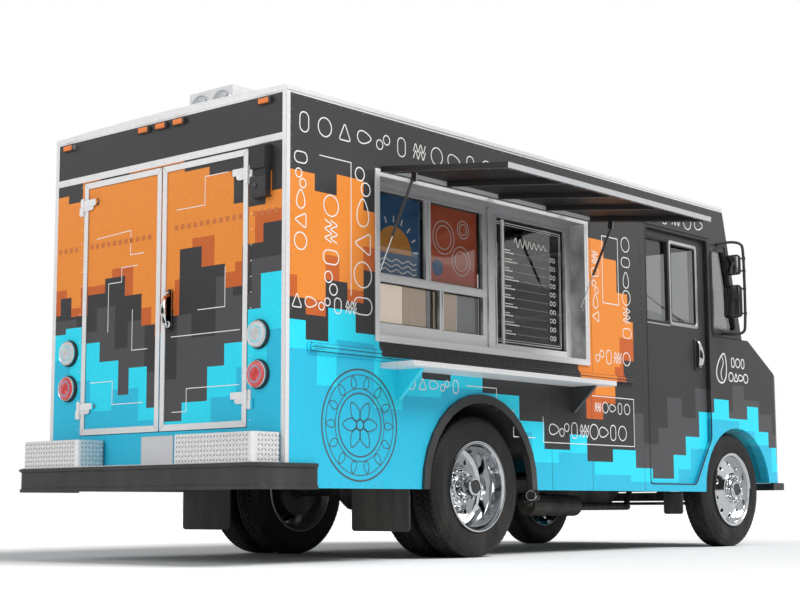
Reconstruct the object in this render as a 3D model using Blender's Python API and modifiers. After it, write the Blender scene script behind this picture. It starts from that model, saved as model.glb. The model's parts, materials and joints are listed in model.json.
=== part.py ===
"""A walk-in food truck: step van body on a twin-tyred chassis, with a serving hatch on its right side.

Metres. X runs forward, Y to the vehicle's left and Z up. The pieces are drawn in the truck's own frame,
where X is 0 at the body's rear face, Y is 0 on the centreline and Z is 0 on the ground. An empty at the top
of the tree then moves the whole truck so that its origin is under the middle of everything it reaches.
"""

from math import asin, cos, hypot, pi, radians, sin

import bmesh
import bpy
from mathutils import Matrix, Vector

# Clearances
SEAT_GAP = 0.0003
RUNNING_GAP = 0.005
OVERLAP = 0.002

# Body shell
BODY_WIDTH = 2.350
WALL = 0.030
SKIRT_BOTTOM = 0.475
ROOF_TOP = 3.008
ROOF_EDGE = 0.045
ROOF_CROWN = 0.022
ROOF_FRONT = 5.516
SCREEN_FOOT = 5.819
BELT = 1.837
HALF = BODY_WIDTH / 2
ROOF_UNDER = ROOF_TOP - ROOF_EDGE
REAR_FRAME_DEPTH = 0.050

# Floor
FLOOR_TOP = 0.840
FLOOR_THICKNESS = 0.060
FLOOR_UNDER = FLOOR_TOP - FLOOR_THICKNESS

# Wheels and axles
WHEELBASE = 3.660
REAR_AXLE_X = 1.974
FRONT_AXLE_X = REAR_AXLE_X + WHEELBASE
TYRE_RADIUS = 0.497
TYRE_WIDTH = 0.235
BEAD_RADIUS = 0.300
RIM_RADIUS = 0.319
WHEEL_FACE = 1.138
TWIN_SPACING = 0.285
WHEEL_Y = WHEEL_FACE - TYRE_WIDTH / 2
INNER_WHEEL_Y = WHEEL_Y - TWIN_SPACING
KINGPIN_Y = 0.845
SPINDLE_RADIUS = 0.040
REAR_HUB_IN = 0.020
WHEEL_SEGMENTS = 28

# Wheel arches
REAR_ARCH_X = 1.958
REAR_ARCH_RADIUS = 0.600
FLARE_WIDTH = 0.050
FLARE_PROUD = 0.022
FLARE_LIP = 0.012
WELL_INNER_Y = 0.598
WELL_SHELL = 0.015
FRONT_ARCH_X = 5.680
FRONT_ARCH_REAR_REACH = 0.570
FRONT_ARCH_FRONT_REACH = 0.585
FRONT_ARCH_RISE = 0.540
ARCH_LIP = 0.012
WHEELHOUSE = 0.046
WHEELHOUSE_SHEET = 0.016

# Nose
NOSE_FRONT = 6.500
NOSE_CORNER = 0.100
NOSE_BOTTOM = 0.560
HOOD_REAR = 5.930
HOOD_BREAK_X = 6.460
HOOD_BREAK_Z = 1.532
NOSE_LIP = 1.435
GRILLE_HALF_WIDTH = 0.480
GRILLE_LOW = 0.780
GRILLE_HIGH = 1.260
GRILLE_SLATS = 7
HEADLAMP_Y = 0.790
HEADLAMP_Z = 1.060
HEADLAMP_RADIUS = 0.095

# Cab front
SCREEN_PROUD = 0.002
SCREEN_POST = 0.044
SCREEN_PILLAR = 0.085
SCREEN_SILL = 0.055
SCREEN_HEADER = 0.300
QUARTER_REAR_POST = 0.068
QUARTER_FRONT_POST = 0.095
QUARTER_LOW = 1.905
QUARTER_HIGH = 2.600
CAB_MARKERS = (-0.95, -0.18, 0.0, 0.18, 0.95)
CAB_MARKER_Z = 2.860

# Cab doors, which slide rearwards inside the wall
DOORWAY_REAR = 4.213
DOORWAY_FRONT = 5.237
DOORWAY_SILL = 0.531
DOORWAY_HEAD = 2.672
DOORWAY_CORNER_X = 4.950
DOORWAY_CORNER_Z = 0.930
DOOR_THICKNESS = 0.030
DOOR_LAP = 0.018
DOOR_TRAVEL = 0.790
DOOR_WINDOW_LOW = 1.900
DOOR_WINDOW_HIGH = 2.590
DOOR_PANE_EDGES = ((4.250, 4.614), (4.650, 5.090))
GLASS = 0.006

# Serving hatch in the right wall
HATCH_REAR = 0.876
HATCH_FRONT = 3.300
HATCH_LOW = 1.487
HATCH_HIGH = 2.555
HATCH_TRIM = 0.045
HATCH_TRIM_PROUD = 0.010
HATCH_REVEAL = 0.020
HATCH_RECESS = 0.125
HATCH_FRAME_DEPTH = 0.030

# Awning over the hatch and its gas struts
AWNING_LENGTH = 1.062
AWNING_THICKNESS = 0.036
AWNING_SKIN = 0.006
AWNING_BAR = 0.092
AWNING_EDGE = 0.045
AWNING_RIB = 0.036
AWNING_BAYS = 4
AWNING_LAP = 0.043
AWNING_HINGE_REACH = 0.014
AWNING_DROP = radians(6.8)
AWNING_AXIS_OUT = 0.040
AWNING_AXIS_Z = 2.585
AWNING_UNDER = 0.013
AWNING_SWING = pi / 2 - AWNING_DROP
STRUT_RADIUS = 0.010
STRUT_ROD_RADIUS = 0.0045
STRUT_BORE = 0.0065
STRUT_TUBE_LENGTH = 0.400
STRUT_OUT = 0.2457
STRUT_BELOW = 0.0593
STRUT_FOOT_IN = 0.025
STRUT_FOOT_Z = 1.885
STRUT_FROM_REVEAL = 0.021

# Shelf under the hatch
SHELF_REAR = 0.888
SHELF_FRONT = 3.286
SHELF_TOP = 1.301
SHELF_THICKNESS = 0.036
SHELF_DEPTH = 0.290
GUSSET_DROP = 0.200
GUSSET_REACH = 0.215
GUSSET_INSET = 0.175
GUSSET_WIDTH = 0.030

# Rub rails along the sides
RUB_REAR = 0.190
RUB_FRONT = 3.990
RUB_MIDDLE = 1.358
RUB_HEIGHT = 0.086
RUB_RIDGE = 0.045
RUB_PROUD = 0.008
RUB_RIDGE_PROUD = 0.022

# Rear doors
REAR_DOOR_EDGE = 0.835
REAR_DOOR_LOW = 0.858
REAR_DOOR_HIGH = 2.643
REAR_DOOR_THICKNESS = 0.035
REAR_DOOR_FRAME = 0.042
REAR_DOOR_PANEL_INSET = 0.006
REAR_DOOR_STOP = 0.035
REAR_DOOR_GAP = 0.008
HANDLE_Y = -0.093
HINGE_AXIS_X = -0.014
HINGE_AXIS_OUT = 0.006
HINGE_RADIUS = 0.011
HINGE_HEIGHTS = (1.030, 2.470)
HINGE_BARREL = 0.110

# Rear bumper and steps
REAR_BUMPER_FACE = -0.260
REAR_BUMPER_HALF = 1.205
REAR_BUMPER_TOP = 0.628
REAR_BUMPER_BOTTOM = 0.466
REAR_BUMPER_WRAP = 0.270
REAR_BUMPER_CORNER = 0.070
BUMPER_BAND = 0.024
BUMPER_LIP = 0.009
BUMPER_LIP_HEIGHT = 0.024
STEP_TOP = 0.815
STEP_REAR = -0.245
STEP_FRONT = -0.004
STEP_SPANS = ((0.550, 1.150), (-1.150, -0.420))

# Front bumper
FRONT_BUMPER_FACE = 6.620
FRONT_BUMPER_BOTTOM = 0.495
FRONT_BUMPER_STAY = 0.010

# Chassis
RAIL_INNER = 0.395
RAIL_WIDTH = 0.070
RAIL_LOW_BOTTOM = 0.385
RAIL_LOW_TOP = 0.565
RAIL_HIGH_BOTTOM = 0.600
RAIL_REAR = 0.055
RAIL_FRONT = 6.420
RAIL_DROP_REAR = 2.600
RAIL_DROP_FRONT = 5.000
RAIL_DROP_RUN = 0.260
RAIL_DROP_LAP = 0.060
RAIL_RISE_LAP = 0.080
RAIL_RISE_RUN = 0.280
REAR_SPRING_Y = 0.520
SPRING_WIDTH = 0.070
FRONT_SPRING_Y = 0.430
LEAF = 0.016
SPRING_EYE = 0.022
LEAF_STEP = 0.240

# Mud flaps
REAR_FLAP_X = 1.225
FRONT_FLAP_X = 4.720

# Mirrors
MIRROR_OUT = 0.125
MIRROR_X = 5.520
MIRROR_TOP = 2.670
MIRROR_BOTTOM = 1.850
MIRROR_TUBE = 0.012
MIRROR_HEAD_HALF = 0.095
MIRROR_REACH = HALF + MIRROR_OUT + MIRROR_HEAD_HALF

# Roof unit
UNIT_REAR = 0.427
UNIT_FRONT = 0.960
UNIT_HALF_WIDTH = 0.222
UNIT_TOP = 3.270
UNIT_BASE = ROOF_TOP + ROOF_CROWN + SEAT_GAP

# Kitchen
BULKHEAD_X = 3.950
BULKHEAD = 0.030
BULKHEAD_DOOR = (0.200, 0.850)
BOARD_SHELVES = ((1.930, 0.180), (2.440, 0.180))
CABINET_REAR = 0.300
CABINET_FRONT = 3.380
CABINET_FACE_Y = 0.560
CABINET_OVER_WELL = 1.120
CABINET_STAND_REAR = 2.600
CABINET_TOP = 1.740
WALL_CABINET_REAR = 0.500
WALL_CABINET_FACE_Y = 0.800
WALL_CABINET_LOW = 1.950
WALL_CABINET_HIGH = 2.500
COUNTER_REAR = 0.500
COUNTER_FRONT = 3.290
COUNTER_STAND_REAR = 2.620
COUNTER_WALL_Y = -0.985
COUNTER_FACE_Y = -0.560
COUNTER_OVER_WELL = 1.130
COUNTER_TOP = 1.330
COUNTER_SLAB = 0.040
COUNTER_NOSING = 0.030

# Driver's seat and dash
SEAT_Y = 0.420
SEAT_REAR = 4.330
SEAT_FRONT = 4.900
SEAT_HALF = 0.250
SEAT_LOW = 1.180
SEAT_TOP = 1.300
SEAT_BACK_TOP = 1.880
DASH_REAR = 5.430
DASH_FRONT = 5.760
DASH_LOW = 1.300
DASH_HALF = 1.090
STEERING_WHEEL = (5.230, 1.520)
STEERING_FOOT = (5.480, 1.330)
STEERING_RADIUS = 0.215
STEERING_RIM = 0.014

# The truck's reach in Y, for its origin
AWNING_REACH = (HALF + AWNING_AXIS_OUT + (AWNING_HINGE_REACH + AWNING_LENGTH) * cos(AWNING_DROP)
                + (AWNING_THICKNESS - AWNING_UNDER) * sin(AWNING_DROP))
ORIGIN_X = (FRONT_BUMPER_FACE + REAR_BUMPER_FACE) / 2
ORIGIN_Y = (MIRROR_REACH - AWNING_REACH) / 2

# Colours as linear red, green and blue, with roughness and metallic
FINISHES = {
    "charcoal": ((0.050, 0.050, 0.054), 0.40, 0.0),
    "orange": ((0.850, 0.300, 0.070), 0.40, 0.0),
    "cyan": ((0.050, 0.620, 0.800), 0.40, 0.0),
    "light_trim": ((0.620, 0.630, 0.650), 0.35, 0.3),
    "black": ((0.020, 0.020, 0.021), 0.55, 0.0),
    "chassis": ((0.030, 0.030, 0.032), 0.60, 0.0),
    "tyre": ((0.012, 0.012, 0.013), 0.85, 0.0),
    "chrome": ((0.750, 0.760, 0.780), 0.12, 1.0),
    "plate": ((0.550, 0.560, 0.580), 0.40, 0.8),
    "glass": ((0.160, 0.180, 0.190), 0.05, 0.0),
    "cabinet": ((0.520, 0.460, 0.380), 0.50, 0.0),
    "seat": ((0.060, 0.060, 0.065), 0.80, 0.0),
}

for old in list(bpy.data.objects):
    bpy.data.objects.remove(old, do_unlink=True)

pieces = bpy.data.collections.new("food_truck")
cutters = bpy.data.collections.new("food_truck_cutters")
bpy.context.scene.collection.children.link(pieces)
bpy.context.scene.collection.children.link(cutters)

materials = {}
for finish, (colour, roughness, metallic) in FINISHES.items():
    material = bpy.data.materials.new(finish)
    material.use_nodes = True
    shader = material.node_tree.nodes["Principled BSDF"]
    shader.inputs["Base Color"].default_value = (*colour, 1.0)
    shader.inputs["Roughness"].default_value = roughness
    shader.inputs["Metallic"].default_value = metallic
    materials[finish] = material

truck = bpy.data.objects.new("truck_frame", None)
truck.location = (-ORIGIN_X, -ORIGIN_Y, 0.0)
pieces.objects.link(truck)


# Tools for making shapes

ROOT = (truck, Vector((0.0, 0.0, 0.0)))


def pivot(name, place, carrier=ROOT):
    """An empty on a joint's axis and its place in the truck's frame, hung from the pivot that carries it."""
    empty = bpy.data.objects.new(name, None)
    empty.location = Vector(place) - carrier[1]
    empty.parent = carrier[0]
    pieces.objects.link(empty)
    return (empty, Vector(place))


def mesh_object(mesh):
    """A raw shape, kept with the cutters until it becomes a piece."""
    shape = bpy.data.objects.new("shape", mesh)
    shape.hide_render = True
    shape.display_type = "WIRE"
    shape.parent = truck
    cutters.objects.link(shape)
    return shape


def box(low, high):
    """A box between two opposite corners."""
    low, high = Vector(low), Vector(high)
    shape = bmesh.new()
    bmesh.ops.create_cube(shape, size=1.0, matrix=Matrix.LocRotScale((low + high) / 2, None, high - low))
    mesh = bpy.data.meshes.new("box")
    shape.to_mesh(mesh)
    shape.free()
    return mesh_object(mesh)


def rod(start, end, radius, segments=16, end_radius=None):
    """A round bar, or a cone where the end has its own radius."""
    start, end = Vector(start), Vector(end)
    along = end - start
    turn = along.to_track_quat("Z", "Y")
    shape = bmesh.new()
    bmesh.ops.create_cone(
        shape, cap_ends=True, segments=segments, radius1=radius,
        radius2=radius if end_radius is None else end_radius, depth=along.length,
        matrix=Matrix.LocRotScale((start + end) / 2, turn, None))
    mesh = bpy.data.meshes.new("rod")
    shape.to_mesh(mesh)
    shape.free()
    return mesh_object(mesh)


def closed_mesh(source):
    """Turns a curve or a live modifier into a closed mesh with its faces pointing out."""
    bpy.context.view_layer.update()
    graph = bpy.context.evaluated_depsgraph_get()
    mesh = bpy.data.meshes.new_from_object(source.evaluated_get(graph))
    place = source.matrix_world.copy()
    shape = bmesh.new()
    shape.from_mesh(mesh)
    bmesh.ops.remove_doubles(shape, verts=shape.verts, dist=0.00005)
    bmesh.ops.recalc_face_normals(shape, faces=shape.faces)
    shape.transform(place)
    shape.to_mesh(mesh)
    shape.free()
    mesh.materials.clear()
    bpy.data.objects.remove(source, do_unlink=True)
    return mesh


def prism(outline, thickness, place):
    """One outline without holes, given a thickness about its own plane."""
    shape = bmesh.new()
    ends = [[shape.verts.new(place @ Vector((u, v, depth))) for u, v in outline]
            for depth in (-thickness / 2, thickness / 2)]
    for end in ends:
        shape.faces.new(end)
    for i in range(len(outline)):
        following = (i + 1) % len(outline)
        shape.faces.new((ends[0][i], ends[0][following], ends[1][following], ends[1][i]))
    bmesh.ops.recalc_face_normals(shape, faces=shape.faces)
    mesh = bpy.data.meshes.new("prism")
    shape.to_mesh(mesh)
    shape.free()
    return mesh_object(mesh)


def plate(outlines, thickness, place):
    """A flat outline with its holes, given a thickness about its own plane, put in place by a matrix."""
    if len(outlines) == 1:
        return prism(outlines[0], thickness, place)
    curve = bpy.data.curves.new("outline", "CURVE")
    curve.dimensions = "2D"
    curve.fill_mode = "BOTH"
    curve.extrude = thickness / 2
    for outline in outlines:
        spline = curve.splines.new("POLY")
        spline.points.add(len(outline) - 1)
        for point, (u, v) in zip(spline.points, outline):
            point.co = (u, v, 0.0, 1.0)
        spline.use_cyclic_u = True
    source = bpy.data.objects.new("outline", curve)
    source.matrix_world = place
    cutters.objects.link(source)
    return mesh_object(closed_mesh(source))


def side_plate(outlines, low, high):
    """Outlines in X and Z, as thick as from low to high in Y."""
    place = Matrix(((1, 0, 0, 0), (0, 0, -1, (low + high) / 2), (0, 1, 0, 0), (0, 0, 0, 1)))
    return plate(outlines, high - low, place)


def cross_plate(outlines, low, high):
    """Outlines in Y and Z, as thick as from low to high in X."""
    place = Matrix(((0, 0, 1, (low + high) / 2), (1, 0, 0, 0), (0, 1, 0, 0), (0, 0, 0, 1)))
    return plate(outlines, high - low, place)


def flat_plate(outlines, low, high):
    """Outlines in X and Y, as thick as from low to high in Z."""
    place = Matrix.Translation((0, 0, (low + high) / 2))
    return plate(outlines, high - low, place)


def tube(points, radius, resolution=2):
    """A round bar bent along a line of points."""
    curve = bpy.data.curves.new("tube", "CURVE")
    curve.dimensions = "3D"
    curve.bevel_depth = radius
    curve.bevel_resolution = resolution
    curve.use_fill_caps = True
    spline = curve.splines.new("POLY")
    spline.points.add(len(points) - 1)
    for point, place in zip(spline.points, points):
        point.co = (*place, 1.0)
    source = bpy.data.objects.new("tube", curve)
    cutters.objects.link(source)
    return mesh_object(closed_mesh(source))


def turned(profile, centre, side, segments=WHEEL_SEGMENTS, ring=False):
    """A profile of (radius, distance) turned about an axis along Y; distance runs outboard on the given side."""
    mesh = bpy.data.meshes.new("profile")
    edges = [(i, i + 1) for i in range(len(profile) - 1)]
    if ring:
        edges.append((len(profile) - 1, 0))
    mesh.from_pydata([(radius, 0.0, out) for radius, out in profile], edges, [])
    source = bpy.data.objects.new("profile", mesh)
    cutters.objects.link(source)
    screw = source.modifiers.new("turn", "SCREW")
    screw.axis = "Z"
    screw.steps = segments
    screw.render_steps = segments
    screw.use_merge_vertices = True
    screw.merge_threshold = 0.0001
    source.matrix_world = Matrix.Translation(centre) @ Matrix.Rotation(-side * pi / 2, 4, "X")
    return mesh_object(closed_mesh(source))


def rectangle(low_u, low_v, high_u, high_v):
    """The four corners of an upright rectangle."""
    return [(low_u, low_v), (high_u, low_v), (high_u, high_v), (low_u, high_v)]


def rounded(low_u, low_v, high_u, high_v, radius, steps=3):
    """A rectangle with rounded corners."""
    centres = ((high_u - radius, low_v + radius, -pi / 2), (high_u - radius, high_v - radius, 0.0),
               (low_u + radius, high_v - radius, pi / 2), (low_u + radius, low_v + radius, pi))
    return [(u + radius * cos(start + pi / 2 * i / steps), v + radius * sin(start + pi / 2 * i / steps))
            for u, v, start in centres for i in range(steps + 1)]


def arc(centre_u, centre_v, radius_u, radius_v, start, end, steps):
    """Points along part of an ellipse, from one angle to another."""
    return [(centre_u + radius_u * cos(start + (end - start) * i / steps),
             centre_v + radius_v * sin(start + (end - start) * i / steps)) for i in range(steps + 1)]


def piece(name, finish, shapes, cuts=(), carrier=ROOT, first_cuts=()):
    """One named solid: the first shape less its own cuts, joined with the others, less the common cuts."""
    solid = shapes[0]
    cutters.objects.unlink(solid)
    pieces.objects.link(solid)
    solid.name = name
    solid.data.name = name
    solid.hide_render = False
    solid.display_type = "TEXTURED"
    solid.data.materials.append(materials[finish])
    for operation, operands in (("DIFFERENCE", first_cuts), ("UNION", shapes[1:]), ("DIFFERENCE", cuts)):
        for operand in operands:
            modifier = solid.modifiers.new(operation.lower(), "BOOLEAN")
            modifier.operation = operation
            modifier.object = operand
            modifier.solver = "EXACT"
            operand.name = name + "_tool"
    for shape in (*first_cuts, *shapes, *cuts):
        shape.parent = carrier[0]
        shape.location = -carrier[1]
    return solid


def mirrored_y(outline, side):
    """Turns an outline drawn for the left side into the one for the given side."""
    return [(u, side * v) for u, v in outline]


def span(side, inner, outer):
    """Low and high Y of something between two distances from the centreline."""
    return (min(side * inner, side * outer), max(side * inner, side * outer))


SIDES = (("right", -1), ("left", 1))


# Outlines that several pieces share

def screen_x(height):
    """X of the sloping front of the cab at a height."""
    return ROOF_FRONT + (ROOF_TOP - height) * (SCREEN_FOOT - ROOF_FRONT) / (ROOF_TOP - BELT)


def front_arch(grow=0.0, steps=8, low=SKIRT_BOTTOM - 0.2):
    """The front wheel opening: two quarter ellipses over the wheel, run down past the skirt."""
    rise = FRONT_ARCH_RISE + grow
    rear = arc(FRONT_ARCH_X, TYRE_RADIUS, FRONT_ARCH_REAR_REACH + grow, rise, pi, pi / 2, steps)
    front = arc(FRONT_ARCH_X, TYRE_RADIUS, FRONT_ARCH_FRONT_REACH + grow, rise, pi / 2, 0.0, steps)
    return [(rear[0][0], low)] + rear + front[1:] + [(front[-1][0], low)]


def rear_arch(radius, steps=16):
    """The rear wheel opening: half a circle over the axle, run down past the skirt."""
    curve = arc(REAR_ARCH_X, TYRE_RADIUS, radius, radius, pi, 0.0, steps)
    low = SKIRT_BOTTOM - 0.2
    return [(curve[0][0], low)] + curve + [(curve[-1][0], low)]


def rear_well(radius, low, steps=14):
    """The part of a circle over the rear axle that stands above a height."""
    angle = asin((low - TYRE_RADIUS) / radius)
    return arc(REAR_ARCH_X, TYRE_RADIUS, radius, radius, pi - angle, angle, steps)




# Walls

def rub_rail(side):
    """The riveted rail along the side: a flat flange with round ends and a raised ridge."""
    shapes = []
    for height, proud, inset in ((RUB_HEIGHT, RUB_PROUD, 0.0), (RUB_RIDGE, RUB_RIDGE_PROUD, 0.02)):
        outline = rounded(RUB_REAR + inset, RUB_MIDDLE - height / 2, RUB_FRONT - inset,
                          RUB_MIDDLE + height / 2, height / 2 - 0.002)
        shapes.append(side_plate([outline], *span(side, HALF - OVERLAP, HALF + proud)))
    return shapes


def side_wall(name, side, finish):
    """A side panel from the rear frame to the cab, with its doorway, wheel arch and door track."""
    start = REAR_FRAME_DEPTH + SEAT_GAP
    end = DOORWAY_FRONT - SEAT_GAP
    top = ROOF_UNDER - SEAT_GAP
    sill_end = DOORWAY_CORNER_X - SEAT_GAP
    arch = rear_arch(REAR_ARCH_RADIUS)
    outline = [(start, SKIRT_BOTTOM)]
    foot = REAR_ARCH_X - REAR_ARCH_RADIUS
    outline += [(foot, SKIRT_BOTTOM)] + arch[1:-1] + [(REAR_ARCH_X + REAR_ARCH_RADIUS, SKIRT_BOTTOM)]
    outline += [(sill_end, SKIRT_BOTTOM), (sill_end, DOORWAY_SILL), (DOORWAY_REAR, DOORWAY_SILL),
                (DOORWAY_REAR, DOORWAY_HEAD), (end, DOORWAY_HEAD), (end, top), (start, top)]
    outlines = [outline]
    if side < 0:
        edge = HATCH_REVEAL + SEAT_GAP
        outlines.append(rectangle(HATCH_REAR - edge, HATCH_LOW - edge, HATCH_FRONT + edge, HATCH_HIGH + edge))
    wall = side_plate(outlines, *span(side, HALF - WALL, HALF))
    track_top = DOORWAY_SILL + 0.014
    track_y = span(side, HALF - WALL - RUNNING_GAP - DOOR_THICKNESS - 0.002, HALF - WALL + OVERLAP)
    track = box((DOORWAY_REAR - DOOR_TRAVEL - 0.04, track_y[0], DOORWAY_SILL - 0.020),
                (sill_end, track_y[1], track_top))
    return piece(name, finish, [wall, track] + rub_rail(side))


side_wall("right_wall", -1, "charcoal")
side_wall("left_wall", 1, "charcoal")

def arch_ring(inner, outer, low, steps=16):
    """Half a ring over the rear axle with straight legs down to a height."""
    outside = arc(REAR_ARCH_X, TYRE_RADIUS, outer, outer, pi, 0.0, steps)
    inside = arc(REAR_ARCH_X, TYRE_RADIUS, inner, inner, 0.0, pi, steps)
    return ([(outside[0][0], low)] + outside + [(outside[-1][0], low)]
            + [(inside[0][0], low)] + inside + [(inside[-1][0], low)])


for label, side in SIDES:
    lip = REAR_ARCH_RADIUS - FLARE_LIP
    face = side_plate([arch_ring(lip, REAR_ARCH_RADIUS + FLARE_WIDTH, SKIRT_BOTTOM)],
                      *span(side, HALF + SEAT_GAP, HALF + FLARE_PROUD))
    sleeve = side_plate([arch_ring(lip + 0.001, REAR_ARCH_RADIUS - SEAT_GAP, SKIRT_BOTTOM + OVERLAP)],
                        *span(side, HALF - WALL, HALF + FLARE_PROUD / 2))
    piece("rear_arch_flare_" + label, "black", [face, sleeve])


# Roof

roof_outline = [(-HALF, ROOF_UNDER), (HALF, ROOF_UNDER), (HALF, ROOF_TOP - 0.018),
                (HALF - 0.006, ROOF_TOP - 0.005)]
crown_steps = 12
for step in range(crown_steps + 1):
    y = (HALF - 0.018) * (1 - 2 * step / crown_steps)
    roof_outline.append((y, ROOF_TOP + ROOF_CROWN * (1 - (y / HALF) ** 2)))
roof_outline += [(-HALF + 0.006, ROOF_TOP - 0.005), (-HALF, ROOF_TOP - 0.018)]
piece("roof", "charcoal", [cross_plate([roof_outline], 0.0, ROOF_FRONT)])


# Rear frame with its lamps, and the fixed leaves of the door hinges

frame_opening = REAR_DOOR_EDGE + RUNNING_GAP
rear_frame = cross_plate(
    [rectangle(-HALF, SKIRT_BOTTOM, HALF, ROOF_UNDER - SEAT_GAP),
     rectangle(-frame_opening + REAR_DOOR_STOP, REAR_DOOR_LOW - RUNNING_GAP + REAR_DOOR_STOP,
               frame_opening - REAR_DOOR_STOP, REAR_DOOR_HIGH + RUNNING_GAP - REAR_DOOR_STOP)],
    0.0, REAR_FRAME_DEPTH)
rebate = box((-0.05, -frame_opening, REAR_DOOR_LOW - RUNNING_GAP),
             (REAR_DOOR_THICKNESS + SEAT_GAP, frame_opening, REAR_DOOR_HIGH + RUNNING_GAP))
shapes = [rear_frame]
TAIL_LAMPS = ((-0.946, 1.435), (-0.946, 1.183), (0.970, 1.440), (0.970, 1.190))
for y, z in TAIL_LAMPS:
    shapes.append(rod((OVERLAP, y, z), (-0.028, y, z), 0.088, 20, 0.080))
    shapes.append(rod((OVERLAP, y, z), (-0.042, y, z), 0.066, 20, 0.056))
MARKER_LAMPS = (1.019, 0.190, 0.010, -0.170, -0.990)
for y in MARKER_LAMPS:
    shapes.append(box((-0.026, y - 0.065, 2.912), (OVERLAP, y + 0.065, 2.945)))
shapes.append(box((-0.075, -1.055, 2.480), (OVERLAP, -0.925, 2.630)))
shapes.append(box((-0.060, -1.050, 2.310), (OVERLAP, -0.950, 2.485)))
for side in (-1, 1):
    axis_y = side * (REAR_DOOR_EDGE + HINGE_AXIS_OUT)
    for height in HINGE_HEIGHTS:
        low = height - HINGE_BARREL / 2
        shapes.append(rod((HINGE_AXIS_X, axis_y, low), (HINGE_AXIS_X, axis_y, height), HINGE_RADIUS, 12))
        leaf = span(side, REAR_DOOR_EDGE + HINGE_AXIS_OUT, REAR_DOOR_EDGE + 0.065)
        shapes.append(box((-0.012, leaf[0], low), (OVERLAP, leaf[1], height)))
piece("rear_frame", "orange", shapes, [rebate])


# Rear doors, each hung on two strap hinges

def rear_door(label, side):
    """A flush leaf with a raised frame, its straps and their hinge barrels."""
    axis_y = side * (REAR_DOOR_EDGE + HINGE_AXIS_OUT)
    hinge = pivot("rear_door_hinge_" + label, (HINGE_AXIS_X, axis_y, 0.0))
    edges = span(side, REAR_DOOR_GAP / 2, REAR_DOOR_EDGE)
    leaf = box((0.0, edges[0], REAR_DOOR_LOW), (REAR_DOOR_THICKNESS, edges[1], REAR_DOOR_HIGH))
    recess = box((-0.05, edges[0] + REAR_DOOR_FRAME, REAR_DOOR_LOW + REAR_DOOR_FRAME),
                 (REAR_DOOR_PANEL_INSET, edges[1] - REAR_DOOR_FRAME, REAR_DOOR_HIGH - REAR_DOOR_FRAME))
    straps = []
    for height in HINGE_HEIGHTS:
        top = height + HINGE_BARREL / 2
        middle = height + HINGE_BARREL / 4
        straps.append(rod((HINGE_AXIS_X, axis_y, height + SEAT_GAP), (HINGE_AXIS_X, axis_y, top),
                          HINGE_RADIUS, 12))
        outline = rounded(-0.155, middle - 0.022, -0.004, middle + 0.022, 0.021)
        strap = [(side * (REAR_DOOR_EDGE + u), v) for u, v in outline]
        straps.append(cross_plate([strap], -0.014, REAR_DOOR_PANEL_INSET + OVERLAP))
        neck = span(side, REAR_DOOR_EDGE - 0.020, REAR_DOOR_EDGE + HINGE_AXIS_OUT)
        straps.append(box((-0.013, neck[0], middle - 0.019), (-0.006, neck[1], middle + 0.019)))
    fittings = []
    if side < 0:
        fittings.append(box((-0.012, HANDLE_Y - 0.028, 1.530),
                            (REAR_DOOR_PANEL_INSET + OVERLAP, HANDLE_Y + 0.028, 1.786)))
        fittings.append(tube([(-0.008, HANDLE_Y, 1.560), (-0.050, HANDLE_Y, 1.580), (-0.056, HANDLE_Y, 1.660),
                              (-0.050, HANDLE_Y, 1.740), (-0.008, HANDLE_Y, 1.765)], 0.012))
    piece("rear_door_" + label, "light_trim", [leaf] + straps + fittings, (), hinge, [recess])


for label, side in SIDES:
    rear_door(label, side)


# Cab: pillars, header and the frame of the windscreen

def cab_shell():
    """Side panels with quarter windows, joined by the sloping front with its windscreen openings."""
    low = BELT + SEAT_GAP
    top = ROOF_UNDER - SEAT_GAP
    lean = Vector((screen_x(top) - screen_x(low), 0.0, top - low))
    up = lean.normalized()
    inward = Vector((0.0, 1.0, 0.0)).cross(up)
    middle = Vector((screen_x(low), 0.0, low)) - inward * (WALL / 2 - SCREEN_PROUD)
    place = Matrix.Identity(4)
    for column, axis in enumerate((Vector((0.0, 1.0, 0.0)), up, inward, middle)):
        for row in range(3):
            place[row][column] = axis[row]
    half = HALF - OVERLAP
    outlines = [rectangle(-half, -0.05, half, lean.length + 0.05)]
    for side in (-1, 1):
        edges = span(side, SCREEN_POST / 2, HALF - SCREEN_PILLAR)
        outlines.append(rounded(edges[0], SCREEN_SILL, edges[1], lean.length - SCREEN_HEADER, 0.05))
    front = plate(outlines, WALL, place)
    trim = [box((4.0, -2.0, low - 0.5), (7.0, 2.0, low + 0.001)),
            box((4.0, -2.0, top - 0.001), (7.0, 2.0, top + 0.5))]
    shapes = [front]
    for side in (-1, 1):
        outline = [(DOORWAY_FRONT, low), (screen_x(low), low), (screen_x(top), top), (DOORWAY_FRONT, top)]
        window = [(DOORWAY_FRONT + QUARTER_REAR_POST, QUARTER_LOW),
                  (screen_x(QUARTER_LOW) - QUARTER_FRONT_POST, QUARTER_LOW),
                  (screen_x(QUARTER_HIGH) - QUARTER_FRONT_POST, QUARTER_HIGH),
                  (DOORWAY_FRONT + QUARTER_REAR_POST, QUARTER_HIGH)]
        shapes.append(side_plate([outline, window], *span(side, HALF - WALL, HALF)))
    foot = screen_x(CAB_MARKER_Z)
    for y in CAB_MARKERS:
        shapes.append(box((foot - 0.02, y - 0.065, CAB_MARKER_Z - 0.018),
                          (foot + 0.028, y + 0.065, CAB_MARKER_Z + 0.018)))
    piece("cab_shell", "charcoal", shapes, (), ROOT, trim)


cab_shell()


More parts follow.
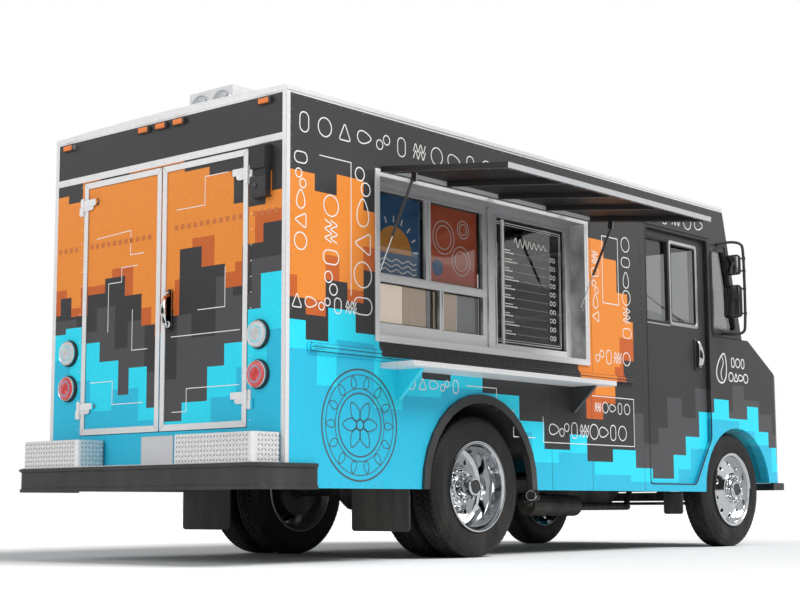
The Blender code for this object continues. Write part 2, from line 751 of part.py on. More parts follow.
def cab_glass():
    """One sheet inside the windscreen openings, with a quarter pane at each end."""
    slope = hypot(SCREEN_FOOT - ROOF_FRONT, ROOF_TOP - BELT) / (ROOF_TOP - BELT)
    outer = (WALL - SCREEN_PROUD + SEAT_GAP) * slope
    inner = outer + GLASS * slope
    low = BELT + 0.020
    high = 2.700
    half = HALF - WALL - SEAT_GAP
    shapes = [side_plate([[(screen_x(low) - outer, low), (screen_x(high) - outer, high),
                           (screen_x(high) - inner, high), (screen_x(low) - inner, low)]], -half + 0.001,
                           half - 0.001)]
    low += OVERLAP
    high = QUARTER_HIGH + 0.030
    for side in (-1, 1):
        outline = [(DOORWAY_FRONT + 0.030, low), (screen_x(low) - outer - OVERLAP, low),
                   (screen_x(high) - outer - OVERLAP, high), (DOORWAY_FRONT + 0.030, high)]
        shapes.append(side_plate([outline], *span(side, half - GLASS, half)))
    piece("cab_glass", "glass", shapes)


cab_glass()


# Nose: fenders and front wrapped in one sheet, cowl, grille, headlamps and wheel arch liners

def nose():
    """A U of sheet in plan, cut back by the hood line, the doorways and the wheel arches."""
    outer = [(DOORWAY_CORNER_X, -HALF)] + [
        (NOSE_FRONT - NOSE_CORNER + NOSE_CORNER * sin(pi / 2 * i / 4),
         -HALF + NOSE_CORNER - NOSE_CORNER * cos(pi / 2 * i / 4))
        for i in range(5)]
    outer += [(x, -y) for x, y in reversed(outer)]
    corner = NOSE_CORNER - WALL
    inner = [(DOORWAY_CORNER_X, -HALF + WALL)] + [
        (NOSE_FRONT - NOSE_CORNER + corner * sin(pi / 2 * i / 4),
         -HALF + NOSE_CORNER - corner * cos(pi / 2 * i / 4))
        for i in range(5)]
    inner += [(x, -y) for x, y in reversed(inner)]
    wrap = flat_plate([outer + list(reversed(inner))], SKIRT_BOTTOM, BELT + 0.05)
    inside = HALF - WALL
    cowl_low = HOOD_REAR - 0.150
    cowl = box((cowl_low, -inside - OVERLAP, BELT - 0.035),
               (HOOD_REAR - SEAT_GAP, inside + OVERLAP, BELT + 0.04))
    cross = box((cowl_low + 0.005, -inside - 0.005, 1.500), (cowl_low + 0.020, inside + 0.005, BELT - 0.01))
    shapes = [wrap, cowl, cross]
    hollows = []
    for side in (-1, 1):
        shapes.append(side_plate([front_arch(WHEELHOUSE + WHEELHOUSE_SHEET, low=0.481)],
                                 *span(side, WELL_INNER_Y, 1.092)))
        shapes.append(side_plate([front_arch(ARCH_LIP + WHEELHOUSE_SHEET, low=0.485)],
                                 *span(side, 1.070, inside + OVERLAP)))
        hollows.append(side_plate([front_arch(WHEELHOUSE)], *span(side, WELL_INNER_Y - 0.05, 1.078)))
        hollows.append(side_plate([front_arch(ARCH_LIP)], *span(side, 1.070, inside - 0.001)))
    grille_height = GRILLE_HIGH - GRILLE_LOW
    for i in range(GRILLE_SLATS):
        z = GRILLE_LOW + grille_height * (i + 0.5) / GRILLE_SLATS
        shapes.append(box((NOSE_FRONT - 0.028, -GRILLE_HALF_WIDTH - 0.01, z - 0.014),
                          (NOSE_FRONT - 0.006, GRILLE_HALF_WIDTH + 0.01, z + 0.014)))
    for y in (-0.24, 0.0, 0.24):
        shapes.append(box((NOSE_FRONT - 0.036, y - 0.010, GRILLE_LOW - 0.01),
                          (NOSE_FRONT - 0.022, y + 0.010, GRILLE_HIGH + 0.01)))
    for side in (-1, 1):
        y = side * HEADLAMP_Y
        shapes.append(rod((NOSE_FRONT - 0.02, y, HEADLAMP_Z), (NOSE_FRONT + 0.022, y, HEADLAMP_Z),
                          HEADLAMP_RADIUS + 0.022, 20, HEADLAMP_RADIUS + 0.012))
        shapes.append(rod((NOSE_FRONT + 0.010, y, HEADLAMP_Z), (NOSE_FRONT + 0.040, y, HEADLAMP_Z),
                          HEADLAMP_RADIUS, 20, HEADLAMP_RADIUS * 0.75))
        shapes.append(box((NOSE_FRONT - 0.01, y - 0.100, 0.800), (NOSE_FRONT + 0.020, y + 0.100, 0.880)))
    hood_line = [(HOOD_REAR, BELT), (HOOD_BREAK_X, HOOD_BREAK_Z), (NOSE_FRONT, NOSE_LIP)]
    above = [(4.5, BELT)] + hood_line + [(NOSE_FRONT + 0.2, NOSE_LIP), (NOSE_FRONT + 0.2, BELT + 0.5),
                                         (4.5, BELT + 0.5)]
    behind = [(4.0, 0.3), (DOORWAY_CORNER_X + SEAT_GAP, 0.3), (DOORWAY_CORNER_X + SEAT_GAP, DOORWAY_SILL),
              (DOORWAY_FRONT + SEAT_GAP, DOORWAY_CORNER_Z), (DOORWAY_FRONT + SEAT_GAP, 2.2), (4.0, 2.2)]
    cuts = [side_plate([above], -2.0, 2.0), side_plate([behind], -2.0, 2.0),
            side_plate([front_arch()], -2.0, -inside + 0.004),
            side_plate([front_arch()], inside - 0.004, 2.0),
            box((NOSE_FRONT - 0.25, -2.0, 0.3), (NOSE_FRONT + 0.2, 2.0, NOSE_BOTTOM))]
    corner = NOSE_CORNER - WALL - 0.001
    opening = [(HOOD_REAR, HALF - WALL - 0.001)]
    opening += [(NOSE_FRONT - NOSE_CORNER + corner * sin(pi / 2 * i / 4),
                 HALF - NOSE_CORNER + corner * cos(pi / 2 * i / 4))
                for i in range(5)]
    opening += [(NOSE_FRONT + 0.2, HALF - NOSE_CORNER)]
    opening += [(x, -y) for x, y in reversed(opening)]
    cuts.append(flat_plate([opening], NOSE_LIP, BELT + 0.1))
    cuts += hollows
    grille_hole = box((NOSE_FRONT - 0.08, -GRILLE_HALF_WIDTH, GRILLE_LOW),
                      (NOSE_FRONT + 0.08, GRILLE_HALF_WIDTH, GRILLE_HIGH))
    piece("nose", "charcoal", shapes, cuts, first_cuts=[grille_hole])


nose()

hood_hinge = pivot("hood_hinge", (HOOD_REAR, 0.0, BELT))
hood_sheet = 0.022
lip_x = NOSE_FRONT + (HOOD_BREAK_X - NOSE_FRONT) * 0.02
hood_outline = [(HOOD_REAR, BELT), (HOOD_BREAK_X, HOOD_BREAK_Z), (HOOD_BREAK_X + 0.024, HOOD_BREAK_Z - 0.036),
                (lip_x, NOSE_LIP + SEAT_GAP), (lip_x - hood_sheet, NOSE_LIP + SEAT_GAP),
                (HOOD_BREAK_X + 0.002, HOOD_BREAK_Z - 0.045),
                (HOOD_BREAK_X - 0.012, HOOD_BREAK_Z - hood_sheet), (HOOD_REAR, BELT - hood_sheet)]
hood_half = HALF - WALL - RUNNING_GAP
hood_panel = side_plate([hood_outline], -hood_half, hood_half)
corner_cuts = []
corner_x = NOSE_FRONT - NOSE_CORNER
corner_y = HALF - NOSE_CORNER
corner_r = NOSE_CORNER - WALL - RUNNING_GAP
for side in (-1, 1):
    wedge = [(corner_x, corner_y + corner_r + 0.1)]
    wedge += [(corner_x + corner_r * sin(pi / 2 * i / 4), corner_y + corner_r * cos(pi / 2 * i / 4))
              for i in range(5)]
    wedge += [(corner_x + corner_r, corner_y - RUNNING_GAP), (NOSE_FRONT + 0.1, corner_y - RUNNING_GAP),
              (NOSE_FRONT + 0.1, corner_y + corner_r + 0.1)]
    corner_cuts.append(flat_plate([mirrored_y(wedge, side)], 1.30, 1.70))
piece("hood", "charcoal", [hood_panel], corner_cuts, hood_hinge)


# Cab doors and their glass

for label, side in SIDES:
    front = DOORWAY_FRONT + DOOR_LAP
    rear = DOORWAY_REAR - DOOR_LAP - 0.010
    bottom = DOORWAY_SILL + 0.014 + SEAT_GAP
    top = DOORWAY_HEAD + DOOR_LAP
    door_y = span(side, HALF - WALL - RUNNING_GAP - DOOR_THICKNESS, HALF - WALL - RUNNING_GAP)
    outline = [(rear, bottom), (DOORWAY_CORNER_X + DOOR_LAP, bottom), (front, DOORWAY_CORNER_Z + 0.020),
               (front, top), (rear, top)]
    panes = [rounded(low, DOOR_WINDOW_LOW, high, DOOR_WINDOW_HIGH, 0.025) for low, high in DOOR_PANE_EDGES]
    runner = pivot("cab_door_runner_" + label, (rear, side * (HALF - WALL - RUNNING_GAP), bottom))
    outer = HALF - WALL - RUNNING_GAP
    handle_y = span(side, outer - OVERLAP, outer + 0.030)
    escutcheon = box((5.022, span(side, outer - OVERLAP, outer + 0.010)[0], 1.520),
                     (5.090, span(side, outer - OVERLAP, outer + 0.010)[1], 1.778))
    grip = box((5.048, handle_y[0], 1.540), (5.080, handle_y[1], 1.760))
    leaf = side_plate([outline] + panes, *door_y)
    piece("cab_door_" + label, "charcoal", [leaf, escutcheon, grip], (), runner)
    inner = HALF - WALL - RUNNING_GAP - DOOR_THICKNESS - SEAT_GAP
    pane = side_plate([rectangle(DOOR_PANE_EDGES[0][0] - 0.015, DOOR_WINDOW_LOW - 0.015,
                                 DOOR_PANE_EDGES[1][1] + 0.015, DOOR_WINDOW_HIGH + 0.015)],
                      *span(side, inner - GLASS, inner))
    piece("cab_door_glass_" + label, "glass", [pane], (), runner)


# Serving hatch: outer trim, deep reveal and the window frame at its back

def serving_frame():
    """Trim on the wall, a box reveal through it, and a frame with two units of panes."""
    outer_y = -HALF - HATCH_TRIM_PROUD
    inner_y = -HALF + HATCH_RECESS + HATCH_FRAME_DEPTH
    hole = rectangle(HATCH_REAR, HATCH_LOW, HATCH_FRONT, HATCH_HIGH)
    trim = side_plate([rectangle(HATCH_REAR - HATCH_TRIM, HATCH_LOW - HATCH_TRIM, HATCH_FRONT + HATCH_TRIM,
                                 HATCH_HIGH + HATCH_TRIM), hole], outer_y, -HALF - SEAT_GAP)
    reveal = side_plate([rectangle(HATCH_REAR - HATCH_REVEAL, HATCH_LOW - HATCH_REVEAL,
                                   HATCH_FRONT + HATCH_REVEAL,
                                   HATCH_HIGH + HATCH_REVEAL), hole], outer_y + OVERLAP, inner_y)
    # Low X, low Z, high X and high Z of each pane
    panes = ((0.926, 1.930, 1.513, 2.500), (1.563, 1.930, 2.160, 2.500), (0.926, 1.591, 1.660, 1.875),
             (1.702, 1.591, 2.160, 1.875), (2.330, 1.547, 3.220, 2.500))
    face = side_plate([rectangle(HATCH_REAR - OVERLAP, HATCH_LOW - OVERLAP, HATCH_FRONT + OVERLAP,
                                 HATCH_HIGH + OVERLAP)]
                      + [rectangle(*pane) for pane in panes], inner_y - HATCH_FRAME_DEPTH, inner_y)
    shapes = [trim, reveal, face]
    axis_y = -HALF - AWNING_AXIS_OUT
    for x in HINGE_STATIONS:
        shapes.append(rod((x - 0.03, axis_y, AWNING_AXIS_Z), (x + 0.03, axis_y, AWNING_AXIS_Z), 0.009, 12))
        shapes.append(box((x - 0.03, axis_y, AWNING_AXIS_Z - 0.004),
                          (x + 0.03, outer_y + OVERLAP, AWNING_AXIS_Z + 0.004)))
    for x, towards in STRUT_PLANES:
        reveal_x = x - towards * STRUT_FROM_REVEAL
        foot_y = -HALF + STRUT_FOOT_IN
        shapes.append(rod((reveal_x - towards * OVERLAP, foot_y, STRUT_FOOT_Z),
                          (x - towards * (STRUT_RADIUS + SEAT_GAP), foot_y, STRUT_FOOT_Z), 0.012, 12))
    piece("serving_hatch", "light_trim", shapes)


HINGE_STATIONS = (1.20, 2.09, 3.00)
STRUT_PLANES = ((HATCH_REAR + STRUT_FROM_REVEAL, 1), (HATCH_FRONT - STRUT_FROM_REVEAL, -1))
serving_frame()

glass_y = -HALF + HATCH_RECESS + HATCH_FRAME_DEPTH + SEAT_GAP
piece("serving_glass", "glass", [box((HATCH_REAR - 0.010, glass_y, HATCH_LOW + 0.010),
                                     (HATCH_FRONT + 0.010, glass_y + GLASS, HATCH_HIGH - 0.010))])


# Awning: a framed panel on the axis over the hatch, drawn level and turned to its open angle

awning_hinge = pivot("awning_hinge", (0.0, -HALF - AWNING_AXIS_OUT, AWNING_AXIS_Z))
awning_turn = Matrix.Translation(awning_hinge[1]) @ Matrix.Rotation(AWNING_DROP, 4, "X")


def awning():
    """A panel with pockets between its bars, hinge barrels and the two strut brackets, drawn towards -Y."""
    rear = HATCH_REAR - AWNING_LAP
    front = HATCH_FRONT + AWNING_LAP
    near = -AWNING_HINGE_REACH
    far = near - AWNING_LENGTH
    under = -AWNING_UNDER
    top = under + AWNING_THICKNESS
    panel = box((rear, far, under), (front, near, top))
    pockets = []
    start = rear + AWNING_BAR
    pitch = (front - rear - 2 * AWNING_BAR + AWNING_RIB) / AWNING_BAYS
    for i in range(AWNING_BAYS):
        low = start + pitch * i
        pockets.append(box((low, far + AWNING_EDGE, under - 0.01),
                           (low + pitch - AWNING_RIB, near - AWNING_EDGE, top - AWNING_SKIN)))
    fittings = []
    for x in HINGE_STATIONS:
        for begin in (-0.072, 0.030 + SEAT_GAP):
            end = begin + 0.042 - SEAT_GAP
            fittings.append(rod((x + begin, 0.0, 0.0), (x + end, 0.0, 0.0), 0.009, 12))
            fittings.append(box((x + begin + 0.001, near - OVERLAP, -0.004), (x + end - 0.001, 0.0, 0.004)))
    for x, towards in STRUT_PLANES:
        plane = x + towards * (STRUT_RADIUS + SEAT_GAP)
        edges = sorted((plane, plane + towards * 0.008))
        fittings.append(box((edges[0], -STRUT_OUT - 0.022, -STRUT_BELOW - 0.014),
                            (edges[1], -STRUT_OUT + 0.022, under + OVERLAP)))
    for shape in [panel] + pockets + fittings:
        shape.data.transform(awning_turn)
    piece("awning", "charcoal", [panel] + fittings, (), awning_hinge, pockets)


awning()

strut_top = awning_turn @ Vector((0.0, -STRUT_OUT, -STRUT_BELOW))
strut_foot = Vector((0.0, -HALF + STRUT_FOOT_IN, STRUT_FOOT_Z))
strut_line = (strut_foot - strut_top).normalized()
strut_length = (strut_foot - strut_top).length

for label, (x, towards) in zip(("rear", "front"), STRUT_PLANES):
    top = Vector((x, strut_top.y, strut_top.z))
    foot = Vector((x, strut_foot.y, strut_foot.z))
    tube_end = top + strut_line * STRUT_TUBE_LENGTH
    side_step = Vector((STRUT_RADIUS, 0.0, 0.0))
    pin = pivot("strut_pin_" + label, top, awning_hinge)
    barrel = rod(top + strut_line * 0.004, tube_end, STRUT_RADIUS, 12)
    eye = rod(top - side_step, top + side_step, 0.012, 12)
    bore = rod(tube_end - strut_line * 0.330, tube_end + strut_line * 0.01, STRUT_BORE, 12)
    piece("gas_strut_tube_" + label, "black", [barrel, eye], [bore], pin)
    slide = pivot("strut_rod_end_" + label, foot, pin)
    shank = rod(tube_end - strut_line * 0.030, foot - strut_line * 0.004, STRUT_ROD_RADIUS, 10)
    head = rod(foot - side_step, foot + side_step, 0.011, 12)
    piece("gas_strut_rod_" + label, "chrome", [shank, head], (), slide)


# Shelf under the hatch, on two gussets

shelf_y = (-HALF - SHELF_DEPTH, -HALF - SEAT_GAP)
board = box((SHELF_REAR, shelf_y[0], SHELF_TOP - SHELF_THICKNESS), (SHELF_FRONT, shelf_y[1], SHELF_TOP))
gussets = []
for x in (SHELF_REAR + GUSSET_INSET, SHELF_FRONT - GUSSET_INSET):
    triangle = [(shelf_y[1], SHELF_TOP - SHELF_THICKNESS + OVERLAP),
                (shelf_y[1], SHELF_TOP - SHELF_THICKNESS - GUSSET_DROP),
                (shelf_y[1] - 0.020, SHELF_TOP - SHELF_THICKNESS - GUSSET_DROP),
                (shelf_y[1] - GUSSET_REACH, SHELF_TOP - SHELF_THICKNESS - 0.012),
                (shelf_y[1] - GUSSET_REACH, SHELF_TOP - SHELF_THICKNESS + OVERLAP)]
    gussets.append(cross_plate([triangle], x - GUSSET_WIDTH / 2, x + GUSSET_WIDTH / 2))
piece("serving_shelf", "light_trim", [board] + gussets)


# Floor with the rear wheel wells and the step wells at the cab doors

def load_floor():
    """A slab from the rear frame to the engine bay, opened over the wheels and at the cab steps."""
    start = REAR_FRAME_DEPTH + SEAT_GAP
    wide = HALF - WALL - SEAT_GAP
    narrow = HALF - WALL - RUNNING_GAP - DOOR_THICKNESS - GLASS - 2 * RUNNING_GAP
    tunnel = WELL_INNER_Y - SEAT_GAP
    door_zone = DOORWAY_REAR - DOOR_TRAVEL - 0.06
    end = 5.560
    cab_end = 5.040
    outline = [(start, wide), (door_zone, wide), (door_zone, narrow), (cab_end, narrow), (cab_end, tunnel),
               (end, tunnel)]
    outline += [(x, -y) for x, y in reversed(outline)]
    slab = flat_plate([outline], FLOOR_UNDER, FLOOR_TOP)
    shapes = [slab]
    cuts = []
    radius = REAR_ARCH_RADIUS - 0.012
    for side in (-1, 1):
        y = span(side, WELL_INNER_Y, wide - OVERLAP)
        shapes.append(side_plate([rear_well(radius + WELL_SHELL, FLOOR_UNDER + OVERLAP)], *y))
        hollow = span(side, WELL_INNER_Y + WELL_SHELL, HALF + 0.1)
        cuts.append(side_plate([rear_arch(radius, 14)], *hollow))
        tray_y = span(side, 0.790, narrow - OVERLAP)
        shapes.append(box((4.270, tray_y[0], 0.556), (4.930, tray_y[1], FLOOR_UNDER + OVERLAP)))
        hollow_y = span(side, 0.805, narrow + 0.1)
        cuts.append(box((4.285, hollow_y[0], 0.571), (4.915, hollow_y[1], FLOOR_TOP + 0.1)))
    piece("floor", "chassis", shapes, cuts)


load_floor()


# Chassis frame: two dropped rails, cross members, spring hangers and body bearers

def chassis_frame():
    """Each rail is one side outline, low between the axles and raised over them."""
    top = FLOOR_UNDER - SEAT_GAP
    outline = [(RAIL_REAR, RAIL_HIGH_BOTTOM), (RAIL_DROP_REAR, RAIL_HIGH_BOTTOM),
               (RAIL_DROP_REAR + RAIL_DROP_RUN, RAIL_LOW_BOTTOM), (RAIL_DROP_FRONT - RAIL_RISE_RUN,
                                                                   RAIL_LOW_BOTTOM),
               (RAIL_DROP_FRONT, RAIL_HIGH_BOTTOM), (RAIL_FRONT, RAIL_HIGH_BOTTOM), (RAIL_FRONT, top),
               (RAIL_DROP_FRONT - RAIL_RISE_LAP, top),
               (RAIL_DROP_FRONT - RAIL_RISE_RUN - RAIL_DROP_LAP, RAIL_LOW_TOP),
               (RAIL_DROP_REAR + RAIL_DROP_RUN + RAIL_DROP_LAP,
                RAIL_LOW_TOP), (RAIL_DROP_REAR + RAIL_DROP_LAP, top), (RAIL_REAR, top)]
    shapes = [side_plate([outline], *span(side, RAIL_INNER, RAIL_INNER + RAIL_WIDTH)) for side in (-1, 1)]
    inside = RAIL_INNER + OVERLAP
    # X, low Z and high Z of each cross member
    for x, low, high in ((0.10, 0.62, 0.76), (1.20, 0.62, 0.76), (2.76, 0.60, 0.69), (3.80, 0.40, 0.53),
                         (4.85, 0.49, 0.55),
                         (6.38, 0.62, 0.76)):
        shapes.append(box((x - 0.04, -inside, low), (x + 0.04, inside, high)))
    for x in (3.20, 3.80, 4.40):
        for side in (-1, 1):
            y = span(side, RAIL_INNER + 0.01, RAIL_INNER + RAIL_WIDTH - 0.01)
            shapes.append(box((x - 0.03, y[0], RAIL_LOW_TOP - OVERLAP), (x + 0.03, y[1], top)))
    for side in (-1, 1):
        for x in REAR_SPRING_ENDS:
            y = span(side, RAIL_INNER + RAIL_WIDTH - OVERLAP, REAR_SPRING_Y + SPRING_WIDTH / 2)
            shapes.append(box((x - 0.035, y[0], REAR_EYE_Z + SPRING_EYE + SEAT_GAP),
                              (x + 0.035, y[1], RAIL_HIGH_BOTTOM + 0.12)))
        for x in FRONT_SPRING_ENDS:
            y = span(side, FRONT_SPRING_Y - 0.03, FRONT_SPRING_Y + 0.03)
            shapes.append(box((x - 0.035, y[0], FRONT_EYE_Z + SPRING_EYE + SEAT_GAP),
                              (x + 0.035, y[1], RAIL_HIGH_BOTTOM + OVERLAP)))
    piece("chassis_frame", "chassis", shapes)


REAR_SPRING_ENDS = (REAR_AXLE_X - 0.64, REAR_AXLE_X + 0.62)
FRONT_SPRING_ENDS = (FRONT_AXLE_X - 0.55, FRONT_AXLE_X + 0.55)
REAR_EYE_Z = 0.620
FRONT_EYE_Z = 0.570
chassis_frame()


def leaf_spring(ends, eye_z, seat_z, y, leaves=3):
    """A bowed pack of leaves as one outline with a step at each leaf's end, and an eye at both ends."""
    centre = (ends[0] + ends[1]) / 2
    half = (ends[1] - ends[0]) / 2
    rise = eye_z - seat_z

    def surface(reach):
        return seat_z + rise * (reach / half) ** 2

    upper = [(centre + half * t / 5, surface(half * t / 5)) for t in range(-5, 6)]
    under = []
    for i in range(leaves):
        reach = half * (1.0 - LEAF_STEP * i)
        following = half * (1.0 - LEAF_STEP * (i + 1)) if i + 1 < leaves else 0.0
        for x in (reach, (reach + following) / 2, following):
            under.append((centre + x, surface(x) - (i + 1) * LEAF))
    under += [(2 * centre - x, z) for x, z in reversed(under[:-1])]
    shapes = [side_plate([upper + under], y - SPRING_WIDTH / 2, y + SPRING_WIDTH / 2)]
    eye = SPRING_WIDTH / 2 - 0.001
    for x in ends:
        shapes.append(rod((x, y - eye, eye_z - 0.004), (x, y + eye, eye_z - 0.004), SPRING_EYE + 0.004, 8))
    return shapes


def rear_axle():
    """Axle tube, differential and end flanges in one turning, with the pinion housing and the springs."""
    flange = INNER_WHEEL_Y - TYRE_WIDTH / 2 + REAR_HUB_IN
    end = flange - SEAT_GAP
    profile = [(0.0, end), (0.070, end), (0.070, end - 0.040), (0.055, end - 0.040), (0.055, 0.170),
               (0.110, 0.140), (0.165, 0.060),
               (0.165, -0.040), (0.110, -0.120), (0.055, -0.150), (0.055, 0.040 - end),
               (0.070, 0.040 - end), (0.070, -end),
               (0.0, -end)]
    centre = (REAR_AXLE_X, 0.0, TYRE_RADIUS)
    shapes = [turned(profile, centre, 1, 16)]
    shapes.append(rod((REAR_AXLE_X + 0.10, 0.0, TYRE_RADIUS), (REAR_AXLE_X + 0.26, 0.0, TYRE_RADIUS), 0.075,
                      16, 0.045))
    for side in (-1, 1):
        y = side * REAR_SPRING_Y
        shapes += leaf_spring(REAR_SPRING_ENDS, REAR_EYE_Z, 0.600, y)
        shapes.append(box((REAR_AXLE_X - 0.06, y - 0.045, TYRE_RADIUS + 0.02),
                          (REAR_AXLE_X + 0.06, y + 0.045, 0.575)))
    piece("rear_axle", "chassis", shapes)


rear_axle()


def front_axle():
    """A beam dropped in the middle, with a kingpin boss at each end and the springs on their seats."""
    outline = [(-0.80, 0.455), (-0.62, 0.400), (0.62, 0.400), (0.80, 0.455), (KINGPIN_Y, 0.459),
               (KINGPIN_Y, 0.538),
               (0.78, 0.540), (0.60, 0.475), (-0.60, 0.475), (-0.78, 0.540), (-KINGPIN_Y, 0.538),
               (-KINGPIN_Y, 0.459)]
    shapes = [cross_plate([outline], FRONT_AXLE_X - 0.035, FRONT_AXLE_X + 0.035)]
    for side in (-1, 1):
        shapes.append(rod((FRONT_AXLE_X, side * KINGPIN_Y, 0.430), (FRONT_AXLE_X, side * KINGPIN_Y, 0.565),
                          0.038, 16))
        y = side * FRONT_SPRING_Y
        shapes += leaf_spring(FRONT_SPRING_ENDS, FRONT_EYE_Z, 0.545, y)
        shapes.append(box((FRONT_AXLE_X - 0.05, y - 0.040, 0.465), (FRONT_AXLE_X + 0.05, y + 0.040, 0.505)))
    piece("front_axle", "chassis", shapes)


front_axle()


# Steering: knuckles on the kingpins, arms straight back, and the tie rod that keeps them parallel

ARM_LENGTH = 0.180
ARM_BOTTOM = 0.395
DRUM_BACK = 0.930
kingpins = {}
for label, side in SIDES:
    centre = (FRONT_AXLE_X, side * KINGPIN_Y, TYRE_RADIUS)
    kingpins[label] = pivot("kingpin_" + label, centre)
    x, y = centre[0], centre[1]
    web = span(side, 0.890, 0.912)
    flange_end = side * (DRUM_BACK - SEAT_GAP)
    shapes = [box((x - 0.040, web[0], ARM_BOTTOM), (x + 0.040, web[1], 0.600)),
              rod((x, side * 0.910, TYRE_RADIUS), (x, flange_end, TYRE_RADIUS), 0.150, 16),
              rod((x, side * 0.915, TYRE_RADIUS), (x, side * 1.030, TYRE_RADIUS), SPINDLE_RADIUS, 12)]
    for low, high in ((ARM_BOTTOM, 0.430 - SEAT_GAP), (0.565 + SEAT_GAP, 0.600)):
        shapes.append(rod((x, y, low), (x, y, high), 0.045, 12))
        reach = span(side, KINGPIN_Y, 0.895)
        shapes.append(box((x - 0.036, reach[0], low), (x + 0.036, reach[1], high)))
    arm = span(1, y - 0.018, y + 0.018)
    shapes.append(box((x - ARM_LENGTH, arm[0], ARM_BOTTOM), (x - 0.02, arm[1], ARM_BOTTOM + 0.024)))
    shapes.append(rod((x - ARM_LENGTH, y, ARM_BOTTOM), (x - ARM_LENGTH, y, ARM_BOTTOM + 0.030), 0.024, 12))
    piece("steering_knuckle_" + label, "chassis", shapes, (), kingpins[label])

arm_end = (FRONT_AXLE_X - ARM_LENGTH, -KINGPIN_Y, ARM_BOTTOM)
tie_pivot = pivot("tie_rod_joint", arm_end, kingpins["right"])
tie_z = ARM_BOTTOM - 0.018
tie_shapes = [rod((arm_end[0], -KINGPIN_Y, tie_z), (arm_end[0], KINGPIN_Y, tie_z), 0.013, 12)]
for side in (-1, 1):
    tie_shapes.append(rod((arm_end[0], side * KINGPIN_Y, tie_z - 0.018),
                          (arm_end[0], side * KINGPIN_Y, ARM_BOTTOM - SEAT_GAP), 0.021, 16))
piece("tie_rod", "chassis", tie_shapes, (), tie_pivot)


# Wheels

def tyre_profile():
    """Half section of a tyre about its middle plane: beads, walls, shoulders and a flat tread."""
    half = TYRE_WIDTH / 2
    outer = [(BEAD_RADIUS, half - 0.022), (RIM_RADIUS + 0.006, half - 0.010), (0.370, half - 0.001),
             (0.425, half - 0.003),
             (0.466, half - 0.013), (TYRE_RADIUS - 0.009, half - 0.027), (TYRE_RADIUS, half - 0.045)]
    return outer + [(radius, -out) for radius, out in reversed(outer)]


def tyre(name, x, y, hub):
    """One tyre round a wheel centre at a distance Y, hung on its hub."""
    piece(name, "tyre", [turned(tyre_profile(), (x, y, TYRE_RADIUS), 1, WHEEL_SEGMENTS, ring=True)], (), hub)


def hand_holes(x, y_low, y_high, radius, size, count):
    """Round cutters through the disc of a wheel, evenly round its axis."""
    tools = []
    for i in range(count):
        angle = 2 * pi * (i + 0.5) / count
        cx, cz = x + radius * cos(angle), TYRE_RADIUS + radius * sin(angle)
        tools.append(rod((cx, y_low, cz), (cx, y_high, cz), size, 8))
    return tools


# Where a rim meets its tyre: on the bead seat and up the flange, measured in from the tyre's side face
BEAD_SEAT = BEAD_RADIUS - SEAT_GAP
SEAT_EDGE = 0.0218
FLANGE_EDGE = 0.0126

for label, side in SIDES:
    # Front wheel: convex disc, its drum behind and a bore for the spindle
    hub = pivot("front_hub_" + label, (FRONT_AXLE_X, side * WHEEL_Y, TYRE_RADIUS), kingpins[label])
    outer, inner = WHEEL_FACE, WHEEL_FACE - TYRE_WIDTH
    bore = SPINDLE_RADIUS + 0.006
    profile = [(0.0, 1.186), (0.060, 1.186), (0.072, 1.140), (0.142, 1.140), (0.152, 1.130), (0.240, 1.096),
               (0.276, 1.080),
               (0.290, 1.138), (RIM_RADIUS, 1.150), (RIM_RADIUS, outer - FLANGE_EDGE),
               (BEAD_SEAT, outer - SEAT_EDGE),
               (BEAD_SEAT, inner + SEAT_EDGE), (RIM_RADIUS, inner + FLANGE_EDGE), (RIM_RADIUS, inner - 0.004),
               (0.288, inner + 0.020), (0.276, 1.050), (0.205, 1.072), (0.200, DRUM_BACK),
               (bore, DRUM_BACK), (bore, 1.035), (0.0, 1.035)]
    rim = turned(profile, (FRONT_AXLE_X, 0.0, TYRE_RADIUS), side)
    holes = hand_holes(FRONT_AXLE_X, side * 1.02, side * 1.15, 0.235, 0.022, 10)
    piece("rim_front_" + label, "chrome", [rim], holes, hub)
    tyre("tyre_front_" + label, FRONT_AXLE_X, side * WHEEL_Y, hub)

    # Rear wheels: a deep outer dish and an inner rim on one hub
    hub = pivot("rear_hub_" + label, (REAR_AXLE_X, side * WHEEL_Y, TYRE_RADIUS))
    twin_outer, twin_inner = INNER_WHEEL_Y + TYRE_WIDTH / 2, INNER_WHEEL_Y - TYRE_WIDTH / 2
    hub_back = twin_inner + REAR_HUB_IN
    profile = [(0.0, 1.120), (0.066, 1.120), (0.078, 0.985), (0.140, 0.975), (0.146, 0.925), (0.250, 0.918),
               (0.276, 0.950),
               (0.290, 1.130), (RIM_RADIUS, 1.142), (RIM_RADIUS, outer - FLANGE_EDGE),
               (BEAD_SEAT, outer - SEAT_EDGE),
               (BEAD_SEAT, inner + SEAT_EDGE), (RIM_RADIUS, inner + FLANGE_EDGE), (0.288, inner - 0.018),
               (0.288, twin_outer + 0.018), (RIM_RADIUS, twin_outer - FLANGE_EDGE),
               (BEAD_SEAT, twin_outer - SEAT_EDGE), (BEAD_SEAT, twin_inner + SEAT_EDGE),
               (RIM_RADIUS, twin_inner + FLANGE_EDGE),
               (RIM_RADIUS, twin_inner - 0.004), (0.284, twin_inner + 0.030), (0.270, 0.800), (0.205, 0.812),
               (0.200, hub_back), (0.0, hub_back)]
    rim = turned(profile, (REAR_AXLE_X, 0.0, TYRE_RADIUS), side)
    holes = hand_holes(REAR_AXLE_X, side * 0.78, side * 0.96, 0.225, 0.020, 10)
    piece("rim_rear_" + label, "chrome", [rim], holes, hub)
    tyre("tyre_rear_outer_" + label, REAR_AXLE_X, side * WHEEL_Y, hub)
    tyre("tyre_rear_inner_" + label, REAR_AXLE_X, side * INNER_WHEEL_Y, hub)


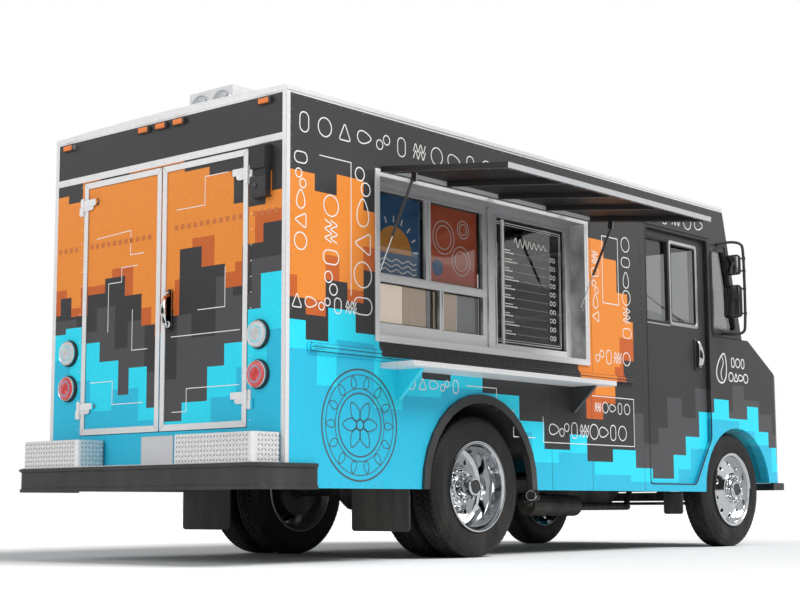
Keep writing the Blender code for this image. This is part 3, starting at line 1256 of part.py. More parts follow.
# Drive line, engine block, exhaust and fuel tank

shaft_start = REAR_AXLE_X + 0.26 + SEAT_GAP
shaft_end = 4.700
piece("drive_shaft", "chassis", [rod((shaft_start, 0.0, TYRE_RADIUS), (shaft_end, 0.0, 0.640), 0.038, 16),
                                 rod((shaft_start, 0.0, TYRE_RADIUS),
                                     (shaft_start + 0.06, 0.0, TYRE_RADIUS + 0.002), 0.050, 16)],
      [box((2.0, -0.1, 0.3), (shaft_start, 0.1, 0.8)),
       box((shaft_end - 0.02, -0.1, 0.4), (shaft_end + 0.1, 0.1, 0.8))])
piece("engine_block", "chassis", [box((5.625, -0.290, 0.620), (6.330, 0.290, 1.260)),
                                  box((shaft_end - 0.02 + SEAT_GAP, -0.110, 0.560), (5.640, 0.110, 0.770))])

exhaust_points = [(5.700, -0.300, 0.560), (5.300, -0.300, 0.560), (5.050, -0.400, 0.360),
                  (4.850, -0.540, 0.350),
                  (3.950, -0.560, 0.350)]
tail_points = [(3.400, -0.560, 0.370), (3.150, -0.700, 0.400), (2.960, -0.930, 0.430), (2.720, -1.060, 0.436)]
piece("exhaust_pipe", "chassis", [rod((4.000, -0.560, 0.360), (3.340, -0.560, 0.370), 0.085, 18),
                                  tube(exhaust_points, 0.028),
                                  tube(tail_points, 0.032),
                                  box((3.640, -0.550, 0.420),
                                      (3.700, -RAIL_INNER - RAIL_WIDTH - SEAT_GAP, 0.460)),
                                  box((2.945, -0.945, 0.440), (2.975, -0.915, FLOOR_UNDER - SEAT_GAP))])
tank_shapes = [cross_plate([rounded(0.500, 0.330, 0.950, 0.640, 0.07, 3)], 3.150, 4.200)]
for x in (3.320, 4.000):
    tank_shapes.append(box((x, RAIL_INNER + RAIL_WIDTH + SEAT_GAP, 0.420), (x + 0.05, 0.510, 0.540)))
piece("fuel_tank", "chassis", tank_shapes)


# Bumpers and steps

def bumper_line(offset, end):
    """Plan line of the rear bumper, moved out by an offset: across the back and forward along both sides."""
    half = REAR_BUMPER_HALF + offset
    face = REAR_BUMPER_FACE - offset
    corner = REAR_BUMPER_CORNER + offset
    right = [(end, -half)] + [(face + corner - corner * sin(pi / 2 * i / 4),
                               -half + corner - corner * cos(pi / 2 * i / 4))
                              for i in range(5)]
    return right + [(x, -y) for x, y in reversed(right)]


def bumper_band(outer, inner, low, high, end):
    """A band between two offsets of the rear bumper's line."""
    return flat_plate([bumper_line(outer, end) + list(reversed(bumper_line(inner, end)))], low, high)


channel = bumper_band(0.020, -BUMPER_LIP, REAR_BUMPER_BOTTOM + BUMPER_LIP_HEIGHT,
                      REAR_BUMPER_TOP - BUMPER_LIP_HEIGHT,
                      REAR_BUMPER_WRAP + 0.05)
deck = box((REAR_BUMPER_FACE + 0.015, -REAR_BUMPER_HALF + 0.014, REAR_BUMPER_TOP - 0.018),
           (-SEAT_GAP, REAR_BUMPER_HALF - 0.014, REAR_BUMPER_TOP - 0.002))
rim_band = bumper_band(0.0, -BUMPER_BAND, REAR_BUMPER_BOTTOM, REAR_BUMPER_TOP, REAR_BUMPER_WRAP)
piece("rear_bumper", "black", [rim_band, deck], (), ROOT, [channel])

step_floor = REAR_BUMPER_TOP + SEAT_GAP
steps = [box((STEP_REAR, STEP_SPANS[1][0], step_floor), (STEP_FRONT, STEP_SPANS[0][1], step_floor + 0.006))]
for low, high in STEP_SPANS:
    steps.append(flat_plate([rounded(STEP_REAR, low, STEP_FRONT, high, 0.030)], step_floor + 0.003, STEP_TOP))
piece("rear_steps", "plate", steps)

front_band = [(NOSE_FRONT - 0.18, -HALF - 0.01), (NOSE_FRONT + 0.02, -HALF - 0.01),
              (FRONT_BUMPER_FACE - 0.04, -HALF + 0.10),
              (FRONT_BUMPER_FACE, -0.60), (FRONT_BUMPER_FACE, 0.60), (FRONT_BUMPER_FACE - 0.04, HALF - 0.10),
              (NOSE_FRONT + 0.02, HALF + 0.01), (NOSE_FRONT - 0.18, HALF + 0.01)]
front_inner = [(NOSE_FRONT - 0.18, HALF - 0.02), (NOSE_FRONT + 0.005, HALF - 0.02),
               (FRONT_BUMPER_FACE - 0.065, HALF - 0.125),
               (FRONT_BUMPER_FACE - 0.025, 0.60), (FRONT_BUMPER_FACE - 0.025, -0.60),
               (FRONT_BUMPER_FACE - 0.065, -HALF + 0.125),
               (NOSE_FRONT + 0.005, -HALF + 0.02), (NOSE_FRONT - 0.18, -HALF + 0.02)]
front_shapes = [flat_plate([front_band + front_inner], FRONT_BUMPER_BOTTOM, NOSE_BOTTOM - SEAT_GAP)]
for side in (-1, 1):
    y = span(side, RAIL_INNER, RAIL_INNER + RAIL_WIDTH)
    front_shapes.append(box((RAIL_FRONT - 0.10, y[0], FRONT_BUMPER_BOTTOM + FRONT_BUMPER_STAY),
                            (FRONT_BUMPER_FACE - 0.01, y[1], NOSE_BOTTOM - FRONT_BUMPER_STAY)))
    front_shapes.append(box((RAIL_FRONT - 0.10, y[0], FRONT_BUMPER_BOTTOM + FRONT_BUMPER_STAY),
                            (RAIL_FRONT, y[1], RAIL_HIGH_BOTTOM - SEAT_GAP)))
piece("front_bumper", "black", front_shapes)


# Mud flaps: the rear pair on a bar under the rails, the front ones under the sills

flap_shapes = [box((REAR_FLAP_X - 0.015, -1.120, RAIL_HIGH_BOTTOM - 0.030),
                   (REAR_FLAP_X + 0.015, 1.120, RAIL_HIGH_BOTTOM - SEAT_GAP))]
for side in (-1, 1):
    y = span(side, 0.610, HALF - WALL - 0.007)
    flap_shapes.append(box((REAR_FLAP_X - 0.006, y[0], 0.190),
                           (REAR_FLAP_X + 0.006, y[1], RAIL_HIGH_BOTTOM - 0.010)))
piece("mud_flaps_rear", "black", flap_shapes)
for label, side in SIDES:
    y = span(side, 0.985, HALF - 0.004)
    piece("mud_flap_front_" + label, "black",
          [box((FRONT_FLAP_X - 0.006, y[0], 0.285), (FRONT_FLAP_X + 0.006, y[1], SKIRT_BOTTOM - SEAT_GAP))])


# Mirrors on bent tubes at the windscreen pillars

for label, side in SIDES:
    wall = side * (HALF + SEAT_GAP)
    out = side * (HALF + MIRROR_OUT)
    bend = 0.05
    path = [(5.400, wall, MIRROR_TOP - 0.010), (MIRROR_X - bend, side * (HALF + MIRROR_OUT * 0.75),
                                                MIRROR_TOP),
            (MIRROR_X, out, MIRROR_TOP - bend), (MIRROR_X, out, MIRROR_BOTTOM + bend),
            (MIRROR_X - bend, side * (HALF + MIRROR_OUT * 0.75), MIRROR_BOTTOM),
            (5.460, wall, MIRROR_BOTTOM + 0.015)]
    shapes = [tube(path, MIRROR_TUBE)]
    for foot in (path[0], path[-1]):
        y = span(side, HALF + SEAT_GAP, HALF + 0.014)
        shapes.append(box((foot[0] - 0.03, y[0], foot[2] - 0.03), (foot[0] + 0.03, y[1], foot[2] + 0.03)))
    # Low and high Z and half width of each head
    for low, high, half in ((2.380, 2.560, 0.062), (2.000, 2.290, MIRROR_HEAD_HALF)):
        outline = rounded(out - half, low, out + half, high, 0.03)
        shapes.append(cross_plate([outline], MIRROR_X - 0.055, MIRROR_X + 0.004))
    piece("mirror_" + label, "black", shapes,
          [box((5.2, -HALF - SEAT_GAP, 1.6), (5.7, HALF + SEAT_GAP, 2.9))])


# Roof unit with two round fans at its back

unit = box((UNIT_REAR, -UNIT_HALF_WIDTH, UNIT_BASE + 0.012), (UNIT_FRONT, UNIT_HALF_WIDTH, UNIT_TOP))
feet = box((UNIT_REAR + 0.02, -UNIT_HALF_WIDTH + 0.02, UNIT_BASE),
           (UNIT_FRONT - 0.02, UNIT_HALF_WIDTH - 0.02, UNIT_BASE + 0.02))
fan_radius = 0.088
fan_z = (UNIT_BASE + UNIT_TOP) / 2
fan_cuts = [rod((UNIT_REAR - 0.02, side * 0.108, fan_z), (UNIT_REAR + 0.05, side * 0.108, fan_z),
                fan_radius, 24) for side in (-1, 1)]
fan_hubs = [rod((UNIT_REAR + 0.06, side * 0.108, fan_z), (UNIT_REAR + 0.020, side * 0.108, fan_z), 0.030,
                16) for side in (-1, 1)]
piece("roof_unit", "light_trim", [unit, feet] + fan_hubs, (), ROOT, fan_cuts)


# Kitchen: bulkhead with board shelves, wall and base cabinets, and the serving counter

bulk_half = HALF - WALL - RUNNING_GAP - DOOR_THICKNESS - GLASS - 2 * RUNNING_GAP
bulk_top = ROOF_UNDER - SEAT_GAP
bulk_low = FLOOR_TOP + SEAT_GAP
bulk_outline = [(-bulk_half, bulk_low), (BULKHEAD_DOOR[0], bulk_low), (BULKHEAD_DOOR[0], 2.700),
                (BULKHEAD_DOOR[1], 2.700),
                (BULKHEAD_DOOR[1], bulk_low), (bulk_half, bulk_low), (bulk_half, bulk_top),
                (-bulk_half, bulk_top)]
shelves = [box((BULKHEAD_X - depth, -0.95, z - 0.010), (BULKHEAD_X + OVERLAP, 0.12, z + 0.010)) for z,
           depth in BOARD_SHELVES]
piece("bulkhead", "charcoal", [cross_plate([bulk_outline], BULKHEAD_X, BULKHEAD_X + BULKHEAD)] + shelves)

inner_wall = HALF - WALL - SEAT_GAP
base_box = box((CABINET_STAND_REAR, CABINET_FACE_Y, FLOOR_TOP + SEAT_GAP),
               (CABINET_FRONT, inner_wall, CABINET_TOP))
long_back = box((CABINET_REAR, inner_wall - 0.018, CABINET_OVER_WELL - 0.010),
                (CABINET_FRONT, inner_wall, WALL_CABINET_HIGH))
long_base = box((CABINET_REAR, CABINET_FACE_Y, CABINET_OVER_WELL), (CABINET_FRONT, inner_wall, CABINET_TOP))
wall_box = box((WALL_CABINET_REAR, WALL_CABINET_FACE_Y, WALL_CABINET_LOW),
               (CABINET_FRONT - 0.030, inner_wall, WALL_CABINET_HIGH))
piece("kitchen_cabinets", "cabinet", [base_box, long_base, long_back, wall_box])
counter_under = COUNTER_TOP - COUNTER_SLAB
counter_shapes = [box((COUNTER_STAND_REAR, COUNTER_WALL_Y, FLOOR_TOP + SEAT_GAP),
                      (COUNTER_FRONT, COUNTER_FACE_Y, counter_under + 0.010)),
                  box((COUNTER_REAR, COUNTER_WALL_Y, COUNTER_OVER_WELL),
                      (COUNTER_FRONT, COUNTER_FACE_Y, counter_under + 0.010)),
                  box((COUNTER_REAR, COUNTER_WALL_Y - COUNTER_NOSING / 2, counter_under),
                      (COUNTER_FRONT, COUNTER_FACE_Y + COUNTER_NOSING, COUNTER_TOP))]
piece("serving_counter", "light_trim", counter_shapes)


# Driver's seat, and the dash with the steering wheel

seat_shapes = [box((SEAT_REAR + 0.150, SEAT_Y - 0.150, FLOOR_TOP + SEAT_GAP),
                   (SEAT_FRONT - 0.080, SEAT_Y + 0.150, SEAT_LOW + 0.020)),
               box((SEAT_REAR + 0.050, SEAT_Y - SEAT_HALF, SEAT_LOW),
                   (SEAT_FRONT, SEAT_Y + SEAT_HALF, SEAT_TOP)),
               box((SEAT_REAR, SEAT_Y - SEAT_HALF + 0.010, SEAT_LOW + 0.020),
                   (SEAT_REAR + 0.120, SEAT_Y + SEAT_HALF - 0.010, SEAT_BACK_TOP))]
piece("driver_seat", "seat", seat_shapes)

wheel_centre = Vector((STEERING_WHEEL[0], SEAT_Y, STEERING_WHEEL[1]))
column = Vector((STEERING_FOOT[0], SEAT_Y, STEERING_FOOT[1]))
wheel_axis = (wheel_centre - column).normalized()
wheel_points = []
across = Vector((0.0, 1.0, 0.0))
upward = wheel_axis.cross(across)
for i in range(20):
    angle = 2 * pi * i / 20
    wheel_points.append(wheel_centre + STEERING_RADIUS * (cos(angle) * across + sin(angle) * upward))
ring_curve = bpy.data.curves.new("ring", "CURVE")
ring_curve.dimensions = "3D"
ring_curve.bevel_depth = STEERING_RIM
ring_curve.bevel_resolution = 1
ring_spline = ring_curve.splines.new("POLY")
ring_spline.points.add(19)
for point, place in zip(ring_spline.points, wheel_points):
    point.co = (*place, 1.0)
ring_spline.use_cyclic_u = True
ring_source = bpy.data.objects.new("ring", ring_curve)
cutters.objects.link(ring_source)
ring = mesh_object(closed_mesh(ring_source))
dash_outline = [(DASH_REAR, DASH_LOW), (DASH_FRONT, DASH_LOW), (DASH_FRONT, DASH_LOW + 0.260),
                (DASH_FRONT - 0.160, DASH_LOW + 0.320), (DASH_REAR, DASH_LOW + 0.260)]
dash_shapes = [side_plate([dash_outline], -DASH_HALF, DASH_HALF),
               box((DASH_REAR + 0.105, -WELL_INNER_Y + 0.01, FLOOR_TOP + SEAT_GAP),
                                                             (DASH_REAR + 0.130, WELL_INNER_Y - 0.01,
                                                              DASH_LOW + 0.010)),
               rod(column - wheel_axis * 0.08, wheel_centre + wheel_axis * 0.01, 0.030, 12), ring]
for start, end in ((wheel_points[0], wheel_points[10]), (wheel_points[15], wheel_centre)):
    dash_shapes.append(rod(start, end, 0.012, 8))
piece("dash", "charcoal", dash_shapes)
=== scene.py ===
"""Look of the food truck: livery, metal, glass, rubber, lamps, wheels and kitchen, with camera and soft studio."""
import json

import bmesh
import bpy
import numpy as np
from mathutils import Matrix, Vector

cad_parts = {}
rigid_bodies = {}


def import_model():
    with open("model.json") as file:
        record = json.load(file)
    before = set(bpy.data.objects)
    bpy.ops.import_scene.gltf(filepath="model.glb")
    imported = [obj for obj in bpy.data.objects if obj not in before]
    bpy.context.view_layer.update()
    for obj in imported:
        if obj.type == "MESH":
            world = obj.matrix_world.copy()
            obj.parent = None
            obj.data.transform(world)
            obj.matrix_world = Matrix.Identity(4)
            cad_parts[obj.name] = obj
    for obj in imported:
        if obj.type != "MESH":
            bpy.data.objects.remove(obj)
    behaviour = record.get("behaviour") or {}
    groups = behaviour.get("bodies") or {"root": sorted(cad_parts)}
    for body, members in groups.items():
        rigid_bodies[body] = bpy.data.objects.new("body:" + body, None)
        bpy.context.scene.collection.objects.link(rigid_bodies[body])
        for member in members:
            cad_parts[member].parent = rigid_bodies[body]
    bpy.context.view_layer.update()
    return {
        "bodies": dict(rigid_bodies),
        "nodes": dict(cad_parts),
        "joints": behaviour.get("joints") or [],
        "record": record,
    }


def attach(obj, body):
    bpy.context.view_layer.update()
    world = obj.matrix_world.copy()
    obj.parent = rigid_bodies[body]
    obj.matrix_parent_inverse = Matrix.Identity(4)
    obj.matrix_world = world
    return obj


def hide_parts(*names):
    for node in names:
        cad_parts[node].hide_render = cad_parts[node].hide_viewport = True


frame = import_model()

# ---------------------------------------------------------------- places
# Sizes below are in the truck's own frame: x from the rear face forward, y from the middle to the left, z up.
REAR_AXLE_X = 1.974
FRONT_AXLE_X = 5.634
HUB_HEIGHT = 0.497
HALF = 1.175
ROOF_TOP = 3.008
HINGE = {joint["name"]: joint["pos_m"] for joint in frame["joints"]}
SHIFT = np.array([HINGE["wheel_rear_right_spin"][0] - REAR_AXLE_X,
                  (HINGE["wheel_rear_right_spin"][1] + HINGE["wheel_rear_left_spin"][1]) / 2,
                  0.0])


def at(x, y, z):
    """A place in the truck's own frame, given in the shared frame."""
    return np.array([x, y, z], float) + SHIFT


# ---------------------------------------------------------------- shader nodes
def node(tree, kind, **values):
    """One shader node, with its settings and its unlinked inputs."""
    made = tree.nodes.new("ShaderNode" + kind)
    for key, value in values.items():
        if hasattr(made, key):
            setattr(made, key, value)
        else:
            made.inputs[key.replace("_", " ").title()].default_value = value
    return made


def calc(tree, operation, *terms):
    """A Math node on numbers and sockets; gives its result."""
    made = tree.nodes.new("ShaderNodeMath")
    made.operation = operation
    for index, term in enumerate(terms):
        if isinstance(term, bpy.types.NodeSocket):
            tree.links.new(term, made.inputs[index])
        else:
            made.inputs[index].default_value = term
    return made.outputs[0]


def mix(tree, factor, first, second):
    """Blends two colours; each of the three is a socket or a value."""
    made = tree.nodes.new("ShaderNodeMix")
    made.data_type = "RGBA"
    for socket, value in zip((made.inputs[0], made.inputs[6], made.inputs[7]), (factor, first, second)):
        if isinstance(value, bpy.types.NodeSocket):
            tree.links.new(value, socket)
        else:
            socket.default_value = value
    return made.outputs[2]


def rgb(red, green, blue):
    """A display colour of 0 to 255 as the linear colour that shaders take."""
    scaled = np.array([red, green, blue], float) / 255
    linear = np.where(scaled <= 0.04045, scaled / 12.92, ((scaled + 0.055) / 1.055) ** 2.4)
    return (*[float(value) for value in linear], 1.0)


def group(name, inputs, outputs):
    """An empty node group with its sockets; gives the tree, its input node and its output node."""
    tree = bpy.data.node_groups.new(name, "ShaderNodeTree")
    for label, kind, value in inputs:
        socket = tree.interface.new_socket(label, in_out="INPUT", socket_type="NodeSocket" + kind)
        if value is not None:
            socket.default_value = value
    for label, kind in outputs:
        tree.interface.new_socket(label, in_out="OUTPUT", socket_type="NodeSocket" + kind)
    return tree, tree.nodes.new("NodeGroupInput"), tree.nodes.new("NodeGroupOutput")


def noise(tree, vector, scale, detail=4.0, roughness=0.55):
    """Noise value at a vector socket."""
    made = node(tree, "TexNoise", scale=scale, detail=detail, roughness=roughness)
    tree.links.new(vector, made.inputs["Vector"])
    return made.outputs["Fac"]


def ramp(tree, factor, low, high, to_low=0.0, to_high=1.0):
    """A clamped straight-line map of a number."""
    made = tree.nodes.new("ShaderNodeMapRange")
    tree.links.new(factor, made.inputs[0])
    for index, value in enumerate((low, high, to_low, to_high)):
        made.inputs[index + 1].default_value = value
    return made.outputs[0]


def scaled(tree, vector, x, y, z):
    """A vector stretched along its axes."""
    made = tree.nodes.new("ShaderNodeVectorMath")
    made.operation = "MULTIPLY"
    made.inputs[1].default_value = (x, y, z)
    tree.links.new(vector, made.inputs[0])
    return made.outputs[0]


def axes(tree, vector):
    """The three numbers of a vector."""
    made = node(tree, "SeparateXYZ")
    tree.links.new(vector, made.inputs[0])
    return made.outputs["X"], made.outputs["Y"], made.outputs["Z"]


def both(tree, *terms):
    """One where all masks are one."""
    made = terms[0]
    for term in terms[1:]:
        made = calc(tree, "MULTIPLY", made, term)
    return made


def make_wear_group():
    """Dust, fine grain and road dirt near the ground: a colour, a roughness and a height from one colour."""
    tree, inside, outside = group("road_wear",
                                  [("Vector", "Vector", None), ("Colour", "Color", (0.5, 0.5, 0.5, 1)),
                                   ("Rough", "Float", 0.4), ("Spread", "Float", 0.1), ("Grain", "Float", 60.0),
                                   ("Dirt", "Float", 0.3)],
                                  [("Colour", "Color"), ("Roughness", "Float"), ("Height", "Float")])
    vector = inside.outputs["Vector"]
    cloud = noise(tree, vector, 2.6, 6.0, 0.6)
    fine = node(tree, "TexNoise", detail=3.0)
    tree.links.new(vector, fine.inputs["Vector"])
    tree.links.new(inside.outputs["Grain"], fine.inputs["Scale"])
    low = ramp(tree, axes(tree, vector)[2], 1.1, 0.25)
    streak = noise(tree, scaled(tree, vector, 9.0, 9.0, 1.2), 1.0, 5.0, 0.62)
    splash = calc(tree, "MULTIPLY", calc(tree, "MULTIPLY", low, ramp(tree, streak, 0.42, 0.75)),
                  inside.outputs["Dirt"])
    dust = calc(tree, "MULTIPLY", ramp(tree, cloud, 0.45, 0.8), calc(tree, "MULTIPLY", inside.outputs["Dirt"], 0.22))
    cover = calc(tree, "MINIMUM", calc(tree, "ADD", splash, dust), 0.85)
    tone = mix(tree, cover, inside.outputs["Colour"], rgb(150, 143, 132))
    light = ramp(tree, fine.outputs["Fac"], 0.25, 0.8, 0.93, 1.05)
    graded = tree.nodes.new("ShaderNodeMix")
    graded.data_type = "RGBA"
    graded.blend_type = "MULTIPLY"
    graded.inputs[0].default_value = 1.0
    tree.links.new(tone, graded.inputs[6])
    tree.links.new(light, graded.inputs[7])
    tree.links.new(graded.outputs[2], outside.inputs["Colour"])
    spread = calc(tree, "MULTIPLY", calc(tree, "SUBTRACT", cloud, 0.5), inside.outputs["Spread"])
    rough = calc(tree, "ADD", calc(tree, "ADD", inside.outputs["Rough"], spread),
                 calc(tree, "MULTIPLY", cover, 0.35))
    tree.links.new(calc(tree, "MINIMUM", calc(tree, "MAXIMUM", rough, 0.02), 1.0), outside.inputs["Roughness"])
    tree.links.new(fine.outputs["Fac"], outside.inputs["Height"])
    return tree


WEAR = make_wear_group()


def finish_of(name, colour, rough, metal=0.0, spread=0.1, grain=60.0, dirt=0.3, bump=0.02, stretch=(1, 1, 1), **own):
    """A worn finish: Principled shader fed by the wear group, with its constants on the shader's own sockets."""
    material = bpy.data.materials.new(name)
    material.use_nodes = True
    tree = material.node_tree
    shader = tree.nodes["Principled BSDF"]
    shader.inputs["Metallic"].default_value = metal
    for key, value in own.items():
        shader.inputs[key.replace("_", " ").title().replace("Ior", "IOR")].default_value = value
    place = node(tree, "TexCoord")
    wear = tree.nodes.new("ShaderNodeGroup")
    wear.node_tree = WEAR
    tree.links.new(scaled(tree, place.outputs["Object"], *stretch), wear.inputs["Vector"])
    if isinstance(colour, tuple):
        wear.inputs["Colour"].default_value = colour
    else:
        tree.links.new(colour(tree, place), wear.inputs["Colour"])
    for key, value in (("Rough", rough), ("Spread", spread), ("Grain", grain), ("Dirt", dirt)):
        wear.inputs[key].default_value = value
    tree.links.new(wear.outputs["Colour"], shader.inputs["Base Color"])
    tree.links.new(wear.outputs["Roughness"], shader.inputs["Roughness"])
    if bump:
        lift = node(tree, "Bump", strength=bump)
        lift.inputs["Distance"].default_value = 0.002
        tree.links.new(wear.outputs["Height"], lift.inputs["Height"])
        tree.links.new(lift.outputs["Normal"], shader.inputs["Normal"])
    return material


# ---------------------------------------------------------------- livery
CHARCOAL = rgb(57, 57, 58)
CHARCOAL_SOFT = rgb(78, 78, 80)
ORANGE = rgb(230, 139, 58)
ORANGE_DEEP = rgb(196, 98, 46)
CYAN = rgb(46, 219, 244)
CYAN_DEEP = rgb(46, 188, 222)
TRIM = rgb(228, 228, 229)
LINING = rgb(148, 148, 147)
STEP_TOP = 4.0  # height that a step of full brightness stands for
HINGE_LEVELS = (1.030, 2.470)

# Each table is the edge of a colour field: from this place along the panel on, the edge stands at this height.
SIDE_ORANGE_TOP = [(0.00, 2.47), (0.24, 2.36), (0.46, 2.50), (0.72, 2.30), (0.90, 0.10), (3.18, 2.30), (3.34, 2.46),
                   (3.58, 2.32), (3.74, 2.06), (3.90, 1.84), (3.98, 0.10)]
SIDE_ORANGE_LOW = [(0.00, 1.66), (0.16, 1.56), (0.34, 1.80), (0.55, 1.68), (0.70, 1.90), (2.10, 1.30), (2.45, 1.22),
                   (2.75, 1.10), (3.05, 1.20), (3.30, 1.03), (3.52, 1.16), (3.70, 1.34), (3.84, 1.52)]
SIDE_SHADE_LOW = [(0.00, 1.80), (0.10, 1.66), (0.34, 1.96), (0.48, 1.76), (0.70, 2.06), (2.10, 1.36), (2.62, 1.26),
                  (2.90, 1.18), (3.05, 1.30), (3.42, 1.22), (3.70, 1.46), (3.78, 1.70)]
SIDE_CYAN_TOP = [(0.00, 1.52), (0.18, 1.40), (0.38, 1.62), (0.62, 1.48), (0.86, 1.34), (1.30, 1.22), (1.62, 1.30),
                 (1.98, 1.16), (2.40, 0.98), (2.72, 0.78), (3.05, 0.90), (3.30, 0.70), (3.66, 0.80), (3.98, 0.66),
                 (4.30, 0.58), (4.62, 0.78), (4.84, 0.94), (5.06, 1.16), (5.26, 1.28), (5.52, 1.12), (5.86, 1.24),
                 (6.06, 1.02), (6.24, 0.88), (6.40, 0.74)]
SIDE_CYAN_DEEP = [(0.00, 1.34), (0.26, 1.12), (0.44, 1.42), (0.80, 1.00), (1.10, 1.10), (1.52, 1.18), (2.10, 0.90),
                  (2.56, 0.68), (2.90, 0.76), (3.40, 0.60), (3.90, 0.55), (4.70, 0.66), (4.92, 0.84), (5.20, 1.10),
                  (5.70, 1.02), (6.00, 0.90), (6.30, 0.66)]
REAR_ORANGE_TOP = [(-1.20, 2.34), (-1.00, 2.26), (-0.84, 2.30), (-0.70, 2.52), (-0.46, 2.58), (-0.22, 2.66),
                   (0.06, 2.66), (0.34, 2.60), (0.66, 2.66), (0.86, 2.52), (1.02, 2.58)]
REAR_ORANGE_LOW = [(-1.20, 2.14), (-0.98, 2.02), (-0.78, 1.76), (-0.62, 1.92), (-0.40, 2.06), (-0.18, 1.62),
                   (-0.04, 1.50), (0.06, 1.58), (0.20, 1.80), (0.38, 1.94), (0.60, 1.84), (0.78, 1.70), (0.96, 1.84),
                   (1.08, 1.72)]
REAR_SHADE_LOW = [(-1.20, 2.22), (-0.90, 1.92), (-0.72, 1.86), (-0.52, 2.12), (-0.30, 1.86), (-0.14, 1.58),
                  (0.10, 1.70), (0.30, 2.00), (0.52, 1.90), (0.86, 1.76), (1.02, 1.90)]
REAR_CYAN_TOP = [(-1.20, 1.82), (-0.96, 1.60), (-0.80, 1.40), (-0.62, 1.26), (-0.46, 1.04), (-0.22, 0.92),
                 (-0.04, 1.02), (0.14, 1.30), (0.32, 1.12), (0.44, 1.36), (0.64, 1.50), (0.84, 1.62), (1.02, 1.58)]
REAR_CYAN_DEEP = [(-1.20, 1.46), (-1.02, 1.24), (-0.74, 1.06), (-0.50, 0.88), (0.00, 0.94), (0.22, 1.16),
                  (0.50, 1.02), (0.74, 1.24), (0.96, 1.40)]
# Towers in a softer grey stand in the charcoal between the two colours.
SIDE_TOWER_TOP = [(0.00, 0.1), (3.96, 1.10), (4.12, 0.86), (4.40, 1.00), (4.56, 1.26), (4.78, 1.10), (5.02, 1.36),
                  (5.24, 1.18), (5.60, 1.42), (5.82, 1.30), (6.10, 1.18), (6.34, 1.00)]
REAR_TOWER_TOP = [(-1.20, 1.92), (-0.88, 1.70), (-0.70, 1.84), (-0.54, 1.46), (-0.30, 1.62), (-0.16, 1.20),
                  (0.02, 1.26), (0.16, 1.62), (0.34, 1.44), (0.48, 1.74), (0.68, 1.58), (0.90, 1.68)]


def stepped_edge(tree, along, table, low, high):
    """Height of a field's edge at a place along the panel, from its table of steps."""
    steps = tree.nodes.new("ShaderNodeValToRGB")
    steps.color_ramp.interpolation = "CONSTANT"
    stops = steps.color_ramp.elements
    while len(stops) > 1:
        stops.remove(stops[-1])
    for index, (start, height) in enumerate(table):
        stop = stops[0] if index == 0 else stops.new((start - low) / (high - low))
        stop.position = max(0.0, (start - low) / (high - low))
        stop.color = (height / STEP_TOP,) * 3 + (1.0,)
    tree.links.new(ramp(tree, along, low, high), steps.inputs[0])
    return calc(tree, "MULTIPLY", steps.outputs[0], STEP_TOP)


def colour_fields(tree, along, height, tables, low, high):
    """Charcoal with towers, an orange field with a deep lower edge and a cyan field with deep blocks."""
    orange_top, orange_low, shade_low, cyan_top, cyan_deep, tower_top = [
        stepped_edge(tree, along, table, low, high) for table in tables]
    under = lambda edge: calc(tree, "LESS_THAN", height, edge)
    over = lambda edge: calc(tree, "GREATER_THAN", height, edge)
    colour = mix(tree, under(tower_top), CHARCOAL, CHARCOAL_SOFT)
    in_orange = calc(tree, "MULTIPLY", under(orange_top), over(orange_low))
    orange = mix(tree, under(shade_low), ORANGE, ORANGE_DEEP)
    colour = mix(tree, in_orange, colour, orange)
    cyan = mix(tree, under(cyan_deep), CYAN, CYAN_DEEP)
    return mix(tree, under(cyan_top), colour, cyan)


def make_livery_group():
    """The truck's colour at a place and a normal of the body: rear fields on the rear face, side fields elsewhere."""
    tree, inside, outside = group("stepped_livery", [("Vector", "Vector", None), ("Facing", "Vector", None)],
                                  [("Colour", "Color")])
    own = tree.nodes.new("ShaderNodeVectorMath")
    own.operation = "SUBTRACT"
    own.inputs[1].default_value = SHIFT
    tree.links.new(inside.outputs["Vector"], own.inputs[0])
    x, y, z = axes(tree, own.outputs[0])
    ahead, _, _ = axes(tree, inside.outputs["Facing"])
    side = colour_fields(tree, x, z, (SIDE_ORANGE_TOP, SIDE_ORANGE_LOW, SIDE_SHADE_LOW, SIDE_CYAN_TOP,
                                      SIDE_CYAN_DEEP, SIDE_TOWER_TOP), 0.0, 6.6)
    rear = colour_fields(tree, y, z, (REAR_ORANGE_TOP, REAR_ORANGE_LOW, REAR_SHADE_LOW, REAR_CYAN_TOP,
                                      REAR_CYAN_DEEP, REAR_TOWER_TOP), -1.2, 1.2)
    on_rear = calc(tree, "MULTIPLY", calc(tree, "LESS_THAN", ahead, -0.5),
                   calc(tree, "LESS_THAN", x, 0.5))
    tree.links.new(mix(tree, on_rear, side, rear), outside.inputs["Colour"])
    return tree


LIVERY = make_livery_group()


def livery_colour(tree, place):
    """Colour socket of the livery at the piece's own place and facing."""
    paint = tree.nodes.new("ShaderNodeGroup")
    paint.node_tree = LIVERY
    tree.links.new(place.outputs["Object"], paint.inputs["Vector"])
    tree.links.new(place.outputs["Normal"], paint.inputs["Facing"])
    return paint.outputs["Colour"]


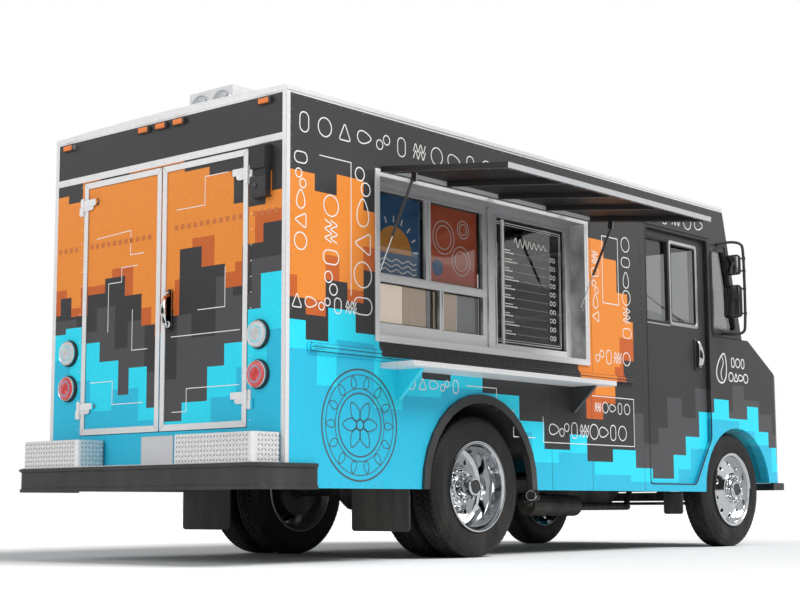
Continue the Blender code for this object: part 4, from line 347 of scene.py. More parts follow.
# ---------------------------------------------------------------- finishes
def wrap_colour(tree, place):
    """The livery outside; pale lining on faces that look inward from a side wall or from the rear.

    Two places behind the rear face have plain colours: the camera box is dark and the door hinges are light.
    """
    less = lambda value, limit: calc(tree, "LESS_THAN", value, limit)
    near = lambda value, middle, reach: calc(tree, "COMPARE", value, middle, reach)
    x, y, z = axes(tree, place.outputs["Object"])
    ahead, aside, _ = axes(tree, place.outputs["Normal"])
    out = calc(tree, "SUBTRACT", y, SHIFT[1])
    from_side = less(calc(tree, "MULTIPLY", aside, out), -0.6)
    from_rear = calc(tree, "MULTIPLY", calc(tree, "GREATER_THAN", ahead, 0.5), less(x, 0.060 + SHIFT[0]))
    inside = calc(tree, "MAXIMUM", from_side, from_rear)
    painted = mix(tree, inside, livery_colour(tree, place), LINING)
    box = both(tree, less(out, -0.88), near(z, 2.47, 0.27), less(x, -0.012 + SHIFT[0]))
    level = calc(tree, "MAXIMUM", near(z, HINGE_LEVELS[0], 0.06), near(z, HINGE_LEVELS[1], 0.06))
    hinge = both(tree, near(calc(tree, "ABSOLUTE", out), 0.79, 0.09), level, less(x, -0.0015 + SHIFT[0]))
    return mix(tree, box, mix(tree, hinge, painted, TRIM), rgb(46, 46, 47))


wrap = finish_of("wrapped_body", wrap_colour, 0.34, spread=0.08, dirt=0.05, bump=0.01, coat_weight=0.06,
                 specular_ior_level=0.28)
light_trim = finish_of("light_trim", TRIM, 0.42, metal=0.25, spread=0.15, grain=40, dirt=0.12)
alloy = finish_of("brushed_alloy", rgb(205, 207, 210), 0.32, metal=0.9, spread=0.2, grain=30, dirt=0.08,
                  stretch=(1, 1, 14))
tread_plate = finish_of("tread_plate", rgb(232, 232, 233), 0.34, metal=0.35, spread=0.15, dirt=0.08)
tread_mark = finish_of("tread_mark", rgb(128, 128, 130), 0.38, metal=0.5, spread=0.2, dirt=0.1)
chrome = finish_of("polished_chrome", rgb(196, 198, 200), 0.09, metal=1.0, spread=0.05, dirt=0.02, bump=0.0)
black_paint = finish_of("black_steel", rgb(40, 40, 42), 0.42, dirt=0.2)
bumper_rubber = finish_of("bumper_rubber", rgb(48, 48, 49), 0.5, spread=0.12, dirt=0.12, specular_ior_level=0.35)
flap_rubber = finish_of("flap_rubber", rgb(54, 54, 54), 0.6, dirt=0.2)
tyre_rubber = finish_of("tyre_rubber", rgb(22, 22, 23), 0.66, dirt=0.10, grain=200, bump=0.06, specular_ior_level=0.3)
chassis_paint = finish_of("chassis_paint", rgb(38, 37, 37), 0.55, dirt=0.35, bump=0.05)
kitchen_steel = finish_of("kitchen_steel", rgb(206, 200, 192), 0.34, metal=0.75, spread=0.2, dirt=0.05,
                          stretch=(14, 1, 1))
seat_cloth = finish_of("seat_cloth", rgb(58, 60, 66), 0.85, grain=400, bump=0.2, dirt=0.1)
dash_plastic = finish_of("dash_plastic", rgb(48, 48, 50), 0.6, grain=300, bump=0.12, dirt=0.1)


def make_glass(name, tint):
    """Clear pane: full transmission, faint smears in its roughness."""
    material = bpy.data.materials.new(name)
    material.use_nodes = True
    tree = material.node_tree
    shader = tree.nodes["Principled BSDF"]
    shader.inputs["Transmission Weight"].default_value = 1.0
    shader.inputs["IOR"].default_value = 1.45
    shader.inputs["Metallic"].default_value = 0.0
    place = node(tree, "TexCoord")
    smear = noise(tree, place.outputs["Object"], 3.0, 5.0)
    tree.links.new(mix(tree, smear, tint, tuple(min(1.0, value * 1.06) for value in tint[:3]) + (1.0,)),
                   shader.inputs["Base Color"])
    tree.links.new(ramp(tree, smear, 0.3, 0.9, 0.01, 0.05), shader.inputs["Roughness"])
    return material


window_glass = make_glass("window_glass", (0.46, 0.465, 0.465, 1.0))
hatch_glass = make_glass("hatch_glass", (0.84, 0.85, 0.85, 1.0))

# Black rubber for seals and rings; the same finish paints the dark shade lines in the rub rails' grooves and along
# the rear bumper.
rubber_seal_and_shade_line = finish_of("rubber_seal_and_shade_line", rgb(26, 26, 27), 0.5, dirt=0.1)
shadow_line = finish_of("shadow_line", rgb(110, 110, 112), 0.6, dirt=0.1)
plate_paint = finish_of("plate_paint", rgb(206, 206, 208), 0.35, dirt=0.1)


def make_lens(name, colour, glow):
    """Lamp lens: clear coat over a fine-grained colour that glows a little."""
    material = finish_of(name, colour, 0.16, spread=0.1, grain=90, dirt=0.03, bump=0.05, coat_weight=0.6)
    shader = material.node_tree.nodes["Principled BSDF"]
    shader.inputs["Emission Strength"].default_value = glow
    shader.inputs["Emission Color"].default_value = colour
    return material


amber_lens = make_lens("amber_lens", rgb(236, 128, 40), 0.10)
lamp_lens = {"clear": make_lens("clear_lens", rgb(196, 197, 199), 0.0),
             "red": make_lens("red_lens", rgb(196, 36, 40), 0.08)}

rivet_paint = finish_of("rivet_paint", rgb(120, 124, 128), 0.4, metal=0.2, dirt=0.1)
board_blue = finish_of("board_blue", rgb(24, 92, 140), 0.45, dirt=0.02)
board_orange = finish_of("board_orange", rgb(206, 84, 34), 0.45, dirt=0.02)
board_mustard = finish_of("board_mustard", rgb(214, 140, 40), 0.45, dirt=0.02)
board_white = finish_of("board_white", rgb(236, 234, 228), 0.45, dirt=0.02)
# Matt near-white for the rings over the rims' inner flanges: painted highlight where light catches the flange.
rim_edge_painted_highlight = finish_of("rim_edge_painted_highlight", rgb(236, 236, 236), 0.3, metal=0.2, dirt=0.03)
screen_grey = finish_of("screen_grey", rgb(164, 164, 164), 0.4, dirt=0.02)
# The cream and sand screens glow though they are no lamps: painted light of the lit kitchen behind the lower panes.
screen_cream_painted_glow = finish_of("screen_cream_painted_glow", rgb(246, 230, 214), 0.4, dirt=0.02, emission_color=rgb(246, 226, 206),
                         emission_strength=0.35)
screen_sand_painted_glow = finish_of("screen_sand_painted_glow", rgb(204, 184, 162), 0.4, dirt=0.02, emission_color=rgb(214, 190, 166),
                        emission_strength=0.15)
awning_alloy = finish_of("awning_alloy", rgb(70, 70, 72), 0.5, metal=0.3, dirt=0.05)


def awning_colour(tree, place):
    """Near-black under the awning, alloy on its edges and charcoal with an orange band on its top."""
    _, y, _ = axes(tree, place.outputs["Object"])
    ahead, _, rise = axes(tree, place.outputs["Normal"])
    band = calc(tree, "MULTIPLY", calc(tree, "GREATER_THAN", y, -1.25 + SHIFT[1]),
                calc(tree, "LESS_THAN", y, -1.22 + SHIFT[1]))
    face = mix(tree, calc(tree, "LESS_THAN", rise, 0.0), mix(tree, band, CHARCOAL, ORANGE_DEEP), rgb(20, 20, 21))
    edge = mix(tree, calc(tree, "LESS_THAN", ahead, -0.5), rgb(188, 189, 191), rgb(48, 47, 47))
    return mix(tree, calc(tree, "LESS_THAN", calc(tree, "ABSOLUTE", rise), 0.6), face, edge)


def shelf_colour(tree, place):
    """Light top and edges; the gussets and lower parts take the wall's colours."""
    _, _, z = axes(tree, place.outputs["Object"])
    return mix(tree, calc(tree, "LESS_THAN", z, 1.264), TRIM, livery_colour(tree, place))


def hatch_colour(tree, place):
    """Light trim on the wall; in the recess, metal painted lighter downwards and darker towards the top as painted
    shade of the awning, and a cloudy jamb whose light and dark patches are painted reflections.
    """
    _, y, z = axes(tree, place.outputs["Object"])
    ahead, _, _ = axes(tree, place.outputs["Normal"])
    # The jamb's cloudy light and dark patches are painted reflections on its metal.
    cloud = ramp(tree, noise(tree, place.outputs["Object"], 2.6, 4.0), 0.35, 0.65)
    jamb = mix(tree, cloud, rgb(110, 110, 111), rgb(226, 226, 227))
    # Painted shade of the awning: the recess metal runs from near white at the sill to grey at the top.
    frame = mix(tree, ramp(tree, z, 1.56, 2.45), rgb(250, 250, 250), rgb(160, 160, 162))
    inner = mix(tree, calc(tree, "LESS_THAN", ahead, -0.5), frame, jamb)
    return mix(tree, calc(tree, "GREATER_THAN", y, -1.180 + SHIFT[1]), TRIM, inner)


def roof_colour(tree, place):
    """Pale grey sheets with a thin dark seam every 0.92 m on top, light trim on the edge."""
    x, _, _ = axes(tree, place.outputs["Object"])
    _, _, rise = axes(tree, place.outputs["Normal"])
    seam = calc(tree, "LESS_THAN", calc(tree, "FRACT", calc(tree, "MULTIPLY", x, 1.087)), 0.008)
    sheets = mix(tree, seam, rgb(176, 177, 179), rgb(104, 105, 107))
    return mix(tree, calc(tree, "GREATER_THAN", rise, 0.8), TRIM, sheets)


def bulkhead_colour(tree, place):
    """Dark lining with light board shelves."""
    x, _, _ = axes(tree, place.outputs["Object"])
    return mix(tree, calc(tree, "LESS_THAN", x, 3.948 + SHIFT[0]), rgb(62, 62, 64), rgb(214, 214, 212))


awning_skin = finish_of("awning_skin", awning_colour, 0.45, dirt=0.03, specular_ior_level=0.15)
shelf_skin = finish_of("shelf_skin", shelf_colour, 0.38, dirt=0.06)
hatch_skin = finish_of("hatch_skin", hatch_colour, 0.40, metal=0.3, dirt=0.08)
roof_skin = finish_of("roof_skin", roof_colour, 0.5, dirt=0.12, grain=30)
bulkhead_skin = finish_of("bulkhead_skin", bulkhead_colour, 0.55, dirt=0.06)
line_white = finish_of("line_white", rgb(232, 231, 228), 0.4, dirt=0.02)
line_charcoal = finish_of("line_charcoal", rgb(74, 86, 92), 0.4, dirt=0.02)
line_orange = finish_of("line_orange", rgb(196, 108, 52), 0.4, dirt=0.02)
mirror_silver = finish_of("mirror_silver", rgb(150, 153, 156), 0.12, metal=1.0, spread=0.05, dirt=0.03)

# ---------------------------------------------------------------- finishes of the CAD nodes
# A name that ends in * stands for its right and left pieces, one that ends in + for the rear and front ones.
NODE_FINISH = {
    wrap: "right_wall left_wall rear_frame rear_door_* cab_shell nose hood cab_door_*",
    awning_skin: "awning",
    roof_skin: "roof roof_unit",
    shelf_skin: "serving_shelf",
    hatch_skin: "serving_hatch",
    black_paint: "rear_arch_flare_* mirror_* gas_strut_tube_+ front_bumper",
    bumper_rubber: "rear_bumper",
    flap_rubber: "mud_flaps_rear mud_flap_front_*",
    tread_plate: "rear_steps",
    chrome: "rim_front_* rim_rear_* gas_strut_rod_+",
    tyre_rubber: "tyre_front_* tyre_rear_outer_* tyre_rear_inner_*",
    chassis_paint: "floor chassis_frame rear_axle front_axle steering_knuckle_* tie_rod drive_shaft engine_block "
                   "exhaust_pipe fuel_tank",
    kitchen_steel: "kitchen_cabinets serving_counter",
    bulkhead_skin: "bulkhead",
    dash_plastic: "dash",
    seat_cloth: "driver_seat",
    window_glass: "cab_glass cab_door_glass_*",
    hatch_glass: "serving_glass",
}
for material, names in NODE_FINISH.items():
    for name in names.split():
        ends = {"*": ("right", "left"), "+": ("rear", "front")}.get(name[-1], (name[-1],))
        for end in ends:
            for held in frame["nodes"][name[:-1] + end].material_slots:
                held.material = material


# ---------------------------------------------------------------- shapes
class Face:
    """A flat side of the truck: u and v lie in it and w stands out of it."""

    def __init__(self, origin, across, up):
        self.origin, self.across, self.up = (np.array(value, float) for value in (origin, across, up))
        self.out = np.cross(self.across, self.up)

    def __call__(self, flat, w):
        """Places of flat (u, v) points at height w over the face."""
        flat = np.asarray(flat, float)
        w = np.broadcast_to(np.asarray(w, float), flat.shape[:-1])
        return self.origin + flat[..., :1] * self.across + flat[..., 1:2] * self.up + w[..., None] * self.out


RIGHT = Face(at(0, -HALF, 0), (1, 0, 0), (0, 0, 1))
LEFT = Face(at(0, HALF, 0), (-1, 0, 0), (0, 0, 1))
REAR = Face(at(0, 0, 0), (0, -1, 0), (0, 0, 1))
SIDES = ((-1, "right"), (1, "left"))
FLANKS = ((RIGHT, "right"), (LEFT, "left"))


def loft(rings, closed_rows=False, caps=True):
    """Quads between equal rings of points, rows x around; the end rings are closed by one face each."""
    rings = np.asarray(rings, float)
    rows, around = rings.shape[:2]
    last = rows if closed_rows else rows - 1
    row, column = np.meshgrid(np.arange(last), np.arange(around), indexing="ij")
    here, there = row * around, ((row + 1) % rows) * around
    after = (column + 1) % around
    faces = np.stack([here + column, here + after, there + after, there + column], -1).reshape(-1, 4).tolist()
    if caps and not closed_rows:
        faces += [list(range(around))[::-1], [(rows - 1) * around + i for i in range(around)]]
    return rings.reshape(-1, 3), faces


def offset(outline, distance):
    """A closed flat outline moved inwards by a distance along its corners' middle lines."""
    outline = np.asarray(outline, float)
    before = outline - np.roll(outline, 1, 0)
    after = np.roll(outline, -1, 0) - outline
    unit = lambda edge: edge / np.maximum(np.linalg.norm(edge, axis=1, keepdims=True), 1e-9)
    inward = lambda edge: pairs(-edge[:, 1], edge[:, 0])
    first, second = inward(unit(before)), inward(unit(after))
    middle = first + second
    middle /= np.maximum((middle * middle).sum(1, keepdims=True), 1e-9) / 2
    return outline + middle * distance


def rounded(u_low, v_low, u_high, v_high, radius, steps=5):
    """A rectangle with round corners, anticlockwise."""
    turns = np.linspace(0, np.pi / 2, steps)
    corners = [((u_high - radius, v_low + radius), -np.pi / 2), ((u_high - radius, v_high - radius), 0),
               ((u_low + radius, v_high - radius), np.pi / 2), ((u_low + radius, v_low + radius), np.pi)]
    return np.concatenate([pairs(centre[0] + radius * np.cos(start + turns),
                                 centre[1] + radius * np.sin(start + turns)) for centre, start in corners])


def outline_of(given):
    """An outline from its points, or from a tuple with the numbers of a rounded rectangle."""
    return rounded(*given) if isinstance(given, tuple) else given


def pairs(u, v):
    """Flat points from their two coordinates, either of which may be one number for all of them."""
    return np.stack(np.broadcast_arrays(u, v), 1)


def circle(u, v, radius, steps):
    """Flat points evenly round a middle."""
    angle = np.linspace(0, 2 * np.pi, steps, endpoint=False)
    return pairs(u + radius * np.cos(angle), v + radius * np.sin(angle))


def plate(face, outline, low, high, bevel=0.002):
    """A flat plate on a face with a bevelled upper edge."""
    outline = outline_of(outline)
    return loft([face(outline, low), face(outline, high - bevel), face(offset(outline, bevel), high)])


def window_frame(face, outer, inner, low, high, bevel=0.002):
    """A ring between two outlines of equal length, bevelled on both upper edges."""
    outer, inner = outline_of(outer), outline_of(inner)
    return loft([face(outer, low), face(outer, high - bevel), face(offset(outer, bevel), high),
                 face(offset(inner, -bevel), high), face(inner, high - bevel), face(inner, low)], closed_rows=True)


def turned(profile, centre, axis, around=32, phase=0.0):
    """A profile of (radius, distance along the axis) carried round the axis; its ends are closed."""
    profile = np.asarray(profile, float)
    axis = np.asarray(axis, float) / np.linalg.norm(axis)
    side = np.cross(axis, (0, 0, 1) if abs(axis[2]) < 0.9 else (1, 0, 0))
    side /= np.linalg.norm(side)
    other = np.cross(axis, side)
    angle = phase + np.linspace(0, 2 * np.pi, around, endpoint=False)
    spoke = np.cos(angle)[:, None] * side + np.sin(angle)[:, None] * other
    return loft(np.asarray(centre) + profile[:, :1, None] * spoke + profile[:, 1:2, None] * axis)


def swept(path, radius, around=10, closed=False):
    """A round bar along a path: circles square to its line, each turned on from the last one."""
    path = np.asarray(path, float)
    ahead = np.roll(path, -1, 0) - path if closed else np.gradient(path, axis=0)
    if closed:
        ahead = ahead + path - np.roll(path, 1, 0)
    ahead /= np.linalg.norm(ahead, axis=1, keepdims=True)
    side = np.cross(ahead[0], (0, 0, 1) if abs(ahead[0][2]) < 0.9 else (1, 0, 0))
    rings = []
    angle = np.linspace(0, 2 * np.pi, around, endpoint=False)
    for place, line in zip(path, ahead):
        side = side - line * (side @ line)
        side /= np.linalg.norm(side)
        other = np.cross(line, side)
        rings.append(place + radius * (np.cos(angle)[:, None] * side + np.sin(angle)[:, None] * other))
    return loft(rings, closed_rows=closed)


def repeated(shape, places):
    """One small shape set at many places, as arrays."""
    points, faces = shape
    places = np.asarray(places, float)
    count = len(points)
    spread = (places[:, None, :] + points[None]).reshape(-1, 3)
    return spread, [[corner + count * index for corner in face] for index in range(len(places)) for face in faces]


def stud(out, radius, height, around=8):
    """A low round head that stands out of a face: (radius, height) profile of a spherical cap."""
    return turned([(radius, -0.0004), (radius * 0.86, height * 0.55), (radius * 0.45, height * 0.93), (0, height)],
                  (0, 0, 0), out, around)


def make(name, shapes, material, body="truck", smooth="edges", replaces=None):
    """One piece from shapes, riding on its body; normals are turned outward."""
    points, faces, start = [], [], 0
    for shape_points, shape_faces in shapes:
        points.append(shape_points)
        faces += [[corner + start for corner in face] for face in shape_faces]
        start += len(shape_points)
    mesh = bpy.data.meshes.new(name)
    mesh.from_pydata(np.concatenate(points).tolist(), [], faces)
    tidy = bmesh.new()
    tidy.from_mesh(mesh)
    bmesh.ops.remove_doubles(tidy, verts=tidy.verts, dist=1e-6)
    bmesh.ops.recalc_face_normals(tidy, faces=tidy.faces)
    tidy.to_mesh(mesh)
    tidy.free()
    mesh.polygons.foreach_set("use_smooth", np.full(len(mesh.polygons), bool(smooth)))
    made = bpy.data.objects.new(name, mesh)
    bpy.context.collection.objects.link(made)
    mesh.materials.append(material)
    if smooth == "edges":
        mesh.set_sharp_from_angle(angle=0.6)
    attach(made, body)
    if replaces:
        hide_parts(replaces)
    return made


def line_of(start, end, spacing):
    """Evenly spaced places from start to end."""
    start, end = np.asarray(start, float), np.asarray(end, float)
    count = max(2, int(round(np.linalg.norm(end - start) / spacing)) + 1)
    return start + np.linspace(0, 1, count)[:, None] * (end - start)


# ---------------------------------------------------------------- rear face: trims, lamps, hinges, handle
TRIM_PROUD = 0.003
CORNER_WIDTH = 0.034
TOP_TRIM_LOW = 2.972
MID_RAIL = (2.655, 2.702)
DOOR_LOW, DOOR_HIGH, DOOR_EDGE, DOOR_MIDDLE = 0.858, 2.643, 0.835, 0.004
DOOR_FRAME = 0.042
LAMPS = [("clear_lamp_right", -0.946, 1.435, "clear"), ("red_lamp_right", -0.946, 1.183, "red"),
         ("clear_lamp_left", 0.970, 1.440, "clear"), ("red_lamp_left", 0.970, 1.190, "red")]


def rear_trims():
    """Corner angles, top and middle rails and rivets of the rear face."""
    corners = []
    for side in (-1, 1):
        low_u, high_u = sorted((side * (HALF + 0.0025), side * (HALF - CORNER_WIDTH)))
        corners.append(plate(REAR, (low_u, 0.480, high_u, ROOF_TOP - 0.012, 0.006), -0.001, TRIM_PROUD))
    for face in (RIGHT, LEFT):
        start = 0.0 if face is RIGHT else -CORNER_WIDTH
        corners.append(plate(face, (start - 0.0025 * (face is RIGHT), 0.480, start + CORNER_WIDTH, ROOF_TOP - 0.045,
                                    0.004), -0.001, TRIM_PROUD))
    top = plate(REAR, (-HALF - 0.002, TOP_TRIM_LOW, HALF + 0.002, ROOF_TOP + 0.001, 0.016), -0.001,
                TRIM_PROUD + 0.003)
    middle = plate(REAR, (-HALF + 0.03, MID_RAIL[0], HALF - 0.03, MID_RAIL[1], 0.003), -0.001, TRIM_PROUD + 0.002)
    up = lambda x, y, low, high, spacing: line_of(at(x, y, low), at(x, y, high), spacing)
    heads = [up(-TRIM_PROUD, side * (HALF - 0.017), 0.55, 2.95, 0.12) for side in (-1, 1)]
    heads += [up(0, side * (DOOR_EDGE + 0.03), 0.90, 2.62, 0.10) for side in (-1, 1)]
    rivets = repeated(stud((-1, 0, 0), 0.0045, 0.0022), np.concatenate(heads))
    make("rear_corner_trims", corners + [top, middle, rivets], light_trim)


def door_frame(side):
    """Light frame round one rear door, in four mitred bars."""
    low_u, high_u = sorted((side * DOOR_MIDDLE * 1.5, side * DOOR_EDGE))
    outer = rounded(low_u, DOOR_LOW, high_u, DOOR_HIGH, 0.004)
    inner = rounded(low_u + DOOR_FRAME, DOOR_LOW + DOOR_FRAME, high_u - DOOR_FRAME, DOOR_HIGH - DOOR_FRAME, 0.004)
    name = "right" if side > 0 else "left"
    seams = []
    for u, v in ((low_u, DOOR_LOW), (high_u, DOOR_LOW), (low_u, DOOR_HIGH), (high_u, DOOR_HIGH)):
        toward = np.array([1 if u == low_u else -1, 1 if v == DOOR_LOW else -1]) * DOOR_FRAME
        seams.append(swept([REAR((u, v), TRIM_PROUD + 0.0018), REAR(np.array((u, v)) + toward, TRIM_PROUD + 0.0018)],
                           0.0012, 6))
    make("rear_door_frame_" + name, [window_frame(REAR, outer, inner, -0.004, TRIM_PROUD + 0.002)], light_trim,
         "rear_door_" + name)
    make("rear_door_mitres_" + name, seams, shadow_line, "rear_door_" + name, smooth=False)


def round_lamp(name, y, z, lens):
    """Rubber ring, bright bezel and a fluted lens.

    At the share s of its radius the lens stands 0.030 + 0.014 sqrt(1 - 0.96 s^2) out, plus 28 flutes cos(28 a).
    """
    centre = at(-0.001, y, z)
    out = np.array([-1.0, 0, 0])
    make(name + "_ring", [turned([(0.094, 0), (0.094, 0.012), (0.088, 0.022), (0.080, 0.024), (0.078, 0.006)],
                                 centre, out, 48)], rubber_seal_and_shade_line)
    angle = np.linspace(0, 2 * np.pi, 168, endpoint=False)
    share = np.linspace(1, 0.02, 22)[:, None]
    height = 0.030 + 0.014 * np.sqrt(1 - 0.96 * share ** 2)
    flutes = 0.0011 * np.cos(28 * angle) * (share > 0.12) * np.sin(np.pi * np.clip(share * 1.05, 0, 1)) ** 0.3
    rows = np.stack([np.broadcast_to(-(height + flutes), (22, 168)), 0.079 * share * np.cos(angle),
                     0.079 * share * np.sin(angle)], -1)
    back = rows[:1].copy()
    back[..., 0] = -0.004
    make(name + "_lens", [loft(np.concatenate([back, rows]) + centre)], lamp_lens[lens], smooth=True)
    make(name + "_bezel", [turned([(0.086, 0.018), (0.086, 0.030), (0.082, 0.034), (0.0785, 0.031), (0.0785, 0.016)],
                                  centre, out, 64)], chrome)


def marker_lamp(name, centre, across):
    """A small amber lamp: base and a lens with seven ribs, on a face whose u runs across."""
    face = Face(centre, across, (0, 0, 1))
    make(name + "_base", [plate(face, (-0.052, -0.021, 0.052, 0.021, 0.010), -0.002, 0.007, 0.003)], rubber_seal_and_shade_line)
    ribs = [plate(face, (-0.047 + 0.0134 * i, -0.0172, -0.0345 + 0.0134 * i, 0.0172, 0.004), 0.006, 0.0265, 0.005)
            for i in range(7)]
    make(name, [plate(face, (-0.047, -0.0165, 0.047, 0.0165, 0.008), 0.005, 0.0235, 0.006)] + ribs, amber_lens)


def door_hinge(name, side, z, body):
    """A leaf on the frame, a strap with a round end on the door, a knuckled barrel and seven bolt heads."""
    u = side * (DOOR_EDGE + 0.006)
    turns = np.linspace(-np.pi / 2, np.pi / 2, 9)
    nose_end = [(u - side * (0.085 + 0.026 * np.cos(t)), z + 0.026 * np.sin(t)) for t in turns]
    outline = np.array([(u, z - 0.026)] + nose_end + [(u, z + 0.026)])
    if side > 0:
        outline = outline[::-1]
    bolts = repeated(stud((-1, 0, 0), 0.0065, 0.005, 10),
                     [REAR((u - side * reach, z), 0.0115) for reach in (0.030, 0.060, 0.090)])
    make(name + "_strap", [plate(REAR, outline, 0.002, 0.012, 0.003), bolts], light_trim, body)
    low_u, high_u = sorted((u + side * 0.008, u + side * 0.036))
    leaf = plate(REAR, (low_u, z - 0.062, high_u, z + 0.062, 0.005), -0.001, 0.008)
    barrel = [(0, 0), (0.0118, 0), (0.0125, 0.002), (0.0125, 0.0205), (0.0118, 0.0225), (0, 0.0225)]
    knuckles = [turned(barrel, at(-0.014, -u, z - 0.060 + i * 0.0245), (0, 0, 1), 20) for i in range(5)]
    studs = repeated(stud((-1, 0, 0), 0.0055, 0.004, 10),
                     [REAR((u + side * 0.024, z + step), 0.0075) for step in (-0.045, -0.015, 0.015, 0.045)])
    make(name + "_leaf", [leaf, studs] + knuckles, light_trim)


def rear_handle():
    """Black plate and a bright lever that widens to a hand grip, held by a round boss."""
    y = 0.093
    make("rear_handle_plate", [plate(REAR, (y - 0.030, 1.520, y + 0.030, 1.800, 0.028), 0.001, 0.012, 0.004)],
         black_paint, "rear_door_right")
    along = np.linspace(0, 1, 26)
    half = 0.011 + 0.014 * np.sin(np.pi * np.clip(along * 1.15, 0, 1)) ** 0.8
    lift = 0.020 + 0.040 * np.sin(np.pi * along) ** 0.6
    angle = np.linspace(0, 2 * np.pi, 20, endpoint=False)
    rings = [REAR(pairs(y - 0.004 + width * np.cos(angle), 1.545 + 0.235 * share),
                  up + 0.008 * np.sin(angle)) for share, width, up in zip(along, half, lift)]
    boss = turned([(0, 0.004), (0.024, 0.004), (0.024, 0.018), (0.018, 0.026), (0, 0.027)], at(0, -y, 1.562),
                  (-1, 0, 0), 28)
    top = turned([(0, 0.004), (0.013, 0.004), (0.013, 0.020), (0, 0.022)], at(0, -y, 1.770), (-1, 0, 0), 20)
    make("rear_handle", [loft(rings), boss, top], chrome, "rear_door_right")


def rear_box():
    """Two-part black camera box with a neck and a round button, under the middle rail at the right."""
    upper = plate(REAR, (0.930, 2.462, 1.052, 2.640, 0.012), 0.0, 0.058, 0.012)
    lower = plate(REAR, (0.905, 2.300, 1.050, 2.440, 0.014), 0.0, 0.072, 0.014)
    neck = plate(REAR, (0.975, 2.430, 1.010, 2.470, 0.004), 0.0, 0.030, 0.004)
    button = turned([(0, 0.066), (0.020, 0.066), (0.020, 0.076), (0.014, 0.080), (0, 0.080)], at(0, -0.965, 2.370),
                    (-1, 0, 0), 24)
    make("rear_camera_box", [upper, lower, neck, button], black_paint)


rear_trims()
for side in (-1, 1):
    door_frame(side)
for label, y, z, lens in LAMPS:
    round_lamp(label, y, z, lens)
for index, y in enumerate((1.019, 0.190, 0.010, -0.170, -0.990)):
    marker_lamp("rear_marker_%d" % (index + 1), at(-0.004, y, 2.9285), (0, -1, 0))
for side, label in ((1, "right"), (-1, "left")):
    for z, height in zip(HINGE_LEVELS, ("low", "high")):
        door_hinge("rear_hinge_%s_%s" % (label, height), side, z, "rear_door_" + label)
rear_handle()
rear_box()


# ---------------------------------------------------------------- tread plate steps and number plate
def lozenges(face, u_low, u_high, v_low, v_high):
    """Raised lozenges in two crossed directions that take turns on a square grid."""
    length, width, height, pitch = 0.029, 0.0095, 0.0022, 0.029
    columns = np.arange(u_low + 0.018, u_high - 0.012, pitch)
    rows = np.arange(v_low + 0.018, v_high - 0.012, pitch)
    shapes = []
    for turn, angle in enumerate(np.radians((-45, 45))):
        along = np.array([np.cos(angle), np.sin(angle)])
        across = np.array([-along[1], along[0]])
        base = np.array([along * length / 2, across * width / 2, -along * length / 2, -across * width / 2])
        unit = loft([face(base, -0.0005) - face.origin, face(base * 0.55, height) - face.origin])
        spots = [(u, v) for i, u in enumerate(columns) for j, v in enumerate(rows) if (i + j) % 2 == turn]
        shapes.append(repeated(unit, face(spots, 0.0)))
    return shapes


def step_plates():
    """Raised tread on the back, the top and both sides of the two steps."""
    back, front, low, top = -0.245, -0.004, 0.630, 0.815
    tall, shapes = top - 0.004, []
    for y_low, y_high in ((0.550, 1.150), (-1.150, -0.420)):
        for face, *edges in (
                (Face(at(back, 0, 0), (0, -1, 0), (0, 0, 1)), -y_high + 0.02, -y_low - 0.02, low, tall),
                (Face(at(0, 0, top), (1, 0, 0), (0, 1, 0)), back + 0.02, front, y_low + 0.02, y_high - 0.02),
                (Face(at(0, y_low, 0), (1, 0, 0), (0, 0, 1)), back + 0.03, front - 0.005, low, tall),
                (Face(at(0, y_high, 0), (-1, 0, 0), (0, 0, 1)), -front + 0.005, -back - 0.03, low, tall)):
            shapes += lozenges(face, *edges)
    make("step_tread", shapes, tread_mark, smooth=False)


def number_plate():
    """A blank plate with a pressed rim, on the rear face between the steps."""
    outer = rounded(-0.170, 0.640, 0.150, 0.828, 0.012)
    make("number_plate_rear", [plate(REAR, outer, 0.0005, 0.005, 0.0015),
                               window_frame(REAR, outer, offset(outer, 0.007), 0.004, 0.0075, 0.001)], plate_paint,
         smooth=False)


step_plates()
number_plate()


# ---------------------------------------------------------------- wheels
TYRE_RADIUS = 0.497
TYRE_HALF = 0.1175
WHEEL_FACE = 1.138
WHEEL_Y = WHEEL_FACE - TYRE_HALF
INNER_WHEEL_Y = WHEEL_Y - 0.285
PITCHES = 72
FRONT_DISC = [(0.130, 1.140), (0.146, 1.139), (0.158, 1.130), (0.185, 1.119), (0.215, 1.107), (0.245, 1.094),
              (0.262, 1.087), (0.280, 1.083)]
REAR_DISC = [(0.130, 0.976), (0.142, 0.974), (0.150, 0.950), (0.165, 0.932), (0.190, 0.923), (0.225, 0.919),
             (0.252, 0.921), (0.280, 0.938)]
FRONT_RIM = [(0.270, 1.079), (0.281, 1.083), (0.287, 1.100), (0.291, 1.126), (0.296, 1.138), (0.303, 1.1445),
             (0.312, 1.1465), (0.3195, 1.143), (0.3215, 1.134), (0.317, 1.1265), (0.299, 1.116), (0.299, 0.925),
             (0.317, 0.9155), (0.3185, 0.900), (0.290, 0.920), (0.276, 1.050)]
REAR_RIM = [(0.268, 0.926), (0.280, 0.938), (0.286, 0.975), (0.281, 1.020), (0.282, 1.050), (0.290, 1.075),
            (0.291, 1.110), (0.297, 1.132), (0.304, 1.1405), (0.312, 1.142), (0.3195, 1.139), (0.3215, 1.131),
            (0.317, 1.1265), (0.299, 1.116), (0.299, 0.925), (0.317, 0.9155), (0.3165, 0.906), (0.288, 0.890),
            (0.274, 0.905)]
INNER_RIM = [(0.288, 0.880), (0.3165, 0.866), (0.3165, 0.842), (0.299, 0.831), (0.299, 0.640), (0.317, 0.6305),
             (0.3185, 0.616), (0.284, 0.650), (0.270, 0.800), (0.262, 0.850)]


